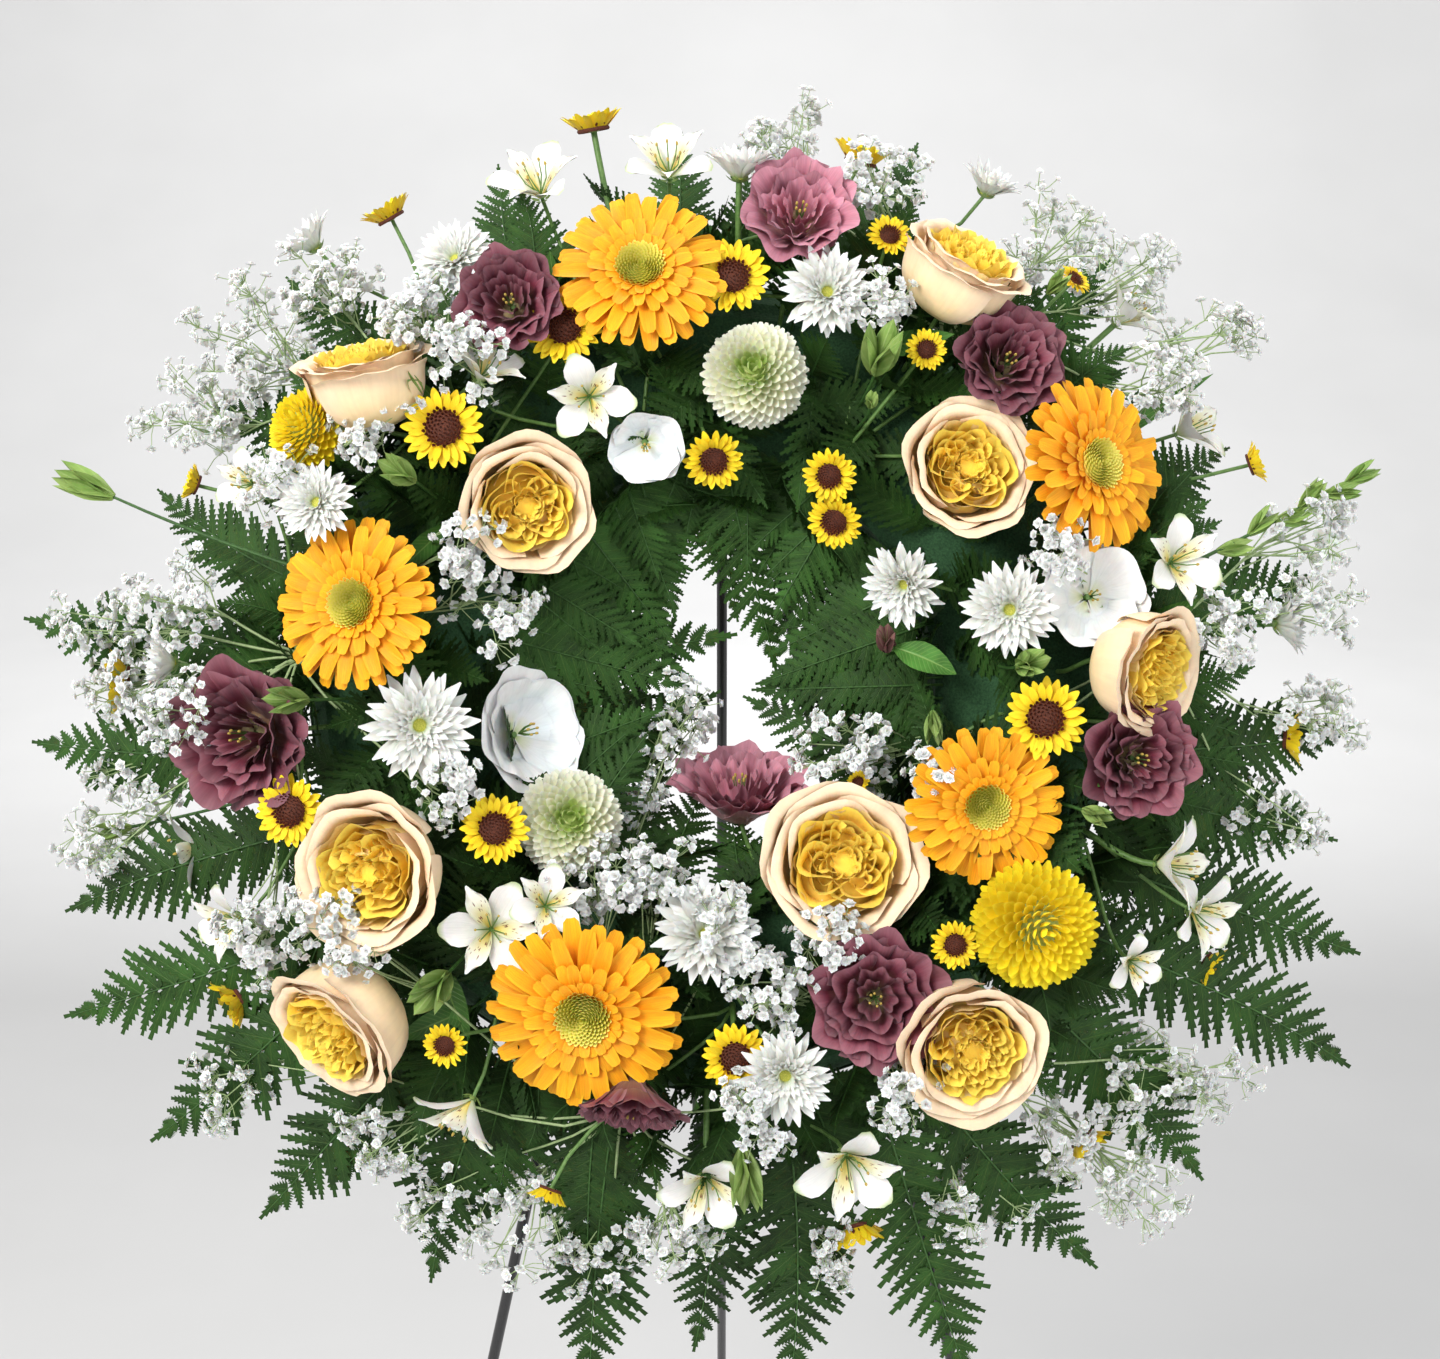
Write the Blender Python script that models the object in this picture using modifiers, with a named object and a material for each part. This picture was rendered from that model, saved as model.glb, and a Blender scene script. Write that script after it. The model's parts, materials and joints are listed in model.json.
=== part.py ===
"""A funeral wreath of mixed flowers and fern on a foam ring, hung on a folding wire easel.

Metres, +Z up. The front of the wreath faces -Y and leans back with the easel's front legs.
The wreath is modelled in its own upright frame: x to the right, z up, the front towards -y,
the back of the ring at y = 0 and the ring's centre at the origin. Two empties then carry the
wreath and the stand to their places.
"""

import math
import random

import bmesh
import bpy
from mathutils import Matrix, Vector
from mathutils.bvhtree import BVHTree

MM = 0.001
GAP = 0.3 * MM
SEED = 41

# The easel
LEAN = math.radians(15)
SPLAY = math.radians(12.3)
RING_HEIGHT_ON_SLOPE = 1.040
APEX_ABOVE_RING = 0.212
ROD_RADIUS = 3.5 * MM
LEG_PLANE = ROD_RADIUS + GAP
LEG_TOP_HALF_SPACING = 6 * MM
CROSS_BAR_RADIUS = 2.5 * MM
CROSS_BAR_ON_SLOPE = 0.360
EASEL_RIGHT_OF_RING = 6 * MM
REAR_LEG_ANGLE = math.radians(18)
CROWN_SIZE = (30 * MM, 3 * MM, 36 * MM)
CROWN_BELOW_APEX = 10 * MM
EAR_SIZE = (3 * MM, 17 * MM, 13 * MM)
EAR_HALF_SPACING = 8.8 * MM
HINGE_BEHIND_LEGS = 15.4 * MM
PIN_RADIUS = 2 * MM
PIN_LENGTH = 24 * MM
BARREL_RADIUS = 5 * MM
BORE_RADIUS = 2.4 * MM
BARREL_LENGTH = 13 * MM
HEEL_LENGTH = 11.3 * MM
HOOK_RADIUS = 2.5 * MM
HOOK_LENGTH = 34 * MM
HOOK_LIP = 7 * MM
HOOK_START = 6 * MM

# The foam ring in its tray
RING_RADIUS = 0.192
RING_STEPS = 24
TRAY_HALF_WIDTH = 60 * MM
TRAY_WALL = 2 * MM
TRAY_DEPTH = 20 * MM
FOAM_HALF_WIDTH = TRAY_HALF_WIDTH - TRAY_WALL - GAP
FOAM_BACK = TRAY_WALL + GAP
FOAM_SHOULDER = 20 * MM
FOAM_DOME = 40 * MM
DOME_POINTS = 5

# The surface that the flower heads lie on: an ellipse round the foam, seen along the ring
SHELL_RADIUS = 0.215
SHELL_RADIAL = 0.125
SHELL_DEPTH = 0.095
SHELL_MIDDLE = 0.025
VIEW_DISTANCE = 1.60
FRONT_DEPTH = SHELL_MIDDLE + SHELL_DEPTH
STEM_SIDES = 3
STEM_RADIUS = 1.5 * MM
BRANCH_RADIUS = 1.3 * MM
LONG_BRANCH = 0.12
HUB_RADIUS = 3.2 * MM
HUB_HEIGHT = 16 * MM
STEM_IN_FOAM = 17 * MM
MAIN_STEM_RADIUS = 2.0 * MM
JOIN_ABOVE_FOAM = 9 * MM
HOLE_CLEARANCE = 0.8 * MM

# The open middle of the wreath, kept clear of leaves and flowers
OPENING_CENTRE = (-13 * MM, 34 * MM)
OPENING_HALF = (32 * MM, 32 * MM)
OPENING_FRONT = 0.17
OPENING_BACK = 0.05

COLOURS = {
    "rose": (0.86, 0.50, 0.34),
    "gerbera": (0.90, 0.43, 0.05),
    "lisianthus": (0.42, 0.20, 0.38),
    "pompom": (0.86, 0.84, 0.68),
    "pompom_3": (0.88, 0.72, 0.20),
    "pompom_4": (0.88, 0.72, 0.20),
    "yellow_daisies": (0.93, 0.72, 0.05),
    "white_daisies": (0.90, 0.89, 0.82),
    "alstroemeria": (0.92, 0.90, 0.84),
    "gypsophila": (0.90, 0.91, 0.86),
    "greenery": (0.06, 0.17, 0.05),
    "foam_ring": (0.05, 0.15, 0.06),
    "foam_tray": (0.03, 0.10, 0.04),
    "easel_frame": (0.03, 0.03, 0.03),
    "easel_rear_leg": (0.03, 0.03, 0.03),
}
METAL_NODES = ("easel_frame", "easel_rear_leg")

# Single blooms: x, z and radius in the photograph's plane in millimetres, then, where the
# bloom doesn't face straight out of the ring, its tilt from the front and its aim in degrees
ROSES = [
    (-204, 184, 40, 72, 100),
    (-110, 108, 39, 18, -45),
    (-198, -107, 45, 22, 200),
    (-219, -198, 44, 50, 225),
    (76, -104, 46, 12, 60),
    (151, -210, 43, 20, -60),
    (149, 128, 39, 14, 40),
    (148, 246, 39, 62, 62),
    (255, 12, 38, 48, -20),
]
GERBERAS = [
    (-42, 246, 52, 22, 95),
    (-210, 49, 52, 20, 165),
    (-75, -192, 59, 16, -110),
    (161, -69, 48, 10, -60),
    (225, 131, 53, 36, 10),
]
LISIANTHUS = [
    (-119, 228, 30),
    (52, 281, 33),
    (175, 193, 33),
    (-278, -28, 41),
    (16, -57, 40, 62, 90),
    (96, -183, 38),
    (252, -42, 34),
    (-48, -248, 30, 70, -95),
]
POMPOMS = [
    (25, 184, 33, 10, 120),
    (-84, -79, 34, 12, 60),
    (190, -139, 40, 18, -40),
    (-236, 152, 28, 45, 145),
]

# Sprays: several heads on branches of one stem
YELLOW_SPRAYS = [
    [(-158, 153, 25), (-189, 276, 17, 78, 120), (-88, 215, 24), (-303, 119, 12)],
    [(-70, 328, 19, 80, 100), (12, 243, 23), (87, 309, 19, 76, 75), (1, 134, 19)],
    [(69, 125, 17), (72, 98, 18), (126, 199, 13), (105, 268, 14), (213, 240, 12), (316, 131, 13, 75, 20)],
    [(196, -18, 25), (337, -28, 18, 76, -5), (86, -56, 9)],
    [(148, -151, 15), (289, -163, 17), (218, -265, 17, 74, -50), (83, -316, 20, 82, -75)],
    [(14, -218, 21), (-95, -295, 13, 80, -110), (-157, -210, 14)],
    [(-344, 2, 22, 78, 178), (-248, -72, 22), (-279, -182, 20), (-128, -83, 22)],
]
WHITE_SPRAYS = [
    [(-151, 252, 27), (-233, 258, 22, 72, 130), (-230, 108, 26)],
    [(19, 299, 24, 76, 88), (68, 234, 30), (160, 290, 21, 70, 62)],
    [(113, 61, 28), (175, 46, 31), (331, 37, 22, 76, 5)],
    [(-172, -22, 36), (-316, 14, 21, 70, 175)],
    [(-4, -145, 34), (43, -228, 31)],
]
ALSTROEMERIA_SPRAYS = [
    [(-104, 299, 28), (-26, 310, 27), (-72, 171, 26), (-133, 190, 24, 55, 60)],
    [(246, 222, 26), (284, 155, 27), (275, 75, 26)],
    [(275, -104, 29, 66, 0), (287, -133, 25), (249, -163, 18)],
    [(-310, -95, 28), (-286, -139, 24), (-275, 122, 19)],
    [(-130, -142, 29), (-98, -128, 22), (-148, -254, 29, 74, -120)],
    [(-4, -295, 27), (81, -283, 31)],
]
WHITE_LISIANTHUS = {
    "white_daisies_4": (-101, -28, 35),
    "white_daisies_3": (227, 55, 31),
    "alstroemeria_1": (-39, 142, 22),
}

# Green buds: x, z, length, tilt and aim
BUDS = [
    (99, 190, 38, 25, 80), (-176, 178, 22, 30, 140), (-243, -7, 26, 35, 180),
    (-161, -175, 34, 25, -130), (181, 14, 26, 20, 20), (199, 237, 16, 50, 50),
    (21, -280, 32, 60, -85), (92, 166, 13, 20, 90), (-180, 122, 26, 30, 150),
    (105, 24, 20, 30, 100), (222, -76, 18, 40, -20), (-348, -83, 18, 80, 190),
    (-66, 4, 17, 40, 0), (131, -22, 18, 60, -90),
]
BUD_RADIUS = 5 * MM

# Fern: the tips that stand past the flowers, in the photograph's plane, with their half widths
OUTER_FERN = [
    (-398, 40, 34), (-392, -31, 36), (-330, 120, 32), (-318, 180, 30), (-268, 262, 28),
    (-380, -120, 38), (-375, -192, 40), (-325, -263, 42), (-262, -308, 40), (-165, -345, 42),
    (-72, -408, 44), (-10, -385, 38), (45, -410, 44), (149, -402, 44), (215, -340, 42),
    (285, -285, 42), (360, -233, 40), (374, -154, 38), (363, -89, 36), (380, -20, 34),
    (357, 60, 34), (331, 160, 32), (262, 272, 28), (130, 345, 26), (-20, 352, 26), (-140, 330, 26),
]
INNER_FERN = [
    (42, 12, 28), (66, 52, 26), (-66, 34, 26), (-44, -36, 28), (52, -38, 26), (-20, 92, 24),
]
OUTER_FERN_DEPTH = 16 * MM
OUTER_FERN_PAIRS = 5
INNER_FERN_PAIRS = 4
FILL_FERN_PAIRS = 3
FILL_FERN_LENGTH = 62 * MM
FILL_FERN_HALF_WIDTH = 22 * MM
FILL_PER_SECTOR = 3
FERN_THICKNESS = 1.2 * MM
LEAFLET_SWEEP = 0.42
RIB_HALF_WIDTH = 1.5 * MM
STALK_RADIUS = 1.1 * MM
LEAVES_PER_SECTOR = 2
LEAF_LENGTH = 66 * MM
LEAF_HALF_WIDTH = 8 * MM
LEAF_THICKNESS = 1.4 * MM
LONG_LEAVES = [(352, 108, 10), (300, 188, 6), (-356, 108, 7)]

# Baby's breath: middle and radius of each cloud in the photograph's plane
CLOUDS = [
    [(-268, 200, 42), (-170, 218, 26)],
    [(40, 322, 24), (202, 262, 34), (288, 198, 26)],
    [(344, 92, 28), (346, -22, 28)],
    [(245, -292, 30), (148, -290, 36)],
    [(-112, -306, 40), (-24, -318, 22)],
    [(-330, 8, 34), (-338, -50, 26), (-134, 50, 26)],
]
FLORET_RADIUS = 3.4 * MM
FLORETS_PER_BRANCH = 4
THREAD_RADIUS = 0.7 * MM

SMALL_DAISY = 17

SECTORS = 6
VINE_RADIUS = 1.6 * MM
VINE_POINTS = 13
VINE_ROOTS = 26
VINE_ABOVE_FOAM = 4.6 * MM
VINE_SWING = math.radians(62)
SECTOR_MARGIN = math.radians(3)

MOST_PLACES = 10

placed = []


def clear_scene():
    for thing in list(bpy.data.objects):
        bpy.data.objects.remove(thing)


def new_collection(name):
    collection = bpy.data.collections.new(name)
    bpy.context.scene.collection.children.link(collection)
    return collection


def material_for(node):
    """A plain finish in the node's own colour, or its family's."""
    family = node if node in COLOURS else node.rsplit("_", 1)[0]
    material = bpy.data.materials.new(node)
    material.use_nodes = True
    shader = material.node_tree.nodes["Principled BSDF"]
    shader.inputs["Base Color"].default_value = (*COLOURS[family], 1)
    shader.inputs["Roughness"].default_value = 0.4 if node in METAL_NODES else 0.7
    shader.inputs["Metallic"].default_value = 0.6 if node in METAL_NODES else 0.0
    return material


def object_from(name, mesh, collection):
    thing = bpy.data.objects.new(name, mesh)
    collection.objects.link(thing)
    return thing


def mesh_from(name, points, faces):
    mesh = bpy.data.meshes.new(name)
    mesh.from_pydata([tuple(point) for point in points], [], faces)
    mesh.update()
    return mesh


# Closed lumps lofted from ring to ring


def bridge(faces, upper, lower):
    """Joins two rings of (angle, index), going on at each step to the nearer next angle."""
    i = 0
    j = 0
    turns_up = len(upper) if len(upper) > 1 else 0
    turns_down = len(lower) if len(lower) > 1 else 0
    while i < turns_up or j < turns_down:
        here = upper[i % len(upper)][1]
        below = lower[j % len(lower)][1]
        next_up = upper[(i + 1) % len(upper)][0] + math.tau * ((i + 1) // len(upper))
        next_down = lower[(j + 1) % len(lower)][0] + math.tau * ((j + 1) // len(lower))
        if j == turns_down or (i < turns_up and next_up <= next_down):
            faces.append((here, below, upper[(i + 1) % len(upper)][1]))
            i += 1
        else:
            faces.append((here, below, lower[(j + 1) % len(lower)][1]))
            j += 1


class Lump:
    """A closed body of triangles, lofted through rings of (angle, point)."""

    def __init__(self):
        self.points = []
        self.faces = []
        self.last = None

    def ring(self, spots):
        fresh = []
        for angle, point in sorted(spots, key=lambda spot: spot[0]):
            fresh.append((angle, len(self.points)))
            self.points.append(point)
        if self.last:
            bridge(self.faces, self.last, fresh)
        self.last = fresh

    def cap(self):
        """Closes the last ring."""
        ids = [index for angle, index in self.last]
        for k in range(1, len(ids) - 1):
            self.faces.append((ids[0], ids[k + 1], ids[k]))


def ring_at(frame, spots):
    """Puts (angle, (radius, height)) spots into a frame's x, y and z."""
    return [
        (angle % math.tau, frame @ Vector((r * math.cos(angle), r * math.sin(angle), h)))
        for angle, (r, h) in spots
    ]


def plain_ring(count, radius, height, turn=0.0):
    step = math.tau / count
    return [((k + turn - 0.5) * step, (radius, height)) for k in range(count)]


def petal_rim(count, tip, notch, turn=0.0, width=0.62, wave=0.0, rng=None):
    """The edge of a ring of petals, with a notch and two shoulders to each, or one tip at width 0."""
    step = math.tau / count
    rim = []
    for k in range(count):
        middle = (k + turn) * step
        reach = tip[0] * (1 + (rng.uniform(-0.05, 0.03) if rng else 0))
        rim.append((middle - step / 2, notch))
        if width:
            rim.append((middle - width * step / 2, (reach, tip[1] - wave)))
            rim.append((middle + width * step / 2, (reach, tip[1] + wave)))
        else:
            rim.append((middle, (reach, tip[1])))
    return rim


def rose_rings(rng):
    return [
        [(0, (0, 0.42))],
        plain_ring(5, 0.13, 0.35),
        petal_rim(5, (0.30, 0.50), (0.24, 0.38), 0.0, 0.0, 0.0, rng),
        plain_ring(5, 0.20, 0.12, 0.5),
        petal_rim(5, (0.58, 0.44), (0.46, 0.27), 0.5, 0.7, 0.03, rng),
        plain_ring(5, 0.34, 0.0, 0.1),
        petal_rim(5, (0.82, 0.26), (0.66, 0.10), 0.1, 0.7, 0.04, rng),
        plain_ring(5, 0.44, -0.15, 0.6),
        petal_rim(5, (1.0, 0.0), (0.80, -0.08), 0.6, 0.72, 0.05, rng),
        plain_ring(5, 0.52, -0.33, 0.6),
        plain_ring(5, 0.16, -0.55, 0.6),
    ]


def gerbera_rings(rng):
    return [
        [(0, (0, 0.10))],
        plain_ring(12, 0.27, 0.07),
        petal_rim(12, (0.72, 0.15), (0.46, 0.09), 0.0, 0.0, 0.0, rng),
        plain_ring(12, 0.30, 0.0, 0.5),
        petal_rim(12, (1.0, 0.03), (0.62, 0.0), 0.5, 0.55, 0.0, rng),
        plain_ring(6, 0.30, -0.09),
        plain_ring(5, 0.10, -0.24),
    ]


def lisianthus_rings(rng):
    return [
        [(0, (0, 0.10))],
        plain_ring(5, 0.12, 0.08),
        petal_rim(5, (0.60, 0.50), (0.46, 0.34), 0.0, 0.66, 0.05, rng),
        plain_ring(5, 0.30, 0.0, 0.5),
        petal_rim(5, (1.0, 0.30), (0.80, 0.16), 0.5, 0.7, 0.07, rng),
        plain_ring(5, 0.50, -0.22, 0.5),
        plain_ring(5, 0.14, -0.48, 0.5),
    ]


def pompom_rings(rng):
    return [
        [(0, (0, 0.60))],
        petal_rim(7, (0.38, 0.64), (0.28, 0.54), 0.0, 0.0),
        plain_ring(7, 0.34, 0.42, 0.5),
        petal_rim(9, (0.74, 0.44), (0.58, 0.34), 0.5, 0.0, 0.0, rng),
        plain_ring(9, 0.58, 0.16),
        petal_rim(11, (1.0, 0.10), (0.84, 0.03), 0.0, 0.0, 0.0, rng),
        plain_ring(9, 0.70, -0.12, 0.5),
        petal_rim(9, (0.90, -0.22), (0.72, -0.24), 0.5, 0.0, 0.0, rng),
        plain_ring(5, 0.26, -0.42),
    ]


def yellow_daisy_rings(rng):
    return [
        [(0, (0, 0.20))],
        plain_ring(4, 0.34, 0.12),
        petal_rim(9, (1.0, 0.06), (0.66, 0.03), 0.0, 0.0, 0.0, rng),
        plain_ring(3, 0.26, -0.16),
    ]


def small_daisy_rings(rng):
    return [
        [(0, (0, 0.24))],
        petal_rim(6, (1.0, 0.06), (0.62, 0.03), 0.0, 0.0, 0.0, rng),
        plain_ring(3, 0.26, -0.2),
    ]


def white_daisy_rings(rng):
    return [
        [(0, (0, 0.16))],
        plain_ring(4, 0.26, 0.10),
        petal_rim(10, (1.0, 0.10), (0.60, 0.04), 0.0, 0.0, 0.0, rng),
        plain_ring(3, 0.28, -0.12),
    ]


def alstroemeria_rings(rng):
    return [
        [(0, (0, -0.18))],
        petal_rim(6, (1.0, 0.16), (0.32, -0.08), 0.0, 0.42, 0.0, rng),
        plain_ring(6, 0.27, -0.26),
        plain_ring(3, 0.14, -0.66),
    ]


def bud_rings(rng):
    return [
        [(0, (0, 2.6))],
        plain_ring(3, 0.8, 1.5),
        plain_ring(3, 1.1, 0.2),
        plain_ring(3, 0.5, -1.0),
    ]


def head_frame(place, facing, roll):
    """A frame at a head: z along the way it faces, turned by roll about it."""
    side = facing.cross(Vector((0, 0, 1)))
    if side.length < 0.2:
        side = facing.cross(Vector((1, 0, 0)))
    side.normalize()
    up = facing.cross(side)
    axes = Matrix((side, up, facing)).transposed().to_4x4()
    return Matrix.Translation(place) @ axes @ Matrix.Rotation(roll, 4, "Z")


def scaled(rings, radius):
    return [[(a, (r * radius, h * radius)) for a, (r, h) in ring] for ring in rings]


def bezier(path, t):
    a, b, c, d = path
    s = 1 - t
    return a * s**3 + b * (3 * s * s * t) + c * (3 * s * t * t) + d * t**3


def add_stem(lump, points, radius, side):
    """Carries the last ring on along points as a stem of one radius, or of a list of radii."""
    radii = radius if isinstance(radius, list) else [radius] * len(points)
    for k, point in enumerate(points):
        ahead = points[min(k + 1, len(points) - 1)]
        behind = points[max(k - 1, 0)]
        along = (ahead - behind).normalized()
        side = (side - along * side.dot(along)).normalized()
        across = side.cross(along)
        spots = []
        for n in range(STEM_SIDES):
            angle = (n + 0.5) * math.tau / STEM_SIDES
            spots.append((angle, point + (side * math.cos(angle) + across * math.sin(angle)) * radii[k]))
        lump.ring(spots)


# Places on the ring


def radial(angle):
    return Vector((math.cos(angle), 0, math.sin(angle)))


def on_foam(angle, phi, above=0.0):
    """A point on or above the foam's dome and the way out of it; phi is 0 outside and 180 inside."""
    out = radial(angle) * math.cos(phi)
    place = radial(angle) * (RING_RADIUS + FOAM_HALF_WIDTH * math.cos(phi))
    place += Vector((0, -FOAM_SHOULDER - FOAM_DOME * math.sin(phi), 0))
    normal = out / FOAM_HALF_WIDTH - Vector((0, math.sin(phi) / FOAM_DOME, 0))
    normal.normalize()
    return place + normal * above, normal


def seen_at(x, z):
    """The place on the shell that shows at x, z of the photograph's plane, with angle and phi."""
    flat = Vector((x * MM, 0, z * MM))
    angle = math.atan2(flat.z, flat.x)
    spread = 1.0
    for _ in range(4):
        reach = flat.length * spread
        cosine = max(-1, min(1, (reach - SHELL_RADIUS) / SHELL_RADIAL))
        phi = math.acos(cosine)
        depth = SHELL_MIDDLE + SHELL_DEPTH * math.sin(phi)
        spread = (VIEW_DISTANCE + FRONT_DEPTH - depth) / VIEW_DISTANCE
    return flat * spread - Vector((0, depth, 0)), angle, phi


def facing_of(angle, phi, tilt=None, aim=None):
    """The way a head faces: out of the shell, or by its own tilt and aim."""
    if tilt is None:
        out = Vector((math.cos(phi) / SHELL_RADIAL, math.sin(phi) / SHELL_DEPTH))
        lean = 0.8 * math.atan2(out.x, out.y)
        return (radial(angle) * math.sin(lean) - Vector((0, math.cos(lean), 0))).normalized()
    lean = math.radians(tilt)
    return radial(math.radians(aim)) * math.sin(lean) - Vector((0, math.cos(lean), 0))


# What stands clear of what


def point_normals(points, faces):
    normals = [Vector() for _ in points]
    for a, b, c in faces:
        normal = (points[b] - points[a]).cross(points[c] - points[a])
        for index in (a, b, c):
            normals[index] += normal
    return [normal.normalized() for normal in normals]


def bounds_of(points):
    low = [min(point[k] for point in points) for k in range(3)]
    high = [max(point[k] for point in points) for k in range(3)]
    return low, high


def remember(node, part, points, faces):
    low, high = bounds_of(points)
    placed.append((node, part, low, high, BVHTree.FromPolygons(points, faces)))


def is_clear(node, part, points, faces, margin=GAP):
    """Whether a lump, made fatter by the gap, crosses nothing that it may not cross."""
    normals = point_normals(points, faces)
    fat = [point + normal * margin for point, normal in zip(points, normals)]
    low, high = bounds_of(fat)
    tree = None
    for other, kind, other_low, other_high, other_tree in placed:
        if other == node and (part != "head" or kind != "head"):
            continue
        if any(low[k] > other_high[k] or high[k] < other_low[k] for k in range(3)):
            continue
        tree = tree or BVHTree.FromPolygons(fat, faces)
        if tree.overlap(other_tree):
            return False
    return True


def lump_from(frame, rings):
    lump = Lump()
    for ring in rings:
        lump.ring(ring_at(frame, ring))
    return lump


def moves():
    """Small moves to try for a head, the least first: lift along its facing and two shifts."""
    options = []
    for lift in (0, 4, -4, 8, -8, 12, -12, 16, 20, 25, 30, 36, 42):
        for shift in (0, 5, 10, 15):
            for turn in range(6 if shift else 1):
                cost = abs(lift) + 1.7 * shift
                options.append((cost, lift, shift, turn))
    return sorted(options)


MOVES = moves()


def stem_to_foam(place, facing, neck, angle, phi, rng):
    """Ways for a stem from a head's neck into the foam, the straightest first."""
    start = place + facing * neck
    for tries in range(26):
        spread = 0.02 * tries
        root_angle = angle + rng.uniform(-1, 1) * spread
        root_phi = min(math.radians(150), max(math.radians(30), phi + rng.uniform(-1, 1) * 2 * spread))
        root, out = on_foam(root_angle, root_phi)
        run = (root - start).length
        above = root + out * (JOIN_ABOVE_FOAM + 2 * MM)
        path = (start, start - facing * run * 0.35, above + out * run * 0.25, above)
        yield path, root, out


def make_stem(head, path, root, out, frame, radius):
    """A head with its stem down to the foam and into it. Returns lump, free part and buried part."""
    lump = Lump()
    lump.points = list(head.points)
    lump.faces = list(head.faces)
    lump.last = list(head.last)
    side = side_of(frame)
    above = root + out * (JOIN_ABOVE_FOAM + 2 * MM)
    points = [bezier(path, 0.3), above]
    add_stem(lump, points + [root - out * STEM_IN_FOAM], radius, side)
    lump.cap()
    free = stem_below(head, path[0], points + [root + out * 1.2 * MM], radius, side)
    sunk = Lump()
    sunk.ring([(0, above)])
    add_stem(sunk, [root + out * MM, root - out * STEM_IN_FOAM], radius, side)
    sunk.cap()
    return lump, free, sunk


def stem_below(head, start, points, radius, side):
    """The stem alone, from the neck of a head, for testing what it would cross."""
    stem = Lump()
    stem.ring([(0, start + (start - points[0]).normalized() * 0.5 * MM)])
    stem.ring([(angle, head.points[index]) for angle, index in head.last])
    add_stem(stem, points, radius, side)
    stem.cap()
    return stem


def foam_hole(side, root, out, radius):
    """The cutter of a stem's hole in the foam."""
    cutter = Lump()
    cutter.ring([(0, root + out * 9 * MM)])
    ends = [root + out * 8 * MM, root - out * (STEM_IN_FOAM + MM)]
    add_stem(cutter, ends, radius, side)
    cutter.cap()
    return cutter


def place_head(node, spec, rings_of, rng, number):
    """Finds the nearest clear place for a head. Yields its lump, frame and place, best first."""
    x, z, radius = spec[:3]
    tilt, aim = spec[3:] if len(spec) > 3 else (None, None)
    centre, angle, phi = seen_at(x, z)
    facing = facing_of(angle, phi, tilt, aim)
    rings = scaled(rings_of(rng), radius * MM)
    roll = number * 2.4
    right = facing.cross(Vector((0, 0, 1))).normalized()
    up = right.cross(facing)
    for _, lift, shift, turn in MOVES:
        aside = right * math.cos(turn * math.tau / 6) + up * math.sin(turn * math.tau / 6)
        place = centre + facing * lift * MM + aside * shift * MM
        frame = head_frame(place, facing, roll)
        head = lump_from(frame, rings)
        closed = Lump()
        closed.points, closed.faces, closed.last = list(head.points), list(head.faces), head.last
        closed.cap()
        if is_clear(node, "head", closed.points, closed.faces):
            neck = rings[-1][0][1][1]
            yield head, closed, frame, place, facing, neck, angle, phi


def grow_bloom(node, spec, rings_of, rng, number, cutters, radius):
    """A bloom on its stem, which stands in the foam. Returns the lump, and the join for branches."""
    tried = 0
    for head, closed, frame, place, facing, neck, angle, phi in place_head(node, spec, rings_of, rng, number):
        for path, root, out in stem_to_foam(place, facing, neck, angle, phi, rng):
            lump, free, sunk = make_stem(head, path, root, out, frame, radius)
            if not is_clear(node, "stem", free.points, free.faces):
                continue
            if not is_clear_in_foam(node, sunk):
                continue
            remember(node, "head", closed.points, closed.faces)
            remember(node, "stem", free.points, free.faces)
            remember(node, "sunk", sunk.points, sunk.faces)
            cutters.append(foam_hole(last_side(lump), root, out, radius + HOLE_CLEARANCE))
            return lump, (root + out * JOIN_ABOVE_FOAM, out)
        tried += 1
        if tried > MOST_PLACES:
            break
    raise RuntimeError(f"no room for {node} {spec}")


def is_clear_in_foam(node, sunk):
    """Whether a stem's buried end misses the other buried ends and the wound stems."""
    normals = point_normals(sunk.points, sunk.faces)
    fat = [point + normal * 2 * MM for point, normal in zip(sunk.points, normals)]
    tree = BVHTree.FromPolygons(fat, sunk.faces)
    for other, kind, _, _, other_tree in placed:
        if other != node and other != "foam_ring" and tree.overlap(other_tree):
            return False
    return True


def last_side(lump):
    """The direction of the first corner of the last ring, which a hole's cutter repeats."""
    ids = [index for _, index in lump.last]
    middle = sum((lump.points[i] for i in ids), Vector()) / len(ids)
    corner = (lump.points[ids[0]] - middle).normalized()
    along = (middle - sum((lump.points[i - STEM_SIDES] for i in ids), Vector()) / len(ids)).normalized()
    return Matrix.Rotation(math.tau / 6, 3, along) @ corner


def plant_hub(node, spots, rng, cutters):
    """A spray's short stem in the foam under its heads. Returns its lump in a list, root and way out."""
    middle = sum((radial(angle) for _, angle, _ in spots), Vector())
    mean_angle = math.atan2(middle.z, middle.x)
    mean_phi = sum(phi for _, _, phi in spots) / len(spots)
    for tries in range(80):
        spread = 0.01 * tries
        angle = mean_angle + rng.uniform(-1, 1) * spread
        phi = mean_phi + rng.uniform(-1, 1) * 3 * spread
        phi = min(math.radians(145), max(math.radians(35), phi))
        root, out = on_foam(angle, phi)
        hub, free, sunk = make_hub(root, out)
        if is_clear(node, "stem", free.points, free.faces) and is_clear_in_foam(node, sunk):
            break
    else:
        raise RuntimeError("no root for " + node)
    remember(node, "stem", free.points, free.faces)
    remember(node, "sunk", sunk.points, sunk.faces)
    cutters.append(foam_hole(last_side(hub), root, out, HUB_RADIUS + HOLE_CLEARANCE))
    return [hub], root, out


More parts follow.
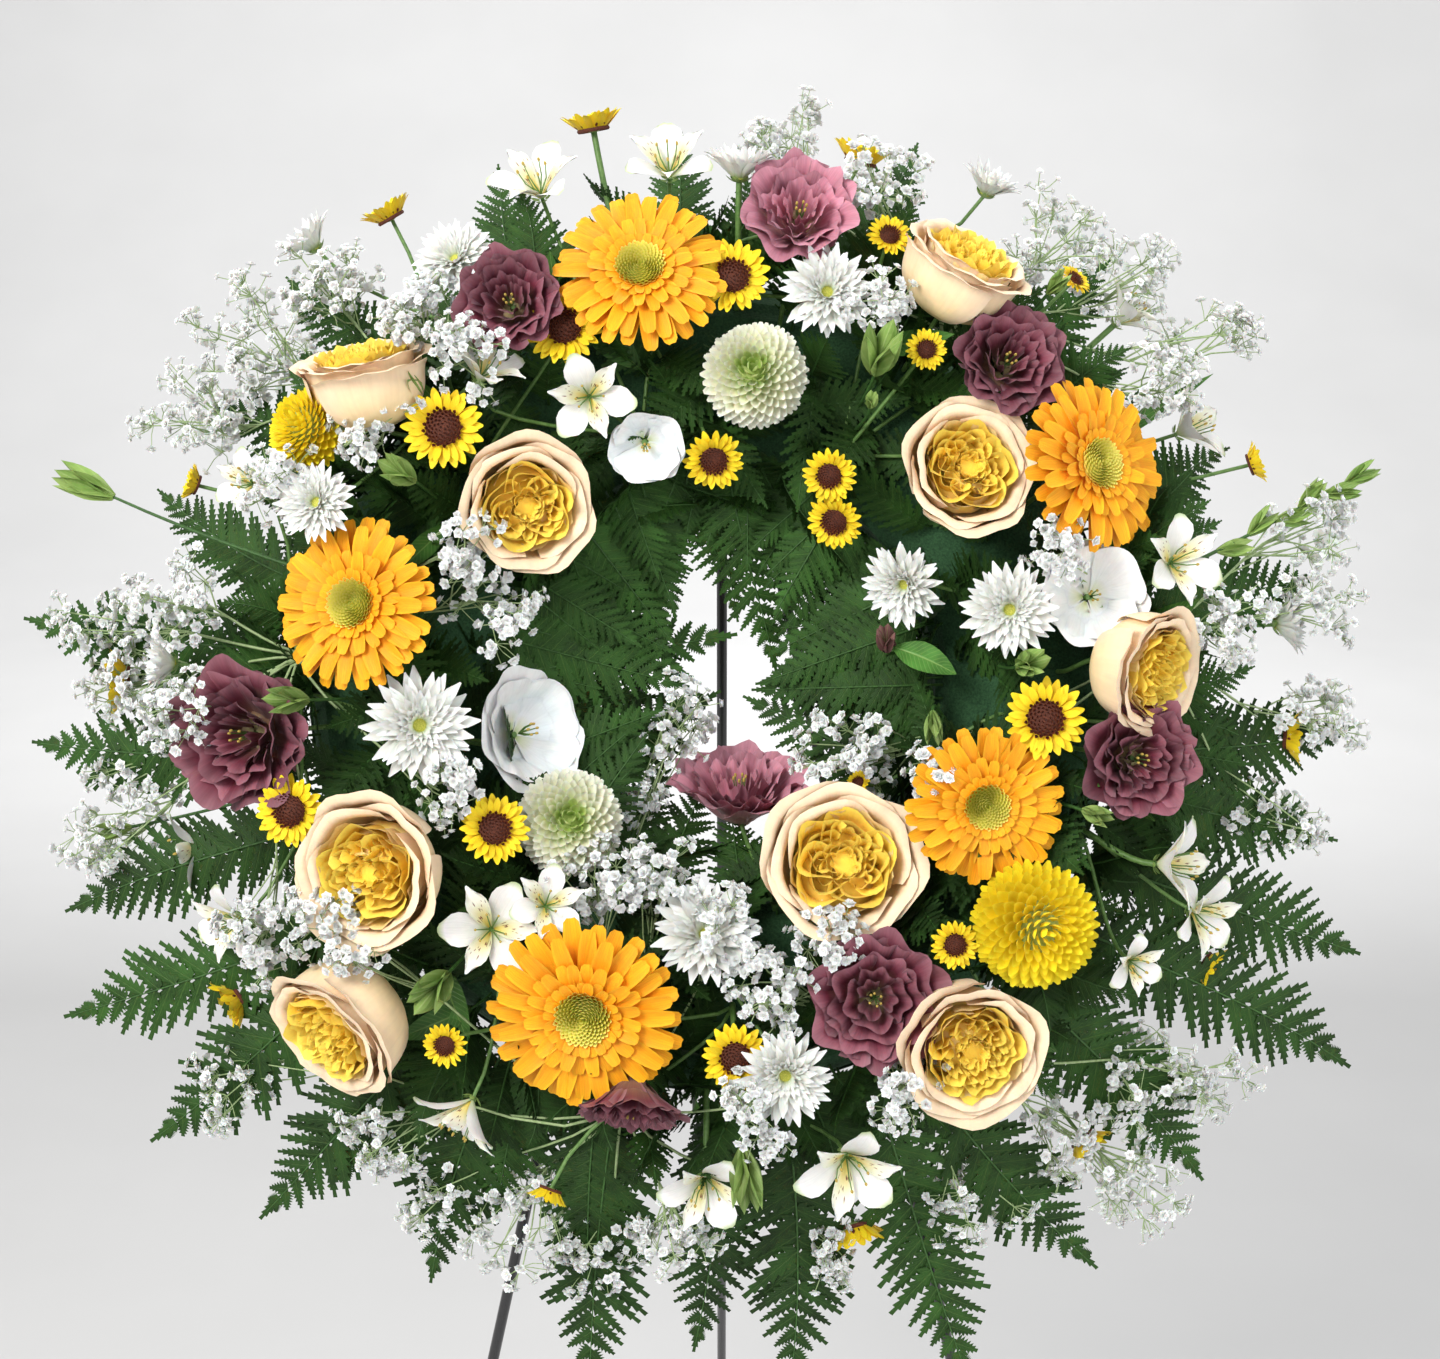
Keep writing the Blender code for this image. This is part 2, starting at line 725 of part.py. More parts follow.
def grow_spray(node, specs, rng, cutters):
    """Several heads of one stem: the first stands in the foam and the rest branch off low down."""
    spec, rings_of = specs[0]
    lump, join = grow_bloom(node, spec, rings_of, rng, 0, cutters, MAIN_STEM_RADIUS)
    lumps = [lump]
    for number, (spec, rings_of) in enumerate(specs[1:]):
        lumps += grow_branch(node, spec, rings_of, rng, number + 1, *join)
    return lumps


def make_hub(root, out):
    """The short thick stem of a spray."""
    side = out.orthogonal().normalized()
    hub = Lump()
    hub.ring([(0, root + out * (HUB_HEIGHT + 2 * MM))])
    add_stem(hub, [root + out * HUB_HEIGHT, root - out * STEM_IN_FOAM], HUB_RADIUS, side)
    hub.cap()
    free = Lump()
    free.ring([(0, root + out * (HUB_HEIGHT + 2 * MM))])
    add_stem(free, [root + out * HUB_HEIGHT, root + out * 1.2 * MM], HUB_RADIUS, side)
    free.cap()
    sunk = Lump()
    sunk.ring([(0, root + out * 2 * MM)])
    add_stem(sunk, [root + out * MM, root - out * STEM_IN_FOAM], HUB_RADIUS, side)
    sunk.cap()
    return hub, free, sunk


def grow_branch(node, spec, rings_of, rng, number, end, out):
    """One head of a spray, on a thin branch down to the join on the spray's main stem."""
    tried = 0
    for head, closed, frame, place, facing, neck, _, _ in place_head(node, spec, rings_of, rng, number):
        start = place + facing * neck
        run = (end - start).length
        for tries in range(40):
            bend = Vector([rng.uniform(-1, 1) for _ in range(3)]) * run * 0.012 * tries
            rise = out * run * rng.uniform(0.25, 0.5)
            path = (start, start - facing * run * 0.3 + bend, end + rise - bend * 0.5, end)
            stops = (0.15, 0.55, 1.0) if run > LONG_BRANCH else (0.35, 1.0)
            points = [bezier(path, t) for t in stops]
            branch = stem_below(head, start, points, BRANCH_RADIUS, side_of(frame))
            if not is_clear(node, "stem", branch.points, branch.faces):
                continue
            lump = Lump()
            lump.points, lump.faces, lump.last = list(head.points), list(head.faces), list(head.last)
            add_stem(lump, points, BRANCH_RADIUS, side_of(frame))
            lump.cap()
            remember(node, "head", closed.points, closed.faces)
            remember(node, "stem", branch.points, branch.faces)
            return [lump]
        tried += 1
        if tried > MOST_PLACES:
            break
    raise RuntimeError(f"no room for {node} {spec}")


# Leaves


def flat_ring(place, along, facing, half_width):
    """Four spots across a blade: its top, right edge, underside and left edge."""
    left = facing.cross(along).normalized()
    top = along.cross(left).normalized()
    half = LEAF_THICKNESS / 2
    return [
        (0, place + top * half),
        (math.pi / 2, place - left * half_width),
        (math.pi, place - top * half),
        (math.pi * 3 / 2, place + left * half_width),
    ]


def rib_ring(place, along, facing):
    """Three spots across a frond's rib: its top and its two edges, which the flat underside joins."""
    left = facing.cross(along).normalized()
    top = along.cross(left).normalized()
    return [
        (0, place + top * FERN_THICKNESS),
        (math.tau / 3, place - left * RIB_HALF_WIDTH),
        (math.tau * 2 / 3, place + left * RIB_HALF_WIDTH),
    ]


def direction_at(path, t):
    return (bezier(path, min(1, t + 0.03)) - bezier(path, max(0, t - 0.03))).normalized()


def fern(path, facing, half_width, pairs, stalk=0.24):
    """A frond as one thin arched blade whose edge is cut to the rib into pointed leaflets."""
    lump = Lump()
    rows = []
    tips = []
    for k in range(pairs):
        share = k / pairs
        t = stalk + (1 - stalk) * share
        along = direction_at(path, t)
        first = len(lump.points)
        lump.points += [point for _, point in rib_ring(bezier(path, t), along, facing)]
        rows.append(range(first, first + 3))
        width = half_width * (1 - share) ** 0.8 * min(1, 0.72 + 1.2 * share)
        middle = bezier(path, min(1, t + 0.5 * (1 - stalk) / pairs)) + along * width * LEAFLET_SWEEP
        left = facing.cross(along).normalized() * width
        drop = along.cross(left).normalized() * width * 0.12
        tips.append((len(lump.points), len(lump.points) + 1))
        lump.points += [middle + left - drop, middle - left - drop]
    end = len(lump.points)
    lump.points.append(bezier(path, 1.0))
    rows.append((end, end, end))
    for k, (left_tip, right_tip) in enumerate(tips):
        top, right, left = rows[k]
        top_on, right_on, left_on = rows[k + 1]
        lump.faces += [(top, top_on, left_tip), (top, left_tip, left), (left, left_tip, left_on)]
        lump.faces += [(top, right_tip, top_on), (top, right, right_tip), (right, right_on, right_tip)]
        lump.faces.append((left, left_on, right))
        if top_on != end:
            lump.faces += [(top_on, left_on, left_tip), (top_on, right_tip, right_on)]
            lump.faces.append((right, left_on, right_on))
    lump.last = list(zip((0, math.tau / 3, math.tau * 2 / 3), rows[0]))
    add_stem(lump, [bezier(path, 0)], STALK_RADIUS, facing)
    lump.cap()
    return lump


def leaf(path, facing, half_width):
    """A plain pointed leaf."""
    lump = Lump()
    lump.ring([(0, bezier(path, 1.0))])
    for t, width in ((0.8, 0.62), (0.5, 1.0), (0.22, 0.3)):
        along = direction_at(path, t)
        lump.ring(flat_ring(bezier(path, t), along, facing, half_width * width))
    add_stem(lump, [bezier(path, 0)], STALK_RADIUS, facing)
    lump.cap()
    return lump


def vine_corner(sector, k):
    """A corner of a sector's wound stem, and the way out of the foam there."""
    span = math.tau / SECTORS
    t = k / VINE_POINTS
    angle = sector * span + SECTOR_MARGIN + t * (span - 2 * SECTOR_MARGIN)
    phi = math.pi / 2 + VINE_SWING * math.sin(math.tau * t)
    return on_foam(angle, phi, VINE_ABOVE_FOAM)


def vine_point(sector, t):
    """A place on a sector's wound stem, and the way out of the foam there; t runs from 0 to 1."""
    corner = min(VINE_POINTS - 1, int(t * VINE_POINTS))
    share = t * VINE_POINTS - corner
    before, out = vine_corner(sector, corner)
    after, out_after = vine_corner(sector, corner + 1)
    return before.lerp(after, share), out.lerp(out_after, share).normalized()


def make_vine(sector):
    points = [vine_corner(sector, k)[0] for k in range(VINE_POINTS + 1)]
    lump = Lump()
    lump.ring([(0, points[0])])
    add_stem(lump, points[1:], VINE_RADIUS, Vector((0, 1, 0)))
    lump.cap()
    return lump


def vine_roots(sector, wanted, count):
    """The count places on a sector's stem that are nearest to wanted."""
    spots = [vine_point(sector, (k + 0.5) / VINE_ROOTS) for k in range(VINE_ROOTS)]
    spots.sort(key=lambda spot: (spot[0] - wanted).length)
    return spots[:count]


def sector_of(place):
    return int(math.atan2(place.z, place.x) % math.tau / (math.tau / SECTORS))


def at_depth(x, z, depth):
    """The place at a depth in front of the ring's back that shows at x, z of the photograph's plane."""
    spread = (VIEW_DISTANCE + FRONT_DEPTH - depth) / VIEW_DISTANCE
    return Vector((x * MM * spread, -depth, z * MM * spread))


def grow_outer_fern(x, z, half_width, rng):
    """A frond from the ring's outer side out past the flowers."""
    best_depth = OUTER_FERN_DEPTH
    for tries in range(90):
        loose = 0.35 * MM * tries
        depth = max(7 * MM, best_depth + rng.uniform(-0.4, 1) * loose)
        tip = at_depth(x, z, depth) + Vector((rng.uniform(-1, 1), 0, rng.uniform(-1, 1))) * loose
        sector = sector_of(tip)
        angle = math.atan2(tip.z, tip.x)
        wanted, _ = on_foam(angle + rng.uniform(-1, 1) * 0.004 * tries, math.radians(25))
        root, out = rng.choice(vine_roots(sector, wanted, 2 + tries // 12))
        run = tip - root
        bow = radial(angle).cross(Vector((0, 1, 0))) * rng.uniform(-1, 1) * loose * 2
        lift = Vector((0, -rng.uniform(0, 1) * loose, 0))
        path = (root, root + out * run.length * 0.2 + run * 0.1, root + run * 0.62 + bow + lift, tip)
        facing = (Vector((0, -1, 0)) + radial(angle) * 0.3).normalized()
        frond = fern(path, facing, half_width * MM, OUTER_FERN_PAIRS)
        node = f"greenery_{sector + 1}"
        if is_clear(node, "head", frond.points, frond.faces):
            remember(node, "head", frond.points, frond.faces)
            return node, frond
        if tries % 30 == 29:
            half_width *= 0.85
    raise RuntimeError("no room for outer fern at " + str((x, z)))


def grow_inner_fern(x, z, half_width, rng):
    """A frond from the ring's inner side towards its open middle."""
    for tries in range(110):
        loose = 0.35 * MM * tries
        tip = at_depth(x, z, 30 * MM + rng.uniform(-0.3, 1) * loose)
        tip += Vector((rng.uniform(-1, 1), 0, rng.uniform(-1, 1))) * loose * 0.6
        angle = math.atan2(tip.z, tip.x) + rng.uniform(-1, 1) * 0.012 * tries
        wanted, _ = on_foam(angle, math.radians(150))
        sector = sector_of(wanted)
        root, out = rng.choice(vine_roots(sector, wanted, 2 + tries // 10))
        run = tip - root
        bow = radial(angle).cross(Vector((0, 1, 0))) * rng.uniform(-1, 1) * loose
        path = (root, root + out * run.length * 0.25, root + run * 0.6 + bow, tip)
        frond = fern(path, Vector((0, -1, 0)), half_width * MM, INNER_FERN_PAIRS)
        node = f"greenery_{sector + 1}"
        if is_clear(node, "head", frond.points, frond.faces):
            remember(node, "head", frond.points, frond.faces)
            return node, frond
        if tries % 30 == 29:
            half_width *= 0.85
    raise RuntimeError("no room for inner fern at " + str((x, z)))


def grow_filling(sector, make, length, rng, wanted_count):
    """Short fronds or leaves that stand out of the foam between the flowers."""
    node = f"greenery_{sector + 1}"
    grown = []
    for tries in range(wanted_count * 45):
        if len(grown) == wanted_count:
            break
        root, out = vine_point(sector, rng.uniform(0.02, 0.98))
        turn = Vector([rng.uniform(-1, 1) for _ in range(3)])
        reach = length * rng.uniform(0.8, 1.25)
        heading = (out + turn * 0.5).normalized()
        tip = root + heading * reach
        path = (root, root + out * reach * 0.35, root + heading * reach * 0.7, tip)
        facing = heading.cross(Vector([rng.uniform(-1, 1) for _ in range(3)])).normalized()
        piece = make(path, facing)
        if tip.y < -7 * MM and is_clear(node, "head", piece.points, piece.faces):
            remember(node, "head", piece.points, piece.faces)
            grown.append(piece)
    return grown


def grow_long_leaf(x, z, half_width, rng):
    """A long leaf or bud that stands out past the rim."""
    for tries in range(80):
        loose = 0.5 * MM * tries
        tip = at_depth(x, z, 40 * MM + rng.uniform(-1, 1) * loose)
        sector = sector_of(tip)
        node = f"greenery_{sector + 1}"
        angle = math.atan2(tip.z, tip.x)
        wanted, _ = on_foam(angle + rng.uniform(-1, 1) * 0.004 * tries, math.radians(50))
        root, out = rng.choice(vine_roots(sector, wanted, 2 + tries // 10))
        run = tip - root
        path = (root, root + out * run.length * 0.3, root + run * 0.7 + out * loose, tip)
        blade = leaf(path, Vector((0, -1, 0)), half_width * MM)
        if is_clear(node, "head", blade.points, blade.faces):
            remember(node, "head", blade.points, blade.faces)
            return node, blade
    raise RuntimeError("no room for long leaf at " + str((x, z)))


def grow_bud(spec, rng, number):
    """A closed green bud on a stem that branches from its sector's wound stem."""
    x, z, length, tilt, aim = spec
    centre, angle, phi = seen_at(x, z)
    rings = bud_rings(rng)
    radius = min(BUD_RADIUS, length * MM / 3.6)
    sector = sector_of(centre)
    node = f"greenery_{sector + 1}"
    facing = facing_of(angle, phi, tilt, aim)
    for tries in range(120):
        loose = 0.35 * MM * tries
        place = centre + Vector([rng.uniform(-1, 1) for _ in range(3)]) * loose
        frame = head_frame(place, facing, number)
        stretch = [[(a, (r * radius, h * length * MM / 3.6)) for a, (r, h) in ring] for ring in rings]
        bud = lump_from(frame, stretch)
        root, out = rng.choice(vine_roots(sector, place, 3 + tries // 10))
        start = frame @ Vector((0, 0, stretch[-1][0][1][1]))
        run = (root - start).length
        path = (start, start - facing * run * 0.35, root + out * run * 0.35, root)
        add_stem(bud, [bezier(path, t) for t in (0.5, 1.0)], BRANCH_RADIUS, side_of(frame))
        bud.cap()
        if is_clear(node, "head", bud.points, bud.faces):
            remember(node, "head", bud.points, bud.faces)
            return node, bud
    raise RuntimeError("no room for bud at " + str((x, z)))


def side_of(frame):
    return (frame.to_3x3() @ Vector((1, 0, 0))).normalized()


# Baby's breath


def thread(florets, way):
    """A thin branch from its outer tip down its way, strung with florets."""
    lump = Lump()
    points = []
    radii = []
    stops = florets + way
    for k, floret in enumerate(florets):
        along = (stops[k + 1] - floret).normalized()
        points += [floret, floret + along * FLORET_RADIUS * 0.9]
        radii += [FLORET_RADIUS, THREAD_RADIUS]
        if k < len(florets) - 1:
            points.append(stops[k + 1] - along * FLORET_RADIUS * 0.9)
            radii.append(THREAD_RADIUS)
    lump.ring([(0, florets[0] + (florets[0] - stops[1]).normalized() * FLORET_RADIUS)])
    add_stem(lump, points + way, radii + [THREAD_RADIUS] * len(way), Vector((0.3, 1, 0.2)))
    lump.cap()
    return lump


def grow_cloud(node, cloud, root, out, rng):
    """The branches of one cloud of baby's breath, from the short stem at root."""
    x, z, radius = cloud
    centre, angle, phi = seen_at(x, z)
    centre += facing_of(angle, phi) * 9 * MM
    radius *= MM
    wanted = max(1, round(radius / (21 * MM)))
    grown = []
    for tries in range(wanted * 60):
        if len(grown) == wanted:
            break
        spread = min(1.0, 0.55 + 0.01 * tries)
        florets = [
            centre + Vector([rng.uniform(-1, 1) for _ in range(3)]) * radius * spread
            for _ in range(FLORETS_PER_BRANCH)
        ]
        end = root + out * (HUB_HEIGHT - 5 * MM)
        florets.sort(key=lambda place: -(place - end).length)
        steps = [(a - b).length for a, b in zip(florets, florets[1:])]
        if min(steps) < 3 * FLORET_RADIUS or florets[0].y > -10 * MM:
            continue
        run = (end - florets[-1]).length
        bend = Vector([rng.uniform(-1, 1) for _ in range(3)]) * run * 0.3
        path = (florets[-1], florets[-1] + (end - florets[-1]) * 0.3 + bend, end + out * run * 0.35, end)
        branch = thread(florets, [bezier(path, t) for t in (0.5, 1.0)])
        if is_clear(node, "stem", branch.points, branch.faces):
            remember(node, "stem", branch.points, branch.faces)
            grown.append(branch)
    return grown


def grow_clouds(node, clouds, rng, cutters):
    """One stem of baby's breath: clouds of florets on branches that meet in a short stem."""
    spots = [seen_at(x, z) for x, z, _ in clouds]
    lumps, root, out = plant_hub(node, spots, rng, cutters)
    for cloud in clouds:
        lumps += grow_cloud(node, cloud, root, out, rng)
    return lumps


# The made parts


def lathed(name, outline, collection):
    """A ring turned from a closed (radius, height) outline, its top turned to face -y."""
    mesh = bpy.data.meshes.new(name)
    points = [(radius, 0, height) for radius, height in outline]
    edges = [(k, (k + 1) % len(points)) for k in range(len(points))]
    mesh.from_pydata(points, edges, [])
    ring = object_from(name, mesh, collection)
    screw = ring.modifiers.new("turn", "SCREW")
    screw.steps = RING_STEPS
    screw.render_steps = RING_STEPS
    screw.merge_threshold = 0.0001
    screw.use_merge_vertices = True
    ring.rotation_euler.x = math.pi / 2
    return as_mesh(ring, collection)


def as_mesh(thing, collection):
    """Swaps an object for a plain mesh of it as it stands, with its doubles welded."""
    bpy.context.view_layer.update()
    evaluated = thing.evaluated_get(bpy.context.evaluated_depsgraph_get())
    mesh = bpy.data.meshes.new_from_object(evaluated)
    mesh.transform(thing.matrix_world)
    name = thing.name
    bpy.data.objects.remove(thing)
    shape = bmesh.new()
    shape.from_mesh(mesh)
    bmesh.ops.remove_doubles(shape, verts=shape.verts, dist=0.00001)
    bmesh.ops.triangulate(shape, faces=shape.faces)
    shape.to_mesh(mesh)
    shape.free()
    mesh.name = name
    return object_from(name, mesh, collection)


def make_foam(collection):
    outline = []
    for k in range(DOME_POINTS + 1):
        phi = math.pi * (1 - k / DOME_POINTS)
        radius = RING_RADIUS + FOAM_HALF_WIDTH * math.cos(phi)
        outline.append((radius, FOAM_SHOULDER + FOAM_DOME * math.sin(phi)))
    outline.append((RING_RADIUS + FOAM_HALF_WIDTH, FOAM_BACK))
    outline.append((RING_RADIUS - FOAM_HALF_WIDTH, FOAM_BACK))
    return lathed("foam_ring", outline, collection)


def make_tray(collection):
    outer = RING_RADIUS + TRAY_HALF_WIDTH
    inner = RING_RADIUS - TRAY_HALF_WIDTH
    outline = [
        (outer, TRAY_DEPTH),
        (outer, 0),
        (inner, 0),
        (inner, TRAY_DEPTH),
        (inner + TRAY_WALL, TRAY_DEPTH),
        (inner + TRAY_WALL, TRAY_WALL),
        (outer - TRAY_WALL, TRAY_WALL),
        (outer - TRAY_WALL, TRAY_DEPTH),
    ]
    return lathed("foam_tray", outline, collection)


def rod(name, points, radius, collection):
    """A round steel rod along points, with closed ends."""
    curve = bpy.data.curves.new(name, "CURVE")
    curve.dimensions = "3D"
    curve.bevel_depth = radius
    curve.bevel_resolution = 2
    curve.use_fill_caps = True
    spline = curve.splines.new("POLY")
    spline.points.add(len(points) - 1)
    for spot, point in zip(spline.points, points):
        spot.co = (*point, 1)
    return as_mesh(object_from(name, curve, collection), collection)


def block(name, centre, size, collection):
    shape = bmesh.new()
    bmesh.ops.create_cube(shape, size=1, matrix=Matrix.Diagonal((*size, 1)))
    bmesh.ops.translate(shape, verts=shape.verts, vec=centre)
    mesh = bpy.data.meshes.new(name)
    shape.to_mesh(mesh)
    shape.free()
    return object_from(name, mesh, collection)


def drum(name, centre, radius, length, collection, sides=12):
    """A round bar along x."""
    shape = bmesh.new()
    bmesh.ops.create_cone(
        shape, cap_ends=True, segments=sides, radius1=radius, radius2=radius, depth=length,
        matrix=Matrix.Rotation(math.pi / 2, 4, "Y"),
    )
    bmesh.ops.translate(shape, verts=shape.verts, vec=centre)
    mesh = bpy.data.meshes.new(name)
    shape.to_mesh(mesh)
    shape.free()
    return object_from(name, mesh, collection)


def fused(name, pieces, solver, collection):
    """One body from overlapping pieces, its doubles welded."""
    base, rest = pieces[0], pieces[1:]
    if rest:
        group = new_collection(name + "_pieces")
        for piece in rest:
            group.objects.link(piece)
        union = base.modifiers.new("fuse", "BOOLEAN")
        union.operation = "UNION"
        union.solver = solver
        union.operand_type = "COLLECTION"
        union.collection = group
        bpy.context.view_layer.update()
        evaluated = base.evaluated_get(bpy.context.evaluated_depsgraph_get())
        mesh = bpy.data.meshes.new_from_object(evaluated)
        for piece in list(group.objects):
            bpy.data.objects.remove(piece)
        bpy.data.collections.remove(group)
    else:
        mesh = base.data.copy()
    bpy.data.objects.remove(base)
    shape = bmesh.new()
    shape.from_mesh(mesh)
    bmesh.ops.remove_doubles(shape, verts=shape.verts, dist=0.000001)
    bmesh.ops.triangulate(shape, faces=shape.faces)
    shape.to_mesh(mesh)
    shape.free()
    mesh.name = name
    return object_from(name, mesh, collection)


def stand_frame():
    """The easel's front plane: the wreath's own frame, with x counted from the easel's middle."""
    return Matrix.Translation((EASEL_RIGHT_OF_RING, 0, 0))


def make_easel_front(collection):
    """Two legs, a cross bar, a crown plate with the hinge's ears and pin, and the hook."""
    pieces = []
    apex = APEX_ABOVE_RING
    foot = -RING_HEIGHT_ON_SLOPE - 30 * MM
    for side in (-1, 1):
        top = (side * LEG_TOP_HALF_SPACING, LEG_PLANE, apex)
        spread = side * (LEG_TOP_HALF_SPACING + (apex - foot) * math.tan(SPLAY))
        pieces.append(rod("leg", [top, (spread, LEG_PLANE, foot)], ROD_RADIUS, collection))
    bar_z = CROSS_BAR_ON_SLOPE - RING_HEIGHT_ON_SLOPE
    reach = LEG_TOP_HALF_SPACING + (apex - bar_z) * math.tan(SPLAY)
    ends = [(-reach, LEG_PLANE, bar_z), (reach, LEG_PLANE, bar_z)]
    pieces.append(rod("cross_bar", ends, CROSS_BAR_RADIUS, collection))
    hinge_z = apex - CROWN_BELOW_APEX
    crown_y = LEG_PLANE + ROD_RADIUS + CROWN_SIZE[1] / 2 - 0.5 * MM
    pieces.append(block("crown", (0, crown_y, hinge_z), CROWN_SIZE, collection))
    ear_y = crown_y + CROWN_SIZE[1] / 2 + EAR_SIZE[1] / 2 - 0.5 * MM
    for side in (-1, 1):
        centre = (side * EAR_HALF_SPACING, ear_y, hinge_z)
        pieces.append(block("ear", centre, EAR_SIZE, collection))
    pin_y = LEG_PLANE + HINGE_BEHIND_LEGS
    pieces.append(drum("pin", (0, pin_y, hinge_z), PIN_RADIUS, PIN_LENGTH, collection, 10))
    pieces.append(make_hook(crown_y, hinge_z, collection))
    return fused("easel_frame", pieces, "EXACT", collection)


def make_hook(crown_y, crown_z, collection):
    """The hook that the tray's inner rim hangs on. It starts in the crown plate."""
    rest_z = RING_RADIUS - TRAY_HALF_WIDTH - HOOK_RADIUS - 1.5 * GAP
    points = [
        (-EASEL_RIGHT_OF_RING, crown_y, crown_z - CROWN_SIZE[2] / 2 + HOOK_START),
        (-EASEL_RIGHT_OF_RING, crown_y, rest_z + 4 * MM),
        (-EASEL_RIGHT_OF_RING, crown_y - 4 * MM, rest_z),
        (-EASEL_RIGHT_OF_RING, -HOOK_LENGTH, rest_z),
        (-EASEL_RIGHT_OF_RING, -HOOK_LENGTH - 4 * MM, rest_z + HOOK_LIP),
    ]
    return rod("hook", points, HOOK_RADIUS, collection)


def make_rear_leg(collection):
    """The rear leg, modelled hanging straight down from the pin, which is its origin."""
    barrel = drum("easel_rear_leg", (0, 0, 0), BARREL_RADIUS, BARREL_LENGTH, collection)
    down = rod("down", [(0, 0, HEEL_LENGTH), (0, 0, -1.35)], ROD_RADIUS, collection)
    leg = fused("easel_rear_leg", [barrel, down], "EXACT", collection)
    return leg


def add_cut(thing, cutter, name, solver="EXACT"):
    cut = thing.modifiers.new(name, "BOOLEAN")
    cut.operation = "DIFFERENCE"
    cut.solver = solver
    cut.object = cutter


def as_cutter(thing):
    thing.hide_render = True
    thing.display_type = "WIRE"


def object_of(node, lump, collection):
    """A lump as an object, its faces listed from the stem's end up to the head."""
    return object_from(node, mesh_from(node, lump.points, lump.faces[::-1]), collection)


def remember_object(thing, move=Matrix()):
    points = [move @ vertex.co for vertex in thing.data.vertices]
    faces = [tuple(face.vertices) for face in thing.data.polygons]
    if any(len(face) > 3 for face in faces):
        thing.data.calc_loop_triangles()
        faces = [tuple(triangle.vertices) for triangle in thing.data.loop_triangles]
    remember(thing.name, "solid", points, faces)


def reserve_opening():
    """Keeps the open middle clear: an upright box, so slanted in the wreath's leaning frame."""
    back = Matrix.Rotation(LEAN, 3, "X")
    x, z = OPENING_CENTRE
    corners = []
    for side in (-1, 1):
        for depth in (-OPENING_FRONT, OPENING_BACK):
            for high in (-1, 1):
                corner = Vector((side * OPENING_HALF[0], depth, high * OPENING_HALF[1]))
                corners.append(back @ corner + Vector((x, 0, z)))
    shape = bmesh.new()
    for corner in corners:
        shape.verts.new(corner)
    bmesh.ops.convex_hull(shape, input=shape.verts)
    bmesh.ops.triangulate(shape, faces=shape.faces)
    shape.verts.index_update()
    points = [vertex.co.copy() for vertex in shape.verts]
    faces = [tuple(vertex.index for vertex in face.verts) for face in shape.faces]
    shape.free()
    remember("opening", "space", points, faces)


def grow_all(cutters):
    """Every plant node's lumps, the large and the low before the small."""
    rng = random.Random(SEED)
    lumps = {}
    for sector in range(SECTORS):
        vine = make_vine(sector)
        remember(f"greenery_{sector + 1}", "stem", vine.points, vine.faces)
        lumps[f"greenery_{sector + 1}"] = [vine]
    singles = [
        ("gerbera", GERBERAS, gerbera_rings),
        ("rose", ROSES, rose_rings),
        ("lisianthus", LISIANTHUS, lisianthus_rings),
        ("pompom", POMPOMS, pompom_rings),
    ]
    for family, specs, rings_of in singles:
        for number, spec in enumerate(specs):
            node = f"{family}_{number + 1}"
            lump, _ = grow_bloom(node, spec, rings_of, rng, number, cutters, STEM_RADIUS)
            lumps[node] = [lump]
    sprays = [
        ("white_daisies", WHITE_SPRAYS, white_daisy_rings),
        ("alstroemeria", ALSTROEMERIA_SPRAYS, alstroemeria_rings),
        ("yellow_daisies", YELLOW_SPRAYS, yellow_daisy_rings),
    ]
    for family, groups, rings_of in sprays:
        for number, group in enumerate(groups):
            node = f"{family}_{number + 1}"
            specs = [(spec, rings_for(spec, rings_of)) for spec in group]
            if node in WHITE_LISIANTHUS:
                specs.insert(0, (WHITE_LISIANTHUS[node], lisianthus_rings))
            lumps[node] = grow_spray(node, specs, rng, cutters)
    grow_leaves(lumps, rng, cutters)
    return lumps


def rings_for(spec, rings_of):
    if rings_of is yellow_daisy_rings and spec[2] < SMALL_DAISY:
        return small_daisy_rings
    return rings_of


def grow_leaves(lumps, rng, cutters):
    """Fern, buds, baby's breath and the leaves between the flowers."""
    grown = [grow_outer_fern(*tip, rng) for tip in OUTER_FERN]
    grown += [grow_inner_fern(*tip, rng) for tip in INNER_FERN]
    grown += [grow_long_leaf(*tip, rng) for tip in LONG_LEAVES]
    grown += [grow_bud(spec, rng, number) for number, spec in enumerate(BUDS)]
    for number, clouds in enumerate(CLOUDS):
        node = f"gypsophila_{number + 1}"
        lumps[node] = grow_clouds(node, clouds, rng, cutters)
    for node, lump in grown:
        lumps[node].append(lump)
    for sector in range(SECTORS):
        node = f"greenery_{sector + 1}"
        lumps[node] += grow_filling(sector, short_fern, FILL_FERN_LENGTH, rng, FILL_PER_SECTOR)
        lumps[node] += grow_filling(sector, short_leaf, LEAF_LENGTH, rng, LEAVES_PER_SECTOR)


def short_fern(path, facing):
    return fern(path, facing, FILL_FERN_HALF_WIDTH, FILL_FERN_PAIRS)


def short_leaf(path, facing):
    return leaf(path, facing, LEAF_HALF_WIDTH)


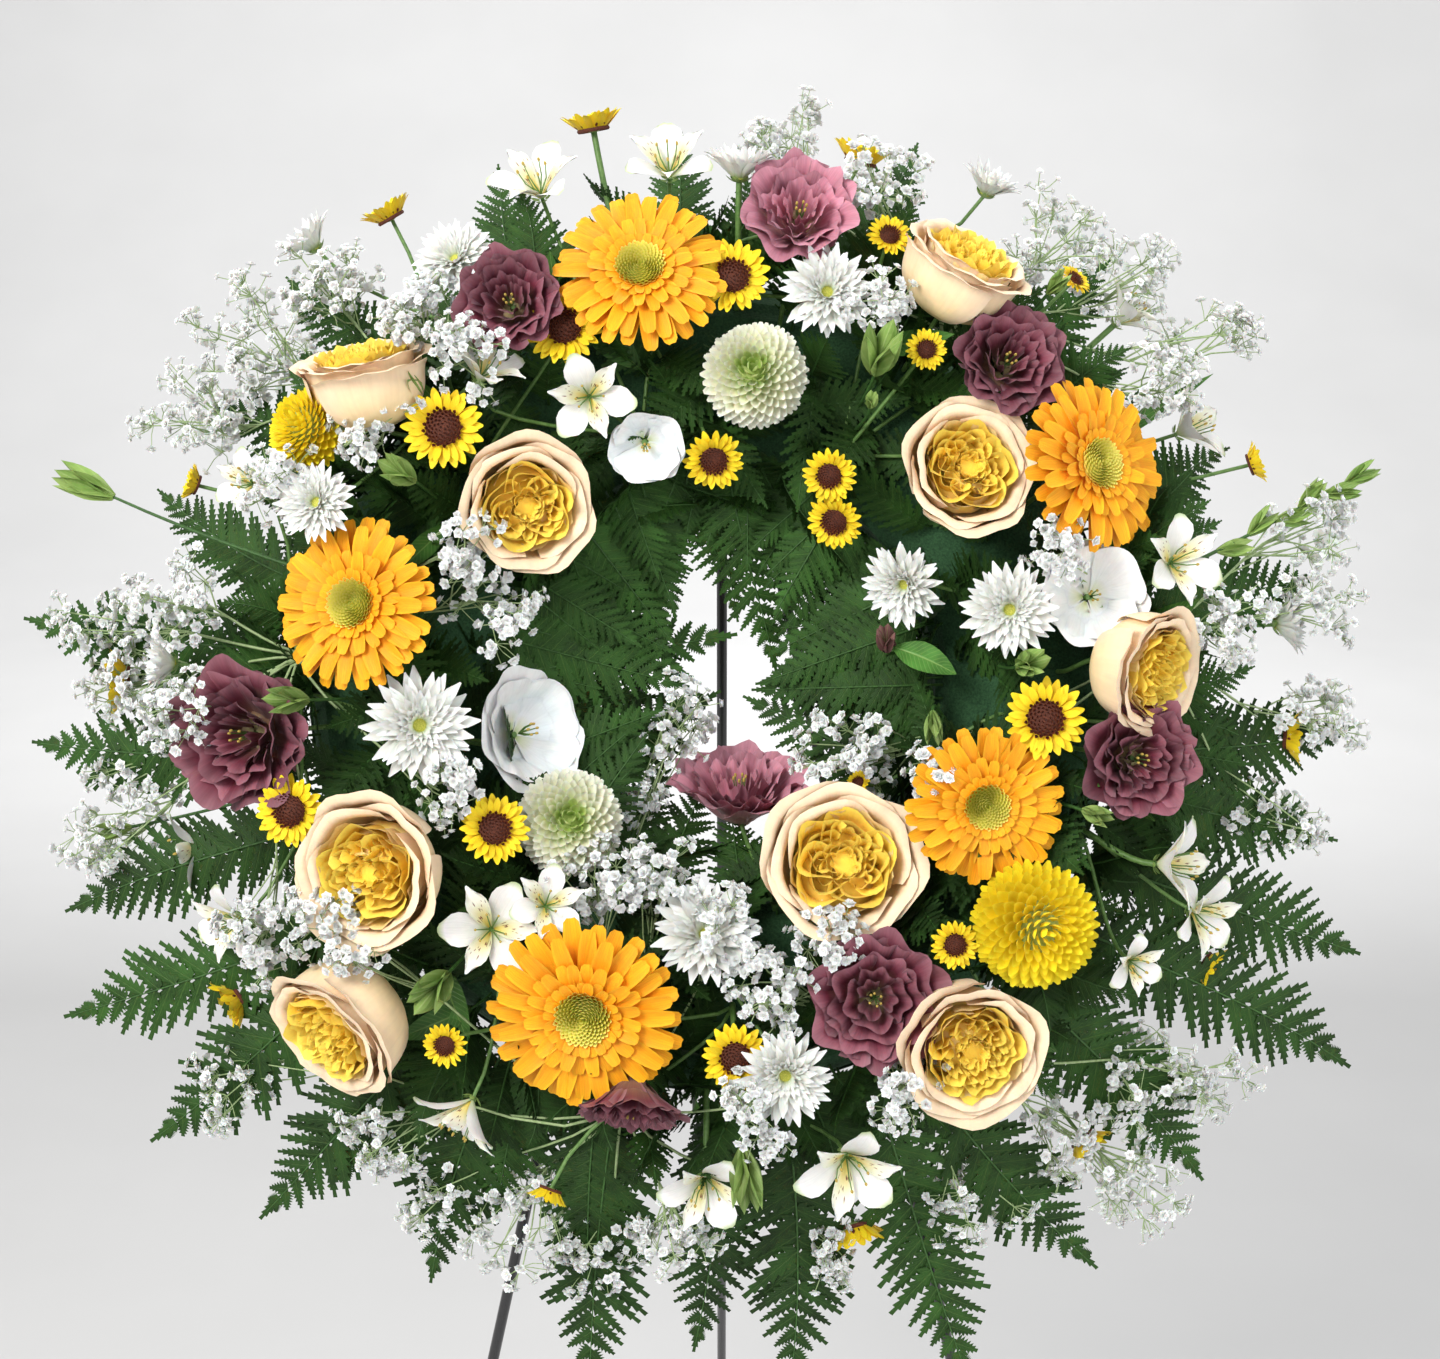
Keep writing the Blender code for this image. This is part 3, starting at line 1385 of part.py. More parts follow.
def main():
    clear_scene()
    parts = new_collection("funeral_wreath")
    helpers = new_collection("cutters")
    helpers.hide_render = True

    foam = make_foam(parts)
    tray = make_tray(parts)
    front = make_easel_front(parts)
    for thing in (foam, tray):
        remember_object(thing)
    remember_object(front, stand_frame())
    reserve_opening()

    holes = []
    lumps = grow_all(holes)
    plants = []
    for node, pieces in lumps.items():
        if not pieces:
            continue
        things = [object_of(node, lump, parts) for lump in pieces]
        plants.append(fused(node, things, "MANIFOLD", parts))

    bores = object_from("stem_holes", joined("stem_holes", holes), helpers)
    as_cutter(bores)
    add_cut(foam, bores, "stem holes")

    wreath = bpy.data.objects.new("wreath", None)
    stand = bpy.data.objects.new("stand", None)
    hinge = bpy.data.objects.new("rear_leg_hinge", None)
    for empty in (wreath, stand, hinge):
        parts.objects.link(empty)
    rise = Vector((0, math.sin(LEAN), math.cos(LEAN))) * RING_HEIGHT_ON_SLOPE
    for empty in (wreath, stand):
        empty.location = rise
        empty.rotation_euler.x = -LEAN
    stand.location.x += EASEL_RIGHT_OF_RING
    for thing in [foam, tray, bores, *plants]:
        thing.parent = wreath
    front.parent = stand

    leg = make_rear_leg(parts)
    pivot = Vector((0, LEG_PLANE + HINGE_BEHIND_LEGS, APEX_ABOVE_RING - CROWN_BELOW_APEX))
    bpy.context.view_layer.update()
    hinge.location = stand.matrix_world @ pivot
    hinge.rotation_euler.x = REAR_LEG_ANGLE
    leg.parent = hinge
    bore = drum("hinge_bore", (0, 0, 0), BORE_RADIUS, BARREL_LENGTH * 2, helpers, 12)
    bore.parent = hinge
    as_cutter(bore)
    add_cut(leg, bore, "bore")
    floor = block("floor_cutter", (0, 0.4, -0.3), (2, 2, 0.6), helpers)
    as_cutter(floor)
    for thing in (front, leg):
        add_cut(thing, floor, "cut at the floor")

    stand_on_origin([foam, tray, front, leg, *plants], [wreath, stand, hinge])
    for thing in [foam, tray, front, leg, *plants]:
        thing.data.materials.clear()
        thing.data.materials.append(material_for(thing.name))


def joined(name, lumps):
    """One mesh of lumps that don't touch."""
    points = []
    faces = []
    for lump in lumps:
        first = len(points)
        points += lump.points
        faces += [tuple(first + index for index in face) for face in lump.faces]
    return mesh_from(name, points, faces)


def stand_on_origin(things, empties):
    """Moves the empties so that the middle of the whole part's box is over the origin."""
    bpy.context.view_layer.update()
    graph = bpy.context.evaluated_depsgraph_get()
    corners = []
    for thing in things:
        evaluated = thing.evaluated_get(graph)
        corners += [thing.matrix_world @ vertex.co for vertex in evaluated.data.vertices]
    low, high = bounds_of(corners)
    for empty in empties:
        empty.location.x -= (low[0] + high[0]) / 2
        empty.location.y -= (low[1] + high[1]) / 2
    bpy.context.view_layer.update()


main()
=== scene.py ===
"""The look of the funeral wreath on its easel, as an add-on with one operator for each kind of piece."""

import json
import math
import random

import bmesh
import bpy
from mathutils import Matrix, Vector

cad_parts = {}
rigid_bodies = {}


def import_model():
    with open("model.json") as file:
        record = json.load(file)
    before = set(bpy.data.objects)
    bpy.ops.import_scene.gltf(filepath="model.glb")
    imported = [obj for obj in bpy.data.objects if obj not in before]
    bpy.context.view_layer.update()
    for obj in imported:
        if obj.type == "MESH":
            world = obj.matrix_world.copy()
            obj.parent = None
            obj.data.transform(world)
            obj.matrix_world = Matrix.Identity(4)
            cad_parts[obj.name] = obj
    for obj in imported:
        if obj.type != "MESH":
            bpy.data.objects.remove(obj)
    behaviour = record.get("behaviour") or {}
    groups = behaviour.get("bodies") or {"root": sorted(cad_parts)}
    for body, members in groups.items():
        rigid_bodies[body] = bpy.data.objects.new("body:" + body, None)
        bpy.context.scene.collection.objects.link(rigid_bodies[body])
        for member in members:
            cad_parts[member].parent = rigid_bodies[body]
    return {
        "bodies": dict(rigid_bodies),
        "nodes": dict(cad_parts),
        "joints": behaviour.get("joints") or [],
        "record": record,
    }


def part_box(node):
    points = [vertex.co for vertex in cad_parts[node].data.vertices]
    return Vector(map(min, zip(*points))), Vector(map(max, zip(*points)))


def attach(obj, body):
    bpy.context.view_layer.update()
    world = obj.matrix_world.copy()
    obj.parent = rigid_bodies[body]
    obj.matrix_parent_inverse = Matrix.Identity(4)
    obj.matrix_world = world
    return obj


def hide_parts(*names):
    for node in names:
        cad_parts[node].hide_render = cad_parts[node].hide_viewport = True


bl_info = {
    "name": "Funeral wreath",
    "version": (1, 0, 0),
    "blender": (4, 5, 0),
    "location": "View3D > Sidebar > Wreath",
    "description": "Flowers, fern, foam ring and easel of a funeral wreath",
    "category": "Add Mesh",
}

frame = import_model()

MM = 0.001
SEED = 11
BODY = "wreath"
GOLDEN = math.radians(137.508)

# The easel, as in the part
SPLAY = math.radians(12.3)
RING_HEIGHT_ON_SLOPE = 1.040
APEX_ABOVE_RING = 0.212
ROD_RADIUS = 3.5 * MM
LEG_PLANE = 3.8 * MM
LEG_TOP_HALF_SPACING = 6 * MM
CROSS_BAR_RADIUS = 2.5 * MM
CROSS_BAR_ON_SLOPE = 0.360
EASEL_RIGHT_OF_RING = 6 * MM
REAR_LEG_ANGLE = math.radians(18)
CROWN_SIZE = (30 * MM, 3 * MM, 36 * MM)
CROWN_BELOW_APEX = 10 * MM
EAR_SIZE = (3 * MM, 17 * MM, 13 * MM)
EAR_HALF_SPACING = 8.8 * MM
HINGE_BEHIND_LEGS = 15.4 * MM
PIN_RADIUS = 2 * MM
PIN_LENGTH = 24 * MM
BARREL_RADIUS = 5 * MM
BARREL_LENGTH = 13 * MM
HEEL_LENGTH = 11.3 * MM
HOOK_RADIUS = 2.5 * MM
HOOK_LENGTH = 34 * MM
HOOK_LIP = 7 * MM

# The wreath's own frame and the surface that its flowers lie on, as in the part
LEAN = math.radians(15)
RING_RADIUS = 0.192
FOAM_HALF_WIDTH = 57.7 * MM
FOAM_SHOULDER = 20 * MM
FOAM_DOME = 40 * MM
TRAY_MIDDLE = 10 * MM
TRAY_HALF_WIDTH = 60 * MM
TRAY_WALL = 2 * MM
TRAY_DEPTH = 20 * MM
SHELL_RADIUS = 0.215
SHELL_RADIAL = 0.125
SHELL_DEPTH = 0.095
SHELL_MIDDLE = 0.025
VIEW_DISTANCE = 1.60
FRONT_DEPTH = SHELL_MIDDLE + SHELL_DEPTH
PHOTO_WIDTH = 1440 * 0.588 * MM
PHOTO_CENTRE = (4.7 * MM, 5.0 * MM)

# Single blooms: x, z and radius in the photograph's plane in millimetres, and tilt and aim
ROSES = [
    (-204, 184, 40, 72, 100), (-110, 108, 39, 18, -45), (-198, -107, 45, 22, 200),
    (-219, -198, 44, 50, 225), (76, -104, 46, 12, 60), (151, -210, 43, 20, -60),
    (149, 128, 39, 14, 40), (148, 246, 39, 62, 62), (255, 12, 38, 48, -20),
]
GERBERAS = [
    (-42, 246, 52, 22, 95), (-210, 49, 52, 20, 165), (-75, -192, 59, 16, -110),
    (161, -69, 48, 10, -60), (225, 131, 53, 36, 10),
]
LISIANTHUS = [
    (-119, 228, 30), (52, 281, 33), (175, 193, 33), (-278, -28, 41), (16, -57, 40, 62, 90),
    (96, -183, 38), (252, -42, 34), (-48, -248, 30, 70, -95),
]
POMPOMS = [
    (25, 184, 33, 10, 120), (-84, -79, 34, 12, 60), (190, -139, 40, 18, -40),
    (-236, 152, 28, 45, 145),
]
YELLOW_SPRAYS = [
    [(-158, 153, 25), (-189, 276, 17, 78, 120), (-88, 215, 24), (-303, 119, 12)],
    [(-70, 328, 19, 80, 100), (12, 243, 23), (87, 309, 19, 76, 75), (1, 134, 19)],
    [(69, 125, 17), (72, 98, 18), (126, 199, 13), (105, 268, 14), (213, 240, 12), (316, 131, 13, 75, 20)],
    [(196, -18, 25), (337, -28, 18, 76, -5), (86, -56, 9)],
    [(148, -151, 15), (289, -163, 17), (218, -265, 17, 74, -50), (83, -316, 20, 82, -75)],
    [(14, -218, 21), (-95, -295, 13, 80, -110), (-157, -210, 14)],
    [(-344, 2, 22, 78, 178), (-248, -72, 22), (-279, -182, 20), (-128, -83, 22)],
]
WHITE_SPRAYS = [
    [(-151, 252, 27), (-233, 258, 22, 72, 130), (-230, 108, 26)],
    [(19, 299, 24, 76, 88), (68, 234, 30), (160, 290, 21, 70, 62)],
    [(113, 61, 28), (175, 46, 31), (331, 37, 22, 76, 5)],
    [(-172, -22, 36), (-316, 14, 21, 70, 175)],
    [(-4, -145, 34), (43, -228, 31)],
]
ALSTROEMERIA_SPRAYS = [
    [(-104, 299, 28), (-26, 310, 27), (-72, 171, 26), (-133, 190, 24, 55, 60)],
    [(246, 222, 26), (284, 155, 27), (275, 75, 26)],
    [(275, -104, 29, 66, 0), (287, -133, 25), (249, -163, 18)],
    [(-310, -95, 28), (-286, -139, 24), (-275, 122, 19)],
    [(-130, -142, 29), (-98, -128, 22), (-148, -254, 29, 74, -120)],
    [(-4, -295, 27), (81, -283, 31)],
]
WHITE_LISIANTHUS = {
    "white_daisies_4": (-101, -28, 35),
    "white_daisies_3": (227, 55, 31),
    "alstroemeria_1": (-39, 142, 22),
}
BUDS = [
    (99, 190, 38, 25, 80), (-176, 178, 22, 30, 140), (-243, -7, 26, 35, 180),
    (-161, -175, 34, 25, -130), (181, 14, 26, 20, 20), (199, 237, 16, 50, 50),
    (21, -280, 32, 60, -85), (92, 166, 13, 20, 90), (-180, 122, 26, 30, 150),
    (105, 24, 20, 30, 100), (222, -76, 18, 40, -20), (-348, -83, 18, 80, 190),
    (-66, 4, 17, 40, 0), (131, -22, 18, 60, -90),
]
OUTER_FERN = [
    (-128, -332, 42), (-100, -350, 36), (-205, -318, 40),
    (-398, 40, 34), (-392, -31, 36), (-330, 120, 32), (-318, 180, 30), (-268, 262, 28),
    (-380, -120, 38), (-375, -192, 40), (-325, -263, 42), (-262, -308, 40), (-165, -345, 42),
    (-72, -408, 44), (-10, -385, 38), (45, -410, 44), (149, -402, 44), (215, -340, 42),
    (285, -285, 42), (360, -233, 40), (374, -154, 38), (363, -89, 36), (380, -20, 34),
    (357, 60, 34), (331, 160, 32), (262, 272, 28), (130, 345, 26), (-20, 352, 26), (-140, 330, 26),
]
INNER_FERN = [
    (36, 18, 26), (-18, 8, 26), (24, -8, 26), (-34, 62, 24), (-34, -16, 30),
    (42, 12, 28), (66, 52, 26), (-66, 34, 26), (-44, -36, 28), (52, -38, 26), (-20, 92, 24),
]
# Fronds over the open middle: the ring angle that they stand at, the tip's x and z, and half the width
HANGING_FERN = [
    (95, 36, 16, 28), (118, -30, 34, 30), (70, 50, 60, 28), (175, 6, 30, 30), (205, -2, -6, 32),
    (-100, -18, -84, 28), (-75, 24, -92, 28), (-125, -44, -78, 26), (-52, 62, -70, 26),
    (20, 30, 34, 26), (-12, 44, 2, 28), (-150, -26, -6, 30), (140, -22, 70, 26), (84, 14, 44, 26),
    (-108, -26, -44, 30), (-94, -4, -54, 28), (-135, -52, -30, 28), (-84, 10, -66, 24),
]
LONG_LEAVES = [(300, 188, 6)]
# Stalks with closed buds: ring angle, the tip's x and z, a bud's length, and the buds' places on it
SPIKES = [(12, 372, 120, 24, (0.62, 0.72, 0.80, 0.87, 0.94, 1.0)), (164, -352, 112, 40, (1.0,))]
CLOUDS = [
    [(-268, 200, 42), (-170, 218, 26)],
    [(40, 322, 24), (202, 262, 34), (288, 198, 26)],
    [(344, 92, 28), (346, -22, 28)],
    [(245, -292, 30), (148, -290, 36)],
    [(-112, -306, 40), (-24, -318, 22)],
    [(-330, 8, 34), (-338, -50, 26), (-134, 50, 26)],
]
# More clouds of baby's breath, between the flowers, for each stem
MORE_CLOUDS = [
    [(-300, 160, 34), (-226, 232, 30), (-196, 150, 20), (-250, 118, 22), (-142, 196, 18)],
    [(100, 296, 22), (240, 236, 26), (96, 228, 18), (262, 176, 20)],
    [(87, -36, 30), (350, 48, 24), (300, 40, 22), (330, -78, 26), (205, 86, 16), (140, -52, 16)],
    [(246, -225, 32), (200, -262, 24), (40, -172, 26), (112, -232, 20), (290, -232, 24), (66, -148, 18)],
    [
        (-25, -25, 24), (-63, -118, 26), (5, -145, 22), (-190, -262, 26), (-150, -300, 24), (-62, -330, 22),
        (30, -250, 24), (-30, -120, 24), (-280, -230, 24), (-210, -150, 18), (-52, -66, 18), (70, -330, 20),
    ],
    [
        (-350, 40, 28), (-300, -20, 26), (-352, -90, 26), (-144, 84, 18), (-310, 52, 26),
        (-232, -130, 24), (-160, -60, 18), (-270, -150, 22),
    ],
]

CLOUD_SPREAD = 1.12
# How much the greenery of the ring's lower half is darkened: painted shade, for the shade that falls on the
# lower part of the ring
PAINTED_SHADE_BELOW = 0.5
# A low bloom in the open middle that no drawn frond covers, and the room that it gets
LOW_BLOOM = Vector((16 * MM, 0, -62 * MM))
LOW_BLOOM_ROOM = 62 * MM
SECTORS = 6
OPENING_CENTRE = (3 * MM, 31 * MM)
OPENING_HALF = (27 * MM, 50 * MM)
PALE_LISIANTHUS = (1, 4)
YELLOW_POMPOMS = (2, 3)
PURPLE_BUD = (105, 24)
SIDE_STEPS = 6
# How far in front of the ring's back the tips of fern, of fern over the middle and of long stalks stand
FERN_DEPTH = 30 * MM
HANGING_DEPTH = 9 * MM
STALK_DEPTH = 40 * MM
# Tips above this height of the photograph's plane are pulled in by this share
TOP_FERN_FROM = 150
TOP_FERN_SHARE = 0.92

# How far a head was lifted along its facing, or shifted aside, to clear its neighbours
LIFTS = {
    ("lisianthus_6", 0): (8, 0, 0), ("lisianthus_7", 0): (8, 0, 0), ("lisianthus_8", 0): (12, 0, 0),
    ("pompom_4", 0): (0, 5, 5), ("white_daisies_1", 2): (8, 0, 0), ("white_daisies_2", 0): (0, 5, 1),
    ("white_daisies_2", 1): (-4, 0, 0), ("white_daisies_3", 0): (-12, 0, 0),
    ("white_daisies_4", 0): (-8, 5, 1), ("alstroemeria_3", 1): (4, 0, 0),
    ("alstroemeria_5", 0): (-4, 0, 0), ("alstroemeria_5", 1): (8, 0, 0),
    ("yellow_daisies_1", 2): (-12, 0, 0), ("yellow_daisies_2", 1): (-4, 0, 0),
    ("yellow_daisies_3", 3): (-4, 0, 0), ("yellow_daisies_5", 0): (0, 5, 0),
    ("yellow_daisies_6", 0): (-4, 0, 0),
}


def wreath_matrix():
    """The wreath's leaning frame in the row's frame, from the tray's box."""
    low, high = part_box("foam_tray")
    middle = (Vector(low) + Vector(high)) / 2
    turn = Matrix.Rotation(-LEAN, 4, "X")
    return Matrix.Translation(middle + turn @ Vector((0, TRAY_MIDDLE, 0))) @ turn


def radial(angle):
    return Vector((math.cos(angle), 0, math.sin(angle)))


def on_foam(angle, phi, above=0.0):
    """A point on or above the foam's dome and the way out of it; phi is 0 outside and 180 inside."""
    out = radial(angle) * math.cos(phi)
    place = radial(angle) * (RING_RADIUS + FOAM_HALF_WIDTH * math.cos(phi))
    place += Vector((0, -FOAM_SHOULDER - FOAM_DOME * math.sin(phi), 0))
    normal = out / FOAM_HALF_WIDTH - Vector((0, math.sin(phi) / FOAM_DOME, 0))
    normal.normalize()
    return place + normal * above, normal


def seen_at(x, z):
    """The place on the shell that shows at x, z of the photograph's plane, with angle and phi."""
    flat = Vector((x * MM, 0, z * MM))
    angle = math.atan2(flat.z, flat.x)
    spread = 1.0
    for _ in range(4):
        reach = flat.length * spread
        phi = math.acos(max(-1, min(1, (reach - SHELL_RADIUS) / SHELL_RADIAL)))
        depth = SHELL_MIDDLE + SHELL_DEPTH * math.sin(phi)
        spread = (VIEW_DISTANCE + FRONT_DEPTH - depth) / VIEW_DISTANCE
    return flat * spread - Vector((0, depth, 0)), angle, phi


def at_depth(x, z, depth):
    """The place at a depth in front of the ring's back that shows at x, z of the photograph's plane."""
    spread = (VIEW_DISTANCE + FRONT_DEPTH - depth) / VIEW_DISTANCE
    return Vector((x * MM * spread, -depth, z * MM * spread))


def facing_of(angle, phi, tilt=None, aim=None):
    """The way a head faces: out of the shell, or by its own tilt and aim."""
    if tilt is None:
        out = Vector((math.cos(phi) / SHELL_RADIAL, math.sin(phi) / SHELL_DEPTH))
        lean = 0.8 * math.atan2(out.x, out.y)
        return (radial(angle) * math.sin(lean) - Vector((0, math.cos(lean), 0))).normalized()
    lean = math.radians(tilt)
    return radial(math.radians(aim)) * math.sin(lean) - Vector((0, math.cos(lean), 0))


def head_frame(place, facing, roll):
    """A frame at a head: z along the way it faces, turned by roll about it."""
    side = facing.cross(Vector((0, 0, 1)))
    if side.length < 0.2:
        side = facing.cross(Vector((1, 0, 0)))
    side.normalize()
    up = facing.cross(side)
    axes = Matrix((side, up, facing)).transposed().to_4x4()
    return Matrix.Translation(place) @ axes @ Matrix.Rotation(roll, 4, "Z")


def turned(angle):
    return Matrix.Rotation(angle, 4, "Z")


def tipped(angle):
    return Matrix.Rotation(angle, 4, "Y")


def moved(x, y, z):
    return Matrix.Translation((x, y, z))


def sized(x, y, z):
    return Matrix.Diagonal((x, y, z, 1))


def axes_of(along, across):
    """A turn that takes x to along and y to across."""
    return Matrix((along, across, along.cross(across))).transposed().to_4x4()


def bezier(path, t):
    a, b, c, d = path
    s = 1 - t
    return a * s**3 + b * (3 * s * s * t) + c * (3 * s * t * t) + d * t**3


def direction_at(path, t):
    return (bezier(path, min(1, t + 0.03)) - bezier(path, max(0, t - 0.03))).normalized()


def sector_of(place):
    return int(math.atan2(place.z, place.x) % math.tau / (math.tau / SECTORS))


# Materials

SUBSURFACE_DEPTH = 4 * MM
GRAIN_ROUGHNESS = 0.55
PETAL_ROUGHNESS = 0.55
PETAL_SPECULAR = 0.3
LEAF_SPECULAR = 0.25
BLACK = (0, 0, 0)
WHITE = (1, 1, 1)


class Nodes:
    """A material's node tree under construction."""

    def __init__(self, name, roughness=0.6, subsurface=0.0, sheen=0.0, coat=0.0):
        self.material = bpy.data.materials.new(name)
        self.material.use_nodes = True
        self.tree = self.material.node_tree
        self.shader = self.tree.nodes["Principled BSDF"]
        self.shader.inputs["Roughness"].default_value = roughness
        self.shader.inputs["Subsurface Weight"].default_value = subsurface
        self.shader.inputs["Subsurface Scale"].default_value = SUBSURFACE_DEPTH
        self.shader.inputs["Sheen Weight"].default_value = sheen
        self.shader.inputs["Coat Weight"].default_value = coat

    def add(self, kind, **values):
        node = self.tree.nodes.new("ShaderNode" + kind)
        for key, value in values.items():
            setattr(node, key, value)
        return node

    def link(self, source, target):
        self.tree.links.new(source, target)

    def uv(self):
        """Sockets for u across, from 0 to 1, and v along, from 0 to 1, a part."""
        split = self.add("SeparateXYZ")
        self.link(self.add("UVMap", uv_map="part").outputs["UV"], split.inputs[0])
        return split.outputs["X"], split.outputs["Y"]

    def attribute(self, name):
        return self.add("Attribute", attribute_name=name).outputs["Fac"]

    def math(self, operation, *values, clamp=False):
        node = self.add("Math", operation=operation, use_clamp=clamp)
        for socket, value in zip(node.inputs, values):
            if isinstance(value, (int, float)):
                socket.default_value = value
            else:
                self.link(value, socket)
        return node.outputs[0]

    def ramp(self, value, stops):
        node = self.add("ValToRGB")
        elements = node.color_ramp.elements
        while len(elements) < len(stops):
            elements.new(0.5)
        for element, (place, colour) in zip(elements, stops):
            element.position = place
            element.color = (*colour, 1)
        self.link(value, node.inputs[0])
        return node.outputs[0]

    def mix(self, factor, a, b, blend="MIX"):
        node = self.add("Mix", data_type="RGBA", blend_type=blend)
        for socket, value in zip((node.inputs[0], node.inputs[6], node.inputs[7]), (factor, a, b)):
            if isinstance(value, tuple):
                socket.default_value = (*value, 1)
            elif isinstance(value, (int, float)):
                socket.default_value = value
            else:
                self.link(value, socket)
        return node.outputs[2]

    def noise(self, scale, detail=3.0, stretch=None):
        """Noise over the object, or over the part's own u and v stretched by two factors."""
        node = self.add("TexNoise")
        node.inputs["Scale"].default_value = scale
        node.inputs["Detail"].default_value = detail
        node.inputs["Roughness"].default_value = GRAIN_ROUGHNESS
        if stretch:
            mapping = self.add("Mapping")
            mapping.inputs["Scale"].default_value = (*stretch, 1)
            self.link(self.add("UVMap", uv_map="part").outputs["UV"], mapping.inputs[0])
            self.link(mapping.outputs[0], node.inputs["Vector"])
        else:
            self.link(self.add("TexCoord").outputs["Object"], node.inputs["Vector"])
        return node.outputs[0]

    def shaded(self, colour, amount):
        """The colour made lighter or darker by the part's own shade, from -1 to 1."""
        node = self.add("HueSaturation")
        self.link(self.math("MULTIPLY_ADD", self.attribute("shade"), amount, 1.0), node.inputs["Value"])
        self.link(colour, node.inputs["Color"])
        return node.outputs[0]

    def finish(self, colour, height=None, strength=0.3, distance=0.0004):
        self.link(colour, self.shader.inputs["Base Color"])
        if height is not None:
            bump = self.add("Bump")
            bump.inputs["Strength"].default_value = strength
            bump.inputs["Distance"].default_value = distance
            self.link(height, bump.inputs["Height"])
            self.link(bump.outputs[0], self.shader.inputs["Normal"])
        return self.material


def petal_material(name, along, edge=None, edge_from=0.6, veins=0.12, spots=None, sheen=0.06, tone=0.18):
    """A petal: a colour ramp from root to tip, a tinted edge, fine veins along it and soft blotches."""
    made = Nodes(name, roughness=PETAL_ROUGHNESS, subsurface=0.18, sheen=sheen)
    made.shader.inputs["Specular IOR Level"].default_value = PETAL_SPECULAR
    u, v = made.uv()
    colour = made.ramp(v, along)
    side = made.math("ABSOLUTE", made.math("MULTIPLY_ADD", u, 2.0, -1.0))
    if edge:
        share = made.math("SUBTRACT", side, edge_from)
        share = made.math("MULTIPLY", share, 1 / (1 - edge_from), clamp=True)
        colour = made.mix(share, colour, edge)
    veins_noise = made.noise(1.0, 4.0, (26, 1.6))
    contrast = made.ramp(veins_noise, [(0.3, (1 - veins,) * 3), (0.7, (1 + veins * 0.3,) * 3)])
    colour = made.mix(1.0, colour, contrast, "MULTIPLY")
    blotch = made.ramp(made.noise(90, 2.0), [(0.3, (0.94, 0.94, 0.94)), (0.7, (1.04, 1.04, 1.04))])
    colour = made.mix(1.0, colour, blotch, "MULTIPLY")
    if spots:
        colour = spots(made, v, side, colour)
    return made.finish(made.shaded(colour, tone), veins_noise, 0.45, 0.0006)


def leaf_material(name, deep, light, vein, roughness=0.42, vein_count=14.0):
    """A leaf: a paler midrib, side veins, and patches of deeper green."""
    made = Nodes(name, roughness=roughness, subsurface=0.05)
    made.shader.inputs["Specular IOR Level"].default_value = LEAF_SPECULAR
    u, v = made.uv()
    side = made.math("ABSOLUTE", made.math("MULTIPLY_ADD", u, 2.0, -1.0))
    patches = made.noise(60, 4.0)
    colour = made.ramp(patches, [(0.3, deep), (0.72, light)])
    slant = made.math("SUBTRACT", made.math("MULTIPLY", v, vein_count), made.math("MULTIPLY", side, 2.5))
    wave = made.math("SINE", made.math("MULTIPLY", slant, math.tau))
    ridge = made.math("POWER", made.math("MULTIPLY_ADD", wave, 0.5, 0.5), 6.0)
    rib = made.math("SUBTRACT", 1.0, made.math("MULTIPLY", side, 9.0), clamp=True)
    both = made.math("MAXIMUM", made.math("MULTIPLY", ridge, 0.35), rib)
    colour = made.mix(both, colour, vein)
    height = made.math("SUBTRACT", made.math("MULTIPLY", patches, 0.5), both)
    return made.finish(made.shaded(colour, 0.45), height, 0.5, 0.0006)


def plain_material(name, deep, light, scale, roughness, bump=0.3, distance=0.0004, tone=0.2):
    """Two tones in a fine grain, with a bump of the same grain."""
    made = Nodes(name, roughness=roughness)
    grain = made.noise(scale, 5.0)
    colour = made.ramp(grain, [(0.32, deep), (0.7, light)])
    return made.finish(made.shaded(colour, tone), grain, bump, distance)


def alstroemeria_marks(made, v, side, colour):
    """A yellow throat with short dark flecks along an inner petal."""
    near = made.ramp(v, [(0.0, WHITE), (0.62, BLACK)])
    inner = made.ramp(side, [(0.35, WHITE), (0.85, BLACK)])
    colour = made.mix(made.math("MULTIPLY", near, inner), colour, (0.86, 0.62, 0.08))
    flecks = made.ramp(made.noise(1.0, 1.0, (14, 5)), [(0.63, BLACK), (0.66, WHITE)])
    zone = made.ramp(v, [(0.16, BLACK), (0.24, WHITE), (0.62, WHITE), (0.72, BLACK)])
    return made.mix(made.math("MULTIPLY", flecks, zone), colour, (0.16, 0.03, 0.02))


def blend(a, b, share):
    return tuple(x + (y - x) * share for x, y in zip(a, b))


def scaled(colour, *shares):
    return tuple(min(1, x * share) for x, share in zip(colour, shares))


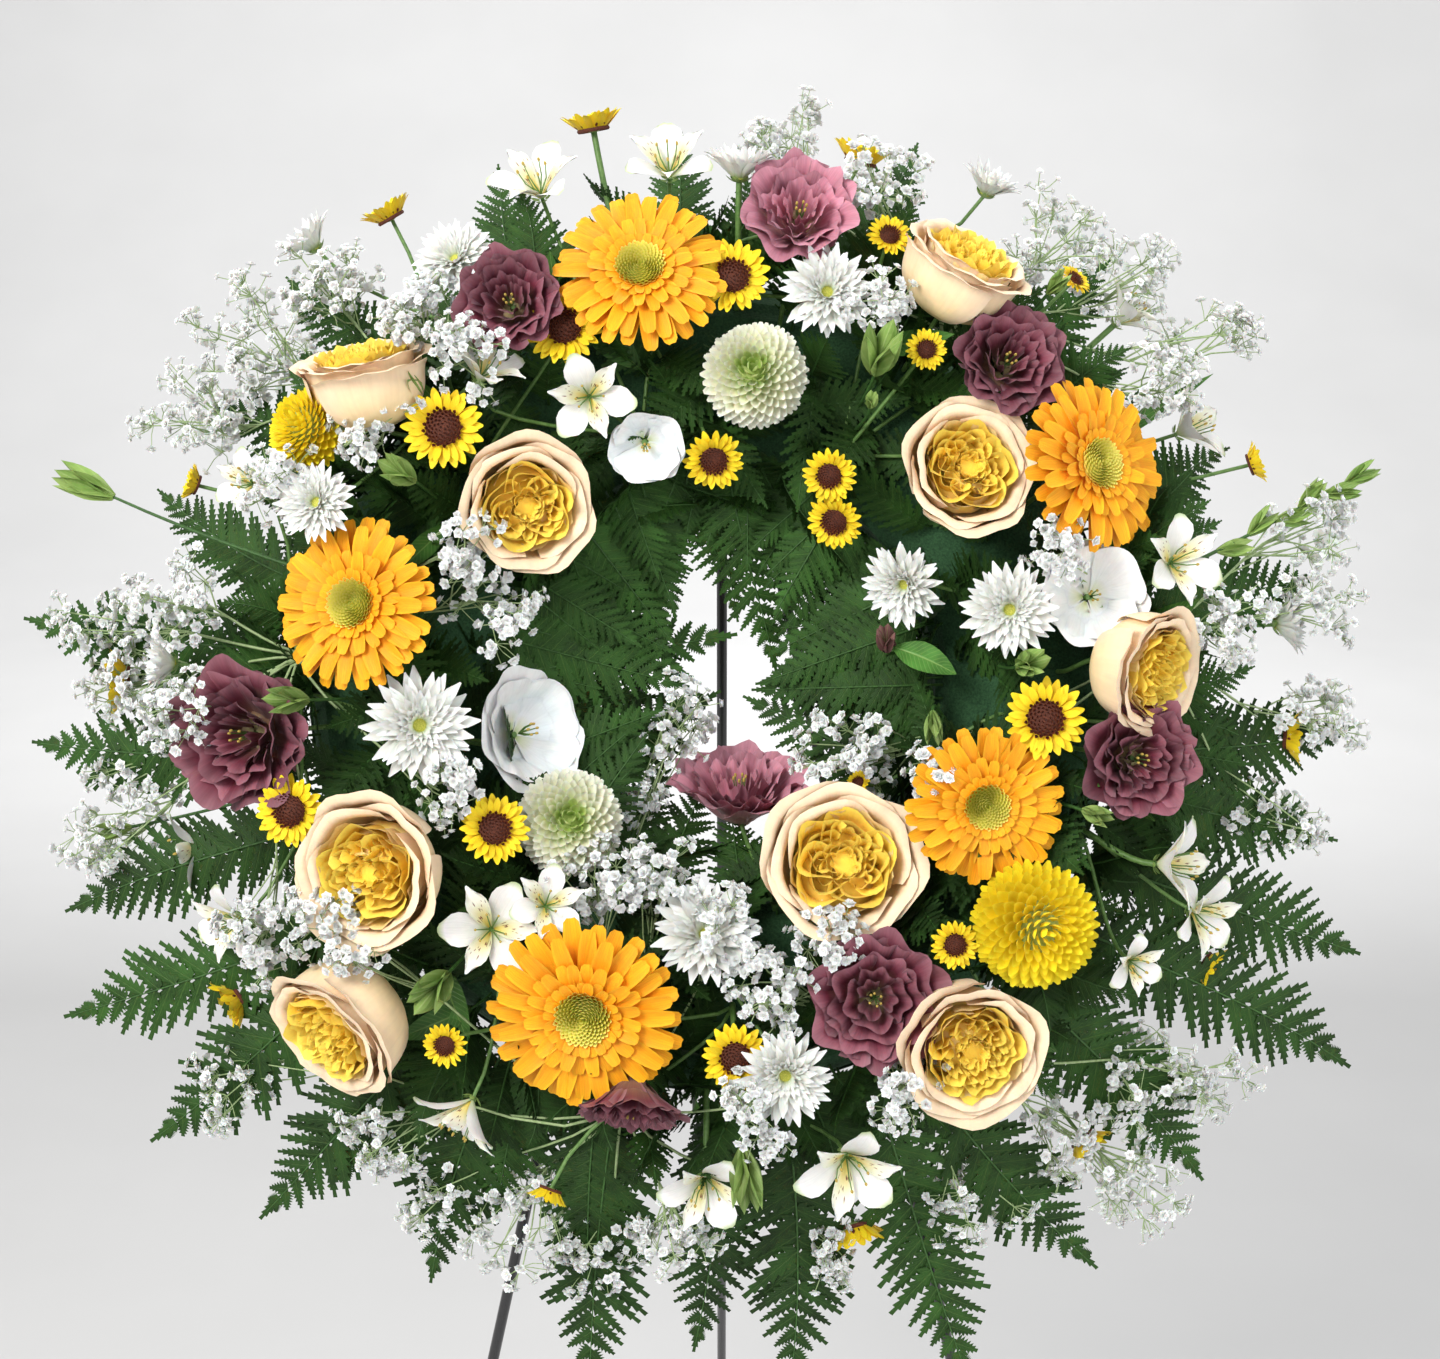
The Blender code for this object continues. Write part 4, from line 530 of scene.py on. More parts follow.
def make_materials(colours):
    """Every material of the plants, by name, from the colours that the panel gives."""
    shades = {}

    def petals(name, *along, **more):
        shades[name] = petal_material(name, along, **more)

    def leaves(name, *more):
        shades[name] = leaf_material(name, *more)

    def plain(name, *more, **others):
        shades[name] = plain_material(name, *more, **others)

    rim, heart = tuple(colours.rose_rim), tuple(colours.rose_heart)
    deep = scaled(heart, 0.98, 0.74, 0.3)
    petals(
        "rose_outer", (0.0, blend(heart, rim, 0.4)), (0.3, blend(heart, rim, 0.75)),
        (0.7, blend(heart, rim, 0.95)), (1.0, rim), edge=rim, veins=0.06, tone=0.07,
    )
    petals(
        "rose_middle", (0.0, blend(deep, heart, 0.5)), (0.6, blend(heart, rim, 0.15)),
        (1.0, blend(heart, rim, 0.6)), edge=blend(heart, rim, 0.65), veins=0.07, tone=0.09,
    )
    petals(
        "rose_inner", (0.0, deep), (0.5, blend(deep, heart, 0.6)), (1.0, heart),
        edge=heart, edge_from=0.9, veins=0.08, tone=0.12,
    )
    orange = tuple(colours.gerbera)
    petals(
        "gerbera", (0.0, scaled(orange, 0.91, 0.55, 0.3)), (0.4, scaled(orange, 0.97, 0.8, 0.5)),
        (1.0, orange),
        edge=scaled(orange, 1, 1.12, 1.6), veins=0.2, tone=0.12,
    )
    petals(
        "gerbera_disc", (0.0, (0.60, 0.62, 0.05)), (0.6, (0.92, 0.84, 0.12)), (1.0, (0.98, 0.86, 0.22)),
        veins=0.1, tone=0.2,
    )
    plain("gerbera_heart", (0.30, 0.36, 0.03), (0.50, 0.50, 0.05), 900, 0.7, tone=0.1)
    throat = (0.50, 0.46, 0.20)
    for key, colour in (("mauve", tuple(colours.lisianthus)), ("mauve_pale", tuple(colours.pale_lisianthus))):
        light = blend(colour, (1, 0.8, 0.85), 0.16)
        petals(
            key, (0.0, throat), (0.16, blend(throat, colour, 0.7)), (0.7, colour),
            (1.0, blend(colour, light, 0.6)), edge=light, edge_from=0.8, veins=0.22, tone=0.28,
        )
    white = tuple(colours.white)
    petals(
        "white_ruffle", (0.0, (0.50, 0.60, 0.24)), (0.1, (0.72, 0.74, 0.56)),
        (0.28, blend(white, (0.8, 0.8, 0.84), 0.5)), (1.0, white), edge=white, veins=0.06, tone=0.06,
    )
    petals(
        "pompom_white", (0.0, (0.46, 0.60, 0.16)), (0.5, (0.80, 0.82, 0.56)), (1.0, (0.90, 0.89, 0.80)),
        veins=0.06, tone=0.10,
    )
    petals("pompom_green", (0.0, (0.30, 0.46, 0.06)), (1.0, (0.66, 0.74, 0.30)), veins=0.08, tone=0.15)
    yellow = tuple(colours.yellow)
    petals(
        "pompom_yellow", (0.0, (0.97, 0.68, 0.008)), (0.4, (0.98, 0.76, 0.014)),
        (1.0, blend(yellow, (1, 0.86, 0.03), 0.8)), veins=0.06, tone=0.10,
    )
    petals(
        "yellow_ray", (0.0, (0.78, 0.34, 0.003)), (0.10, (0.95, 0.60, 0.006)),
        (1.0, blend(yellow, (1, 0.8, 0.02), 0.5)), veins=0.14, tone=0.12,
    )
    ray = ((0.0, (0.62, 0.68, 0.24)), (0.3, (0.84, 0.85, 0.74)), (1.0, white))
    petals("white_ray", *ray, veins=0.08, tone=0.07)
    petals(
        "alstroemeria_inner", (0.0, (0.74, 0.74, 0.40)), (1.0, (0.91, 0.90, 0.87)),
        veins=0.06, spots=alstroemeria_marks, tone=0.06,
    )
    petals(
        "alstroemeria_outer", (0.0, (0.60, 0.68, 0.34)), (0.35, (0.89, 0.88, 0.85)),
        (0.88, (0.91, 0.89, 0.88)), (1.0, (0.48, 0.58, 0.28)), veins=0.08, tone=0.06,
    )
    petals(
        "floret", (0.0, (0.80, 0.84, 0.66)), (0.3, (0.93, 0.93, 0.91)), (1.0, (0.95, 0.95, 0.95)),
        veins=0.05, tone=0.08,
    )
    petals(
        "dark_floret", (0.0, (0.035, 0.006, 0.003)), (0.7, (0.13, 0.022, 0.008)), (1.0, (0.34, 0.12, 0.012)),
        veins=0.1, sheen=0, tone=0.4,
    )
    leaf, fern = tuple(colours.leaf), tuple(colours.fern)
    leaves("leaf", blend(leaf, BLACK, 0.55), leaf, blend(leaf, (1, 1, 0.4), 0.08))
    leaves("fern", blend(fern, BLACK, 0.62), fern, blend(fern, (1, 1, 0.4), 0.03), 0.62, 6.0)
    leaves("bud_green", (0.16, 0.30, 0.06), (0.34, 0.46, 0.14), (0.40, 0.52, 0.20), 0.45, 3.0)
    leaves("bud_purple", (0.16, 0.07, 0.07), (0.30, 0.14, 0.14), (0.22, 0.22, 0.10), 0.5, 3.0)
    plain("rib", blend(fern, BLACK, 0.4), blend(fern, leaf, 0.4), 420, 0.6)
    plain("stem", (0.07, 0.17, 0.03), (0.15, 0.27, 0.07), 420, 0.5)
    plain("thread", (0.24, 0.36, 0.14), (0.40, 0.50, 0.26), 500, 0.55)
    plain("dark_disc", (0.030, 0.006, 0.004), (0.16, 0.035, 0.010), 1300, 0.8, 0.8, 0.0008, 0.5)
    plain("green_disc", (0.40, 0.44, 0.04), (0.74, 0.70, 0.14), 1500, 0.7, 0.8, 0.0008, 0.4)
    plain("core", (0.20, 0.30, 0.05), (0.44, 0.52, 0.16), 300, 0.7)
    plain("pollen", (0.30, 0.20, 0.04), (0.60, 0.46, 0.10), 1500, 0.8)
    return shades


# Parts: single petals, leaves and florets, which the pieces repeat


def sheet_mesh(name, rows, material):
    """A smooth sheet through rows of points, with u across and v along as its UV map."""
    count = len(rows[0])
    points = [point for row in rows for point in row]
    faces = []
    for j in range(len(rows) - 1):
        for i in range(count - 1):
            a = j * count + i
            faces.append((a, a + count, a + count + 1, a + 1))
    uvs = [(i / (count - 1), j / (len(rows) - 1)) for j in range(len(rows)) for i in range(count)]
    return part_mesh(name, points, faces, uvs, material)


def part_mesh(name, points, faces, uvs, material):
    mesh = bpy.data.meshes.new(name)
    mesh.from_pydata([tuple(point) for point in points], [], faces)
    layer = mesh.uv_layers.new(name="part")
    for loop in mesh.loops:
        layer.data[loop.index].uv = uvs[loop.vertex_index]
    mesh.materials.append(material)
    mesh.shade_smooth()
    mesh.update()
    return mesh


def spine_of(bend, curl, curl_from, steps=48):
    """A petal's middle line of length 1 in x and z, with its slope, as a function of the way along."""
    line = [(0.0, 0.0, 0.0)]
    x = z = 0.0
    for k in range(steps):
        t = (k + 0.5) / steps
        slope = bend * t - curl * max(0.0, (t - curl_from) / (1 - curl_from)) ** 1.5
        x += math.cos(slope) / steps
        z += math.sin(slope) / steps
        line.append((x, z, slope))

    def at(t):
        place = max(0.0, min(1.0, t)) * steps
        k = min(steps - 1, int(place))
        share = place - k
        return [a + (b - a) * share for a, b in zip(line[k], line[k + 1])]

    return at


def petal(
    name, material, half, rows=7, cols=5, bend=0.3, curl=0.0, curl_from=0.6, wrap=0.0, belly=0.62,
    root=0.3, taper=0.2, rounding=0.25, ruffle=0.0, waves=3.0, channel=0.0, notch=0.0, phase=0.0,
):
    """A petal of length 1 along x, with half its width, wrapped, bent, curled and ruffled."""
    at = spine_of(bend, curl, curl_from)
    grid = []
    for j in range(rows):
        v = j / (rows - 1)
        wide = half * (root + (1 - root) * math.sin(min(1.0, v / belly) * math.pi / 2))
        if v > belly:
            wide *= 1 - taper * ((v - belly) / (1 - belly)) ** 2
        row = []
        for i in range(cols):
            u = 2 * i / (cols - 1) - 1
            back = rounding * abs(u) ** 2.3 * v**3 + notch * max(0.0, 1 - abs(u) * 3) * v**6
            x, z, slope = at(v - back)
            if wrap:
                across = wide * math.sin(u * wrap) / wrap
                high = wide * (1 - math.cos(u * wrap)) / wrap
            else:
                across = wide * u
                high = 0.0
            high += channel * wide * abs(u) + ruffle * math.sin(waves * math.pi * u + phase) * v * v
            row.append((x - math.sin(slope) * high, across, z + math.cos(slope) * high))
        grid.append(row)
    return sheet_mesh(name, grid, material)


def cup_petal(
    name, material, half_angle, profile, rows=10, cols=13, ruffle=0.0, waves=3.0, phase=0.0, rounding=0.2,
):
    """A petal that wraps a head of radius 1 about z; profile holds four (radius, height) from root to rim."""
    path = [Vector((radius, 0, height)) for radius, height in profile]
    grid = []
    for j in range(rows):
        v = j / (rows - 1)
        spread = half_angle * (0.72 + 0.28 * math.sin(min(1.0, v * 1.5) * math.pi / 2))
        row = []
        for i in range(cols):
            u = 2 * i / (cols - 1) - 1
            spot = bezier(path, v * (1 - rounding * abs(u) ** 3))
            wave = ruffle * v * v
            reach = spot.x + wave * math.sin(waves * math.pi * u + phase)
            turn = u * spread
            high = spot.z + 0.6 * wave * math.cos(waves * 1.7 * math.pi * u + phase)
            row.append((reach * math.cos(turn), reach * math.sin(turn), high))
        grid.append(row)
    return sheet_mesh(name, grid, material)


def pinna(name, material, lobes, half, droop):
    """One leaflet of a fern frond, cut along both edges into pointed lobes."""
    points = []
    uvs = []
    faces = []
    count = lobes * 2 + 1
    for j in range(count):
        v = j / (count - 1)
        wide = half * (1 - v) ** 0.62 * (1.0 if j % 2 else 0.52)
        lead = (1.1 / count) if j % 2 else 0.0
        sag = -droop * v * v
        points += [(v + lead, -wide, sag - 0.2 * wide), (v, 0, sag), (v + lead, wide, sag - 0.2 * wide)]
        uvs += [(0, v), (0.5, v), (1, v)]
        if j:
            a = (j - 1) * 3
            faces += [(a, a + 3, a + 4, a + 1), (a + 1, a + 4, a + 5, a + 2)]
    return part_mesh(name, points, faces, uvs, material)


def dome(name, material, flat, rings=6, sides=14):
    """A round cushion of radius 1 about z, as high as flat."""
    points = [(0, 0, flat)]
    uvs = [(0.5, 0)]
    faces = []
    for j in range(1, rings + 1):
        lean = j / rings * math.pi * 0.62
        for i in range(sides):
            turn = math.tau * i / sides
            out = math.sin(lean)
            points.append((out * math.cos(turn), out * math.sin(turn), flat * math.cos(lean)))
            uvs.append((i / sides, j / rings))
    for i in range(sides):
        faces.append((0, 1 + i, 1 + (i + 1) % sides))
        for j in range(rings - 1):
            a = 1 + j * sides
            after = (i + 1) % sides
            faces.append((a + i, a + sides + i, a + sides + after, a + after))
    return part_mesh(name, points, faces, uvs, material)


# A floret's petal: its root, left side, middle, right side and tip
FLORET_PETAL = ((0, 0, 0), (0.66, -0.42, 0.12), (0.62, 0, 0), (0.66, 0.42, 0.12), (1, 0, 0.06))


def floret_mesh(name, material, rng):
    """A double floret of baby's breath: small cupped petals in three layers round a point."""
    points = []
    uvs = []
    faces = []
    for layer, (count, lean, reach) in enumerate(((6, 6, 1.0), (6, 36, 0.92), (4, 66, 0.75))):
        for k in range(count):
            turn = math.tau * (k + 0.4 * layer) / count + rng.uniform(-0.2, 0.2)
            rise = math.radians(lean + rng.uniform(-10, 10))
            place = Matrix.Rotation(turn, 4, "Z") @ Matrix.Rotation(-rise, 4, "Y")
            first = len(points)
            long = reach * rng.uniform(0.85, 1.05)
            points += [place @ Vector((x * long, y, z)) for x, y, z in FLORET_PETAL]
            uvs += [(0.5, 0), (0, 0.6), (0.5, 0.6), (1, 0.6), (0.5, 1)]
            faces += [(first, first + 1, first + 2), (first, first + 2, first + 3)]
            faces += [(first + 1, first + 4, first + 2), (first + 2, first + 4, first + 3)]
    return part_mesh(name, points, faces, uvs, material)


class Store:
    """The parts by name, kept in one collection outside the scene."""

    def __init__(self):
        self.collection = bpy.data.collections.new("wreath_parts")
        self.index = {}
        self.shades = {}

    def add(self, key, mesh):
        number = len(self.index)
        thing = bpy.data.objects.new(f"{number:03d}_{key}", mesh)
        self.collection.objects.link(thing)
        self.index[key] = number

    def clear(self):
        for thing in list(self.collection.objects):
            bpy.data.objects.remove(thing)
        bpy.data.collections.remove(self.collection)


STORE = Store()

# Half outlines of cupped petals for a head of radius 1: four (radius, height) from root to rim
ROSE_CUP = ((0.10, -0.88), (1.24, -0.76), (0.68, 0.22), (1.14, 0.10))
ROSE_HEART = ((0.20, -0.70), (1.05, -0.50), (0.90, 0.16), (1.06, 0.32))
ROSE_FOLD = ((0.80, -0.50), (0.95, -0.1), (0.85, 0.36), (1.22, 0.50))
OPEN_CUP = ((0.06, -0.52), (0.55, -0.50), (0.72, 0.05), (1.08, 0.16))


# The shapes that petal() gives to single petals, rays and leaves
GERBERA_RAY = dict(
    half=0.15, rows=7, cols=5, curl=0.25, curl_from=0.5, wrap=0.5, belly=0.6, root=0.42, taper=0.25,
    rounding=0.06, notch=0.02,
)
YELLOW_RAY = dict(
    half=0.17, rows=6, cols=4, bend=0.1, curl_from=0.5, wrap=0.5, belly=0.62, root=0.45, taper=0.45,
    rounding=0.10, notch=0.02,
)
WHITE_RAY = dict(half=0.14, rows=6, cols=4, curl_from=0.5, wrap=0.6, root=0.45, taper=0.6, rounding=0.10)
SHORT_PETAL = dict(
    half=0.26, rows=5, cols=4, bend=0.9, wrap=0.9, belly=0.6, root=0.5, taper=0.45, rounding=0.14,
)
OUTER_PETAL = dict(
    half=0.30, rows=8, cols=6, bend=-0.5, curl=0.3, wrap=0.55, belly=0.72, root=0.16, taper=0.45,
    rounding=0.10, ruffle=0.015, waves=2,
)
INNER_PETAL = dict(
    half=0.20, rows=8, cols=6, bend=-0.35, curl=0.5, wrap=0.7, belly=0.7, root=0.2, taper=0.7,
    rounding=0.14, ruffle=0.01, waves=2,
)
DISC_FLORET = dict(half=0.4, rows=3, cols=3, bend=0.8, wrap=0.9, belly=0.6, root=0.6, taper=0.6, rounding=0.1)
SEPAL = dict(half=0.28, rows=5, cols=3, bend=0.9, wrap=0.6, belly=0.45, root=0.6, taper=0.9, rounding=0.05)
BUD_PETAL = dict(half=0.30, rows=8, bend=0.45, wrap=1.0, belly=0.45, root=0.35, taper=0.95, rounding=0.02)
LEAF = dict(rows=9, curl_from=0.5, belly=0.42, root=0.18, taper=0.98, rounding=0.0, waves=2)
LONG_LEAF = dict(half=0.055, rows=11, bend=-0.25, belly=0.4, root=0.4, taper=0.98, rounding=0.0, channel=0.3)


def fill_store():
    """Makes every part that the pieces repeat."""
    rng = random.Random(SEED)
    shade = STORE.shades = make_materials(bpy.context.scene.wreath_colours)

    def cup(key, number, paint, half_angle, profile, rows, cols, ruffle, waves, rounding):
        name = f"{key}_{number}"
        phase = 1.9 * number
        STORE.add(name, cup_petal(
            name, shade[paint], half_angle, profile, rows, cols, ruffle, waves, phase, rounding))

    def single_petal(name, paint, shape, **more):
        STORE.add(name, petal(name, shade[paint], **shape, **more))

    for k in range(3):
        cup("rose_outer", k, "rose_outer", 1.05, ROSE_CUP, 12, 15, 0.032, 2.0 + 0.4 * k, 0.16)
        cup("rose_middle", k, "rose_middle", 0.95, ROSE_HEART, 9, 13, 0.05, 2.6 + 0.5 * k, 0.12)
        cup("rose_fold", k, "rose_inner", 2.15, ROSE_FOLD, 6, 19, 0.15, 1.9 + 0.5 * k, 0.06)
        for key, ruffle in (("mauve", 0.10), ("mauve_pale", 0.10), ("white_ruffle", 0.04)):
            cup(key, k, key, 0.86, OPEN_CUP, 10, 17, ruffle, 1.7 + 0.45 * k, 0.14)
    for k in range(2):
        single_petal(f"gerbera_{k}", "gerbera", GERBERA_RAY, bend=0.1 - 0.25 * k)
        single_petal(f"yellow_ray_{k}", "yellow_ray", YELLOW_RAY, curl=0.4 * k)
        single_petal(f"white_ray_{k}", "white_ray", WHITE_RAY, bend=0.35 - 0.4 * k, curl=0.5 * k)
    for key in ("pompom_white", "pompom_green", "pompom_yellow"):
        single_petal(key, key, SHORT_PETAL)
    single_petal("alstroemeria_outer", "alstroemeria_outer", OUTER_PETAL)
    single_petal("alstroemeria_inner", "alstroemeria_inner", INNER_PETAL)
    single_petal("gerbera_floret", "gerbera_disc", DISC_FLORET)
    single_petal("dark_floret", "dark_floret", DISC_FLORET)
    single_petal("sepal", "bud_green", SEPAL)
    single_petal("bud_green", "bud_green", BUD_PETAL)
    single_petal("bud_purple", "bud_purple", BUD_PETAL)
    single_petal("leaf_0", "leaf", LEAF, half=0.17, bend=-0.5, ruffle=0.02, channel=0.22)
    single_petal("leaf_1", "leaf", LEAF, half=0.13, bend=0.5, curl=0.6, ruffle=0.03, channel=0.16)
    single_petal("long_leaf", "leaf", LONG_LEAF)
    leaflets = (("pinna_0", 8, 0.21, 0.12), ("pinna_1", 7, 0.23, 0.03), ("pinna_small", 5, 0.25, 0.08))
    for key, *shape in leaflets:
        STORE.add(key, pinna(key, shade["fern"], *shape))
    for k in range(3):
        STORE.add(f"floret_{k}", floret_mesh(f"floret_{k}", shade["floret"], rng))
    for key, paint, flat in (
        ("dark_disc", "dark_disc", 0.5), ("green_disc", "green_disc", 0.45),
        ("rose_heart", "rose_middle", 1.0),
        ("gerbera_heart", "gerbera_heart", 0.9), ("core", "core", 0.9),
    ):
        STORE.add(key, dome(key, shade[paint], flat))
    STORE.add("pollen", dome("pollen", shade["pollen"], 1.0, 3, 6))


# Growing a piece: instances on points and tubes along lines, made with Geometry Nodes


def grow_group():
    """The node group: the picked parts on the points, joined with tubes along the stalks' lines."""
    name = "Wreath growth"
    if name in bpy.data.node_groups:
        return bpy.data.node_groups[name]
    group = bpy.data.node_groups.new(name, "GeometryNodeTree")
    face = group.interface
    face.new_socket("Geometry", in_out="INPUT", socket_type="NodeSocketGeometry")
    face.new_socket("Parts", in_out="INPUT", socket_type="NodeSocketCollection")
    face.new_socket("Stalks", in_out="INPUT", socket_type="NodeSocketObject")
    face.new_socket("Stalk sides", in_out="INPUT", socket_type="NodeSocketInt")
    face.new_socket("Stalk material", in_out="INPUT", socket_type="NodeSocketMaterial")
    face.new_socket("Geometry", in_out="OUTPUT", socket_type="NodeSocketGeometry")

    def add(kind, **values):
        node = group.nodes.new(kind)
        for key, value in values.items():
            setattr(node, key, value)
        return node

    def named(attribute, kind):
        node = add("GeometryNodeInputNamedAttribute", data_type=kind)
        node.inputs["Name"].default_value = attribute
        return node.outputs["Attribute"]

    link = group.links.new
    given = add("NodeGroupInput")
    parts = add("GeometryNodeCollectionInfo", transform_space="ORIGINAL")
    parts.inputs["Separate Children"].default_value = True
    parts.inputs["Reset Children"].default_value = True
    link(given.outputs["Parts"], parts.inputs["Collection"])
    turn = add("FunctionNodeEulerToRotation")
    link(named("turn", "FLOAT_VECTOR"), turn.inputs[0])
    place = add("GeometryNodeInstanceOnPoints")
    place.inputs["Pick Instance"].default_value = True
    link(given.outputs["Geometry"], place.inputs["Points"])
    link(parts.outputs[0], place.inputs["Instance"])
    link(named("pick", "INT"), place.inputs["Instance Index"])
    link(turn.outputs[0], place.inputs["Rotation"])
    link(named("size", "FLOAT_VECTOR"), place.inputs["Scale"])
    real = add("GeometryNodeRealizeInstances")
    link(place.outputs[0], real.inputs[0])

    stalks = add("GeometryNodeObjectInfo", transform_space="ORIGINAL")
    link(given.outputs["Stalks"], stalks.inputs["Object"])
    lines = add("GeometryNodeMeshToCurve")
    link(stalks.outputs["Geometry"], lines.inputs[0])
    circle = add("GeometryNodeCurvePrimitiveCircle", mode="RADIUS")
    circle.inputs["Radius"].default_value = 1.0
    link(given.outputs["Stalk sides"], circle.inputs["Resolution"])
    tube = add("GeometryNodeCurveToMesh")
    tube.inputs["Fill Caps"].default_value = True
    link(lines.outputs[0], tube.inputs["Curve"])
    link(named("thick", "FLOAT"), tube.inputs["Scale"])
    link(circle.outputs[0], tube.inputs["Profile Curve"])
    paint = add("GeometryNodeSetMaterial")
    link(tube.outputs[0], paint.inputs["Geometry"])
    link(given.outputs["Stalk material"], paint.inputs["Material"])
    smooth = add("GeometryNodeSetShadeSmooth")
    link(paint.outputs[0], smooth.inputs["Geometry"])
    join = add("GeometryNodeJoinGeometry")
    link(smooth.outputs[0], join.inputs[0])
    link(real.outputs[0], join.inputs[0])
    link(join.outputs[0], add("NodeGroupOutput").inputs[0])
    return group


def set_attribute(mesh, name, kind, values):
    layer = mesh.attributes.new(name, kind, "POINT")
    if kind == "FLOAT_VECTOR":
        layer.data.foreach_set("vector", [x for value in values for x in value])
    else:
        layer.data.foreach_set("value", values)


class Bunch:
    """What one piece grows from: parts at places, and stalks along lines."""

    def __init__(self):
        self.rows = []
        self.points = []
        self.radii = []
        self.edges = []

    def add(self, key, matrix, shade=0.0):
        place, turn, size = matrix.decompose()
        self.rows.append((place, turn.to_euler("XYZ"), size, STORE.index[key], shade))

    # Lowers every part's shade by amount; used to paint shade onto the lower half of the greenery
    def darken(self, amount):
        self.rows = [(*row[:4], row[4] - amount) for row in self.rows]

    def stalk(self, points, radii):
        first = len(self.points)
        self.points += points
        self.radii += radii if isinstance(radii, list) else [radii] * len(points)
        self.edges += [(first + k, first + k + 1) for k in range(len(points) - 1)]

    def grow(self, name, replaced, stalk_material="stem", sides=8):
        spots = bpy.data.meshes.new("spots")
        spots.from_pydata([tuple(row[0]) for row in self.rows], [], [])
        set_attribute(spots, "turn", "FLOAT_VECTOR", [row[1] for row in self.rows])
        set_attribute(spots, "size", "FLOAT_VECTOR", [row[2] for row in self.rows])
        set_attribute(spots, "pick", "INT", [row[3] for row in self.rows])
        set_attribute(spots, "shade", "FLOAT", [row[4] for row in self.rows])
        lines = bpy.data.meshes.new("lines")
        lines.from_pydata([tuple(point) for point in self.points], self.edges, [])
        set_attribute(lines, "thick", "FLOAT", self.radii)
        stalks = bpy.data.objects.new("stalks", lines)
        start = bpy.data.objects.new("start", spots)
        for thing in (stalks, start):
            bpy.context.scene.collection.objects.link(thing)
        growth = start.modifiers.new("growth", "NODES")
        group = grow_group()
        growth.node_group = group
        given = {item.name: item.identifier for item in group.interface.items_tree if item.in_out == "INPUT"}
        growth[given["Parts"]] = STORE.collection
        growth[given["Stalks"]] = stalks
        growth[given["Stalk sides"]] = sides
        growth[given["Stalk material"]] = STORE.shades[stalk_material]
        bpy.context.view_layer.update()
        evaluated = start.evaluated_get(bpy.context.evaluated_depsgraph_get())
        mesh = bpy.data.meshes.new_from_object(evaluated)
        mesh.name = name
        bpy.data.objects.remove(start)
        bpy.data.objects.remove(stalks)
        mesh.transform(wreath_matrix())
        piece = bpy.data.objects.new(name, mesh)
        bpy.context.scene.collection.objects.link(piece)
        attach(piece, BODY)
        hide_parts(replaced)


def petal_place(frame, turn, out, high, rise, length, width=1.0, roll=0.0):
    """Where a petal goes in a head: turned about it, its root out and up, its tip raised by rise."""
    place = frame @ turned(turn) @ moved(out, 0, high)
    place = place @ tipped(-rise) @ Matrix.Rotation(roll, 4, "X")
    return place @ sized(length, length * width, length)


# Flowers


def rose(bunch, frame, radius, rng):
    """A full rose: lobes of folded petals in the heart, inside a spiral of broad cupped ones."""
    heart = sized(0.62 * radius, 0.62 * radius, 0.42 * radius)
    bunch.add("rose_heart", frame @ moved(0, 0, -0.24 * radius) @ heart, 0.9)
    for lobe in range(5):
        angle = math.tau * lobe / 5 + rng.uniform(-0.25, 0.25)
        for size in (0.30, 0.20, 0.10):
            place = frame @ turned(angle) @ moved(0.31 * radius, 0, 0.02 * radius)
            place = place @ turned(rng.uniform(-0.3, 0.3)) @ tipped(rng.uniform(-0.1, 0.1))
            place = place @ sized(size * radius, 1.15 * size * radius, rng.uniform(0.60, 0.74) * radius)
            bunch.add(f"rose_fold_{rng.randint(0, 2)}", place, rng.uniform(-1, 0.6))
    for k in range(9):
        size = radius * (0.17 - 0.008 * k)
        out = radius * (0.06 + 0.012 * k)
        place = frame @ turned(k * GOLDEN) @ moved(out, 0, 0.03 * radius)
        place = place @ tipped(rng.uniform(-0.2, 0.2)) @ sized(size, size, 0.6 * radius)
        bunch.add(f"rose_fold_{k % 3}", place, rng.uniform(-1, 0.6))
    for k in range(5):
        size = radius * (0.60 + 0.02 * k)
        place = frame @ turned(k * GOLDEN) @ sized(size, size, radius * (0.98 - 0.02 * k))
        bunch.add(f"rose_middle_{k % 3}", place, rng.uniform(-1, 1))
    for k in range(9):
        t = k / 8
        size = radius * (0.74 + 0.28 * t)
        lean = tipped(math.radians(-3 - 5 * t + rng.uniform(-3, 3)))
        place = frame @ turned(2 + k * GOLDEN) @ lean @ moved(0, 0, 0.20 * radius * (1 - t))
        place = place @ sized(size, size, radius * (1.02 - 0.08 * t))
        bunch.add(f"rose_outer_{(k * 2) % 3}", place, rng.uniform(-1, 1))
    add_calyx(bunch, frame, radius, -0.8)


def add_calyx(bunch, frame, radius, high, count=5, length=0.5):
    for k in range(count):
        turn = math.tau * k / count
        bunch.add("sepal", petal_place(frame, turn, 0.06 * radius, high * radius, 0.15, length * radius))


# Layers of a gerbera's rays: how many, length, rise in degrees, height, root and turn
GERBERA_LAYERS = (
    (26, 0.82, 1, -0.02, 0.20, 0.0), (24, 0.74, 8, 0.01, 0.20, 0.5), (24, 0.44, 17, 0.04, 0.19, 0.2),
    (26, 0.24, 28, 0.06, 0.19, 0.7),
)
GERBERA_FLORETS = 170


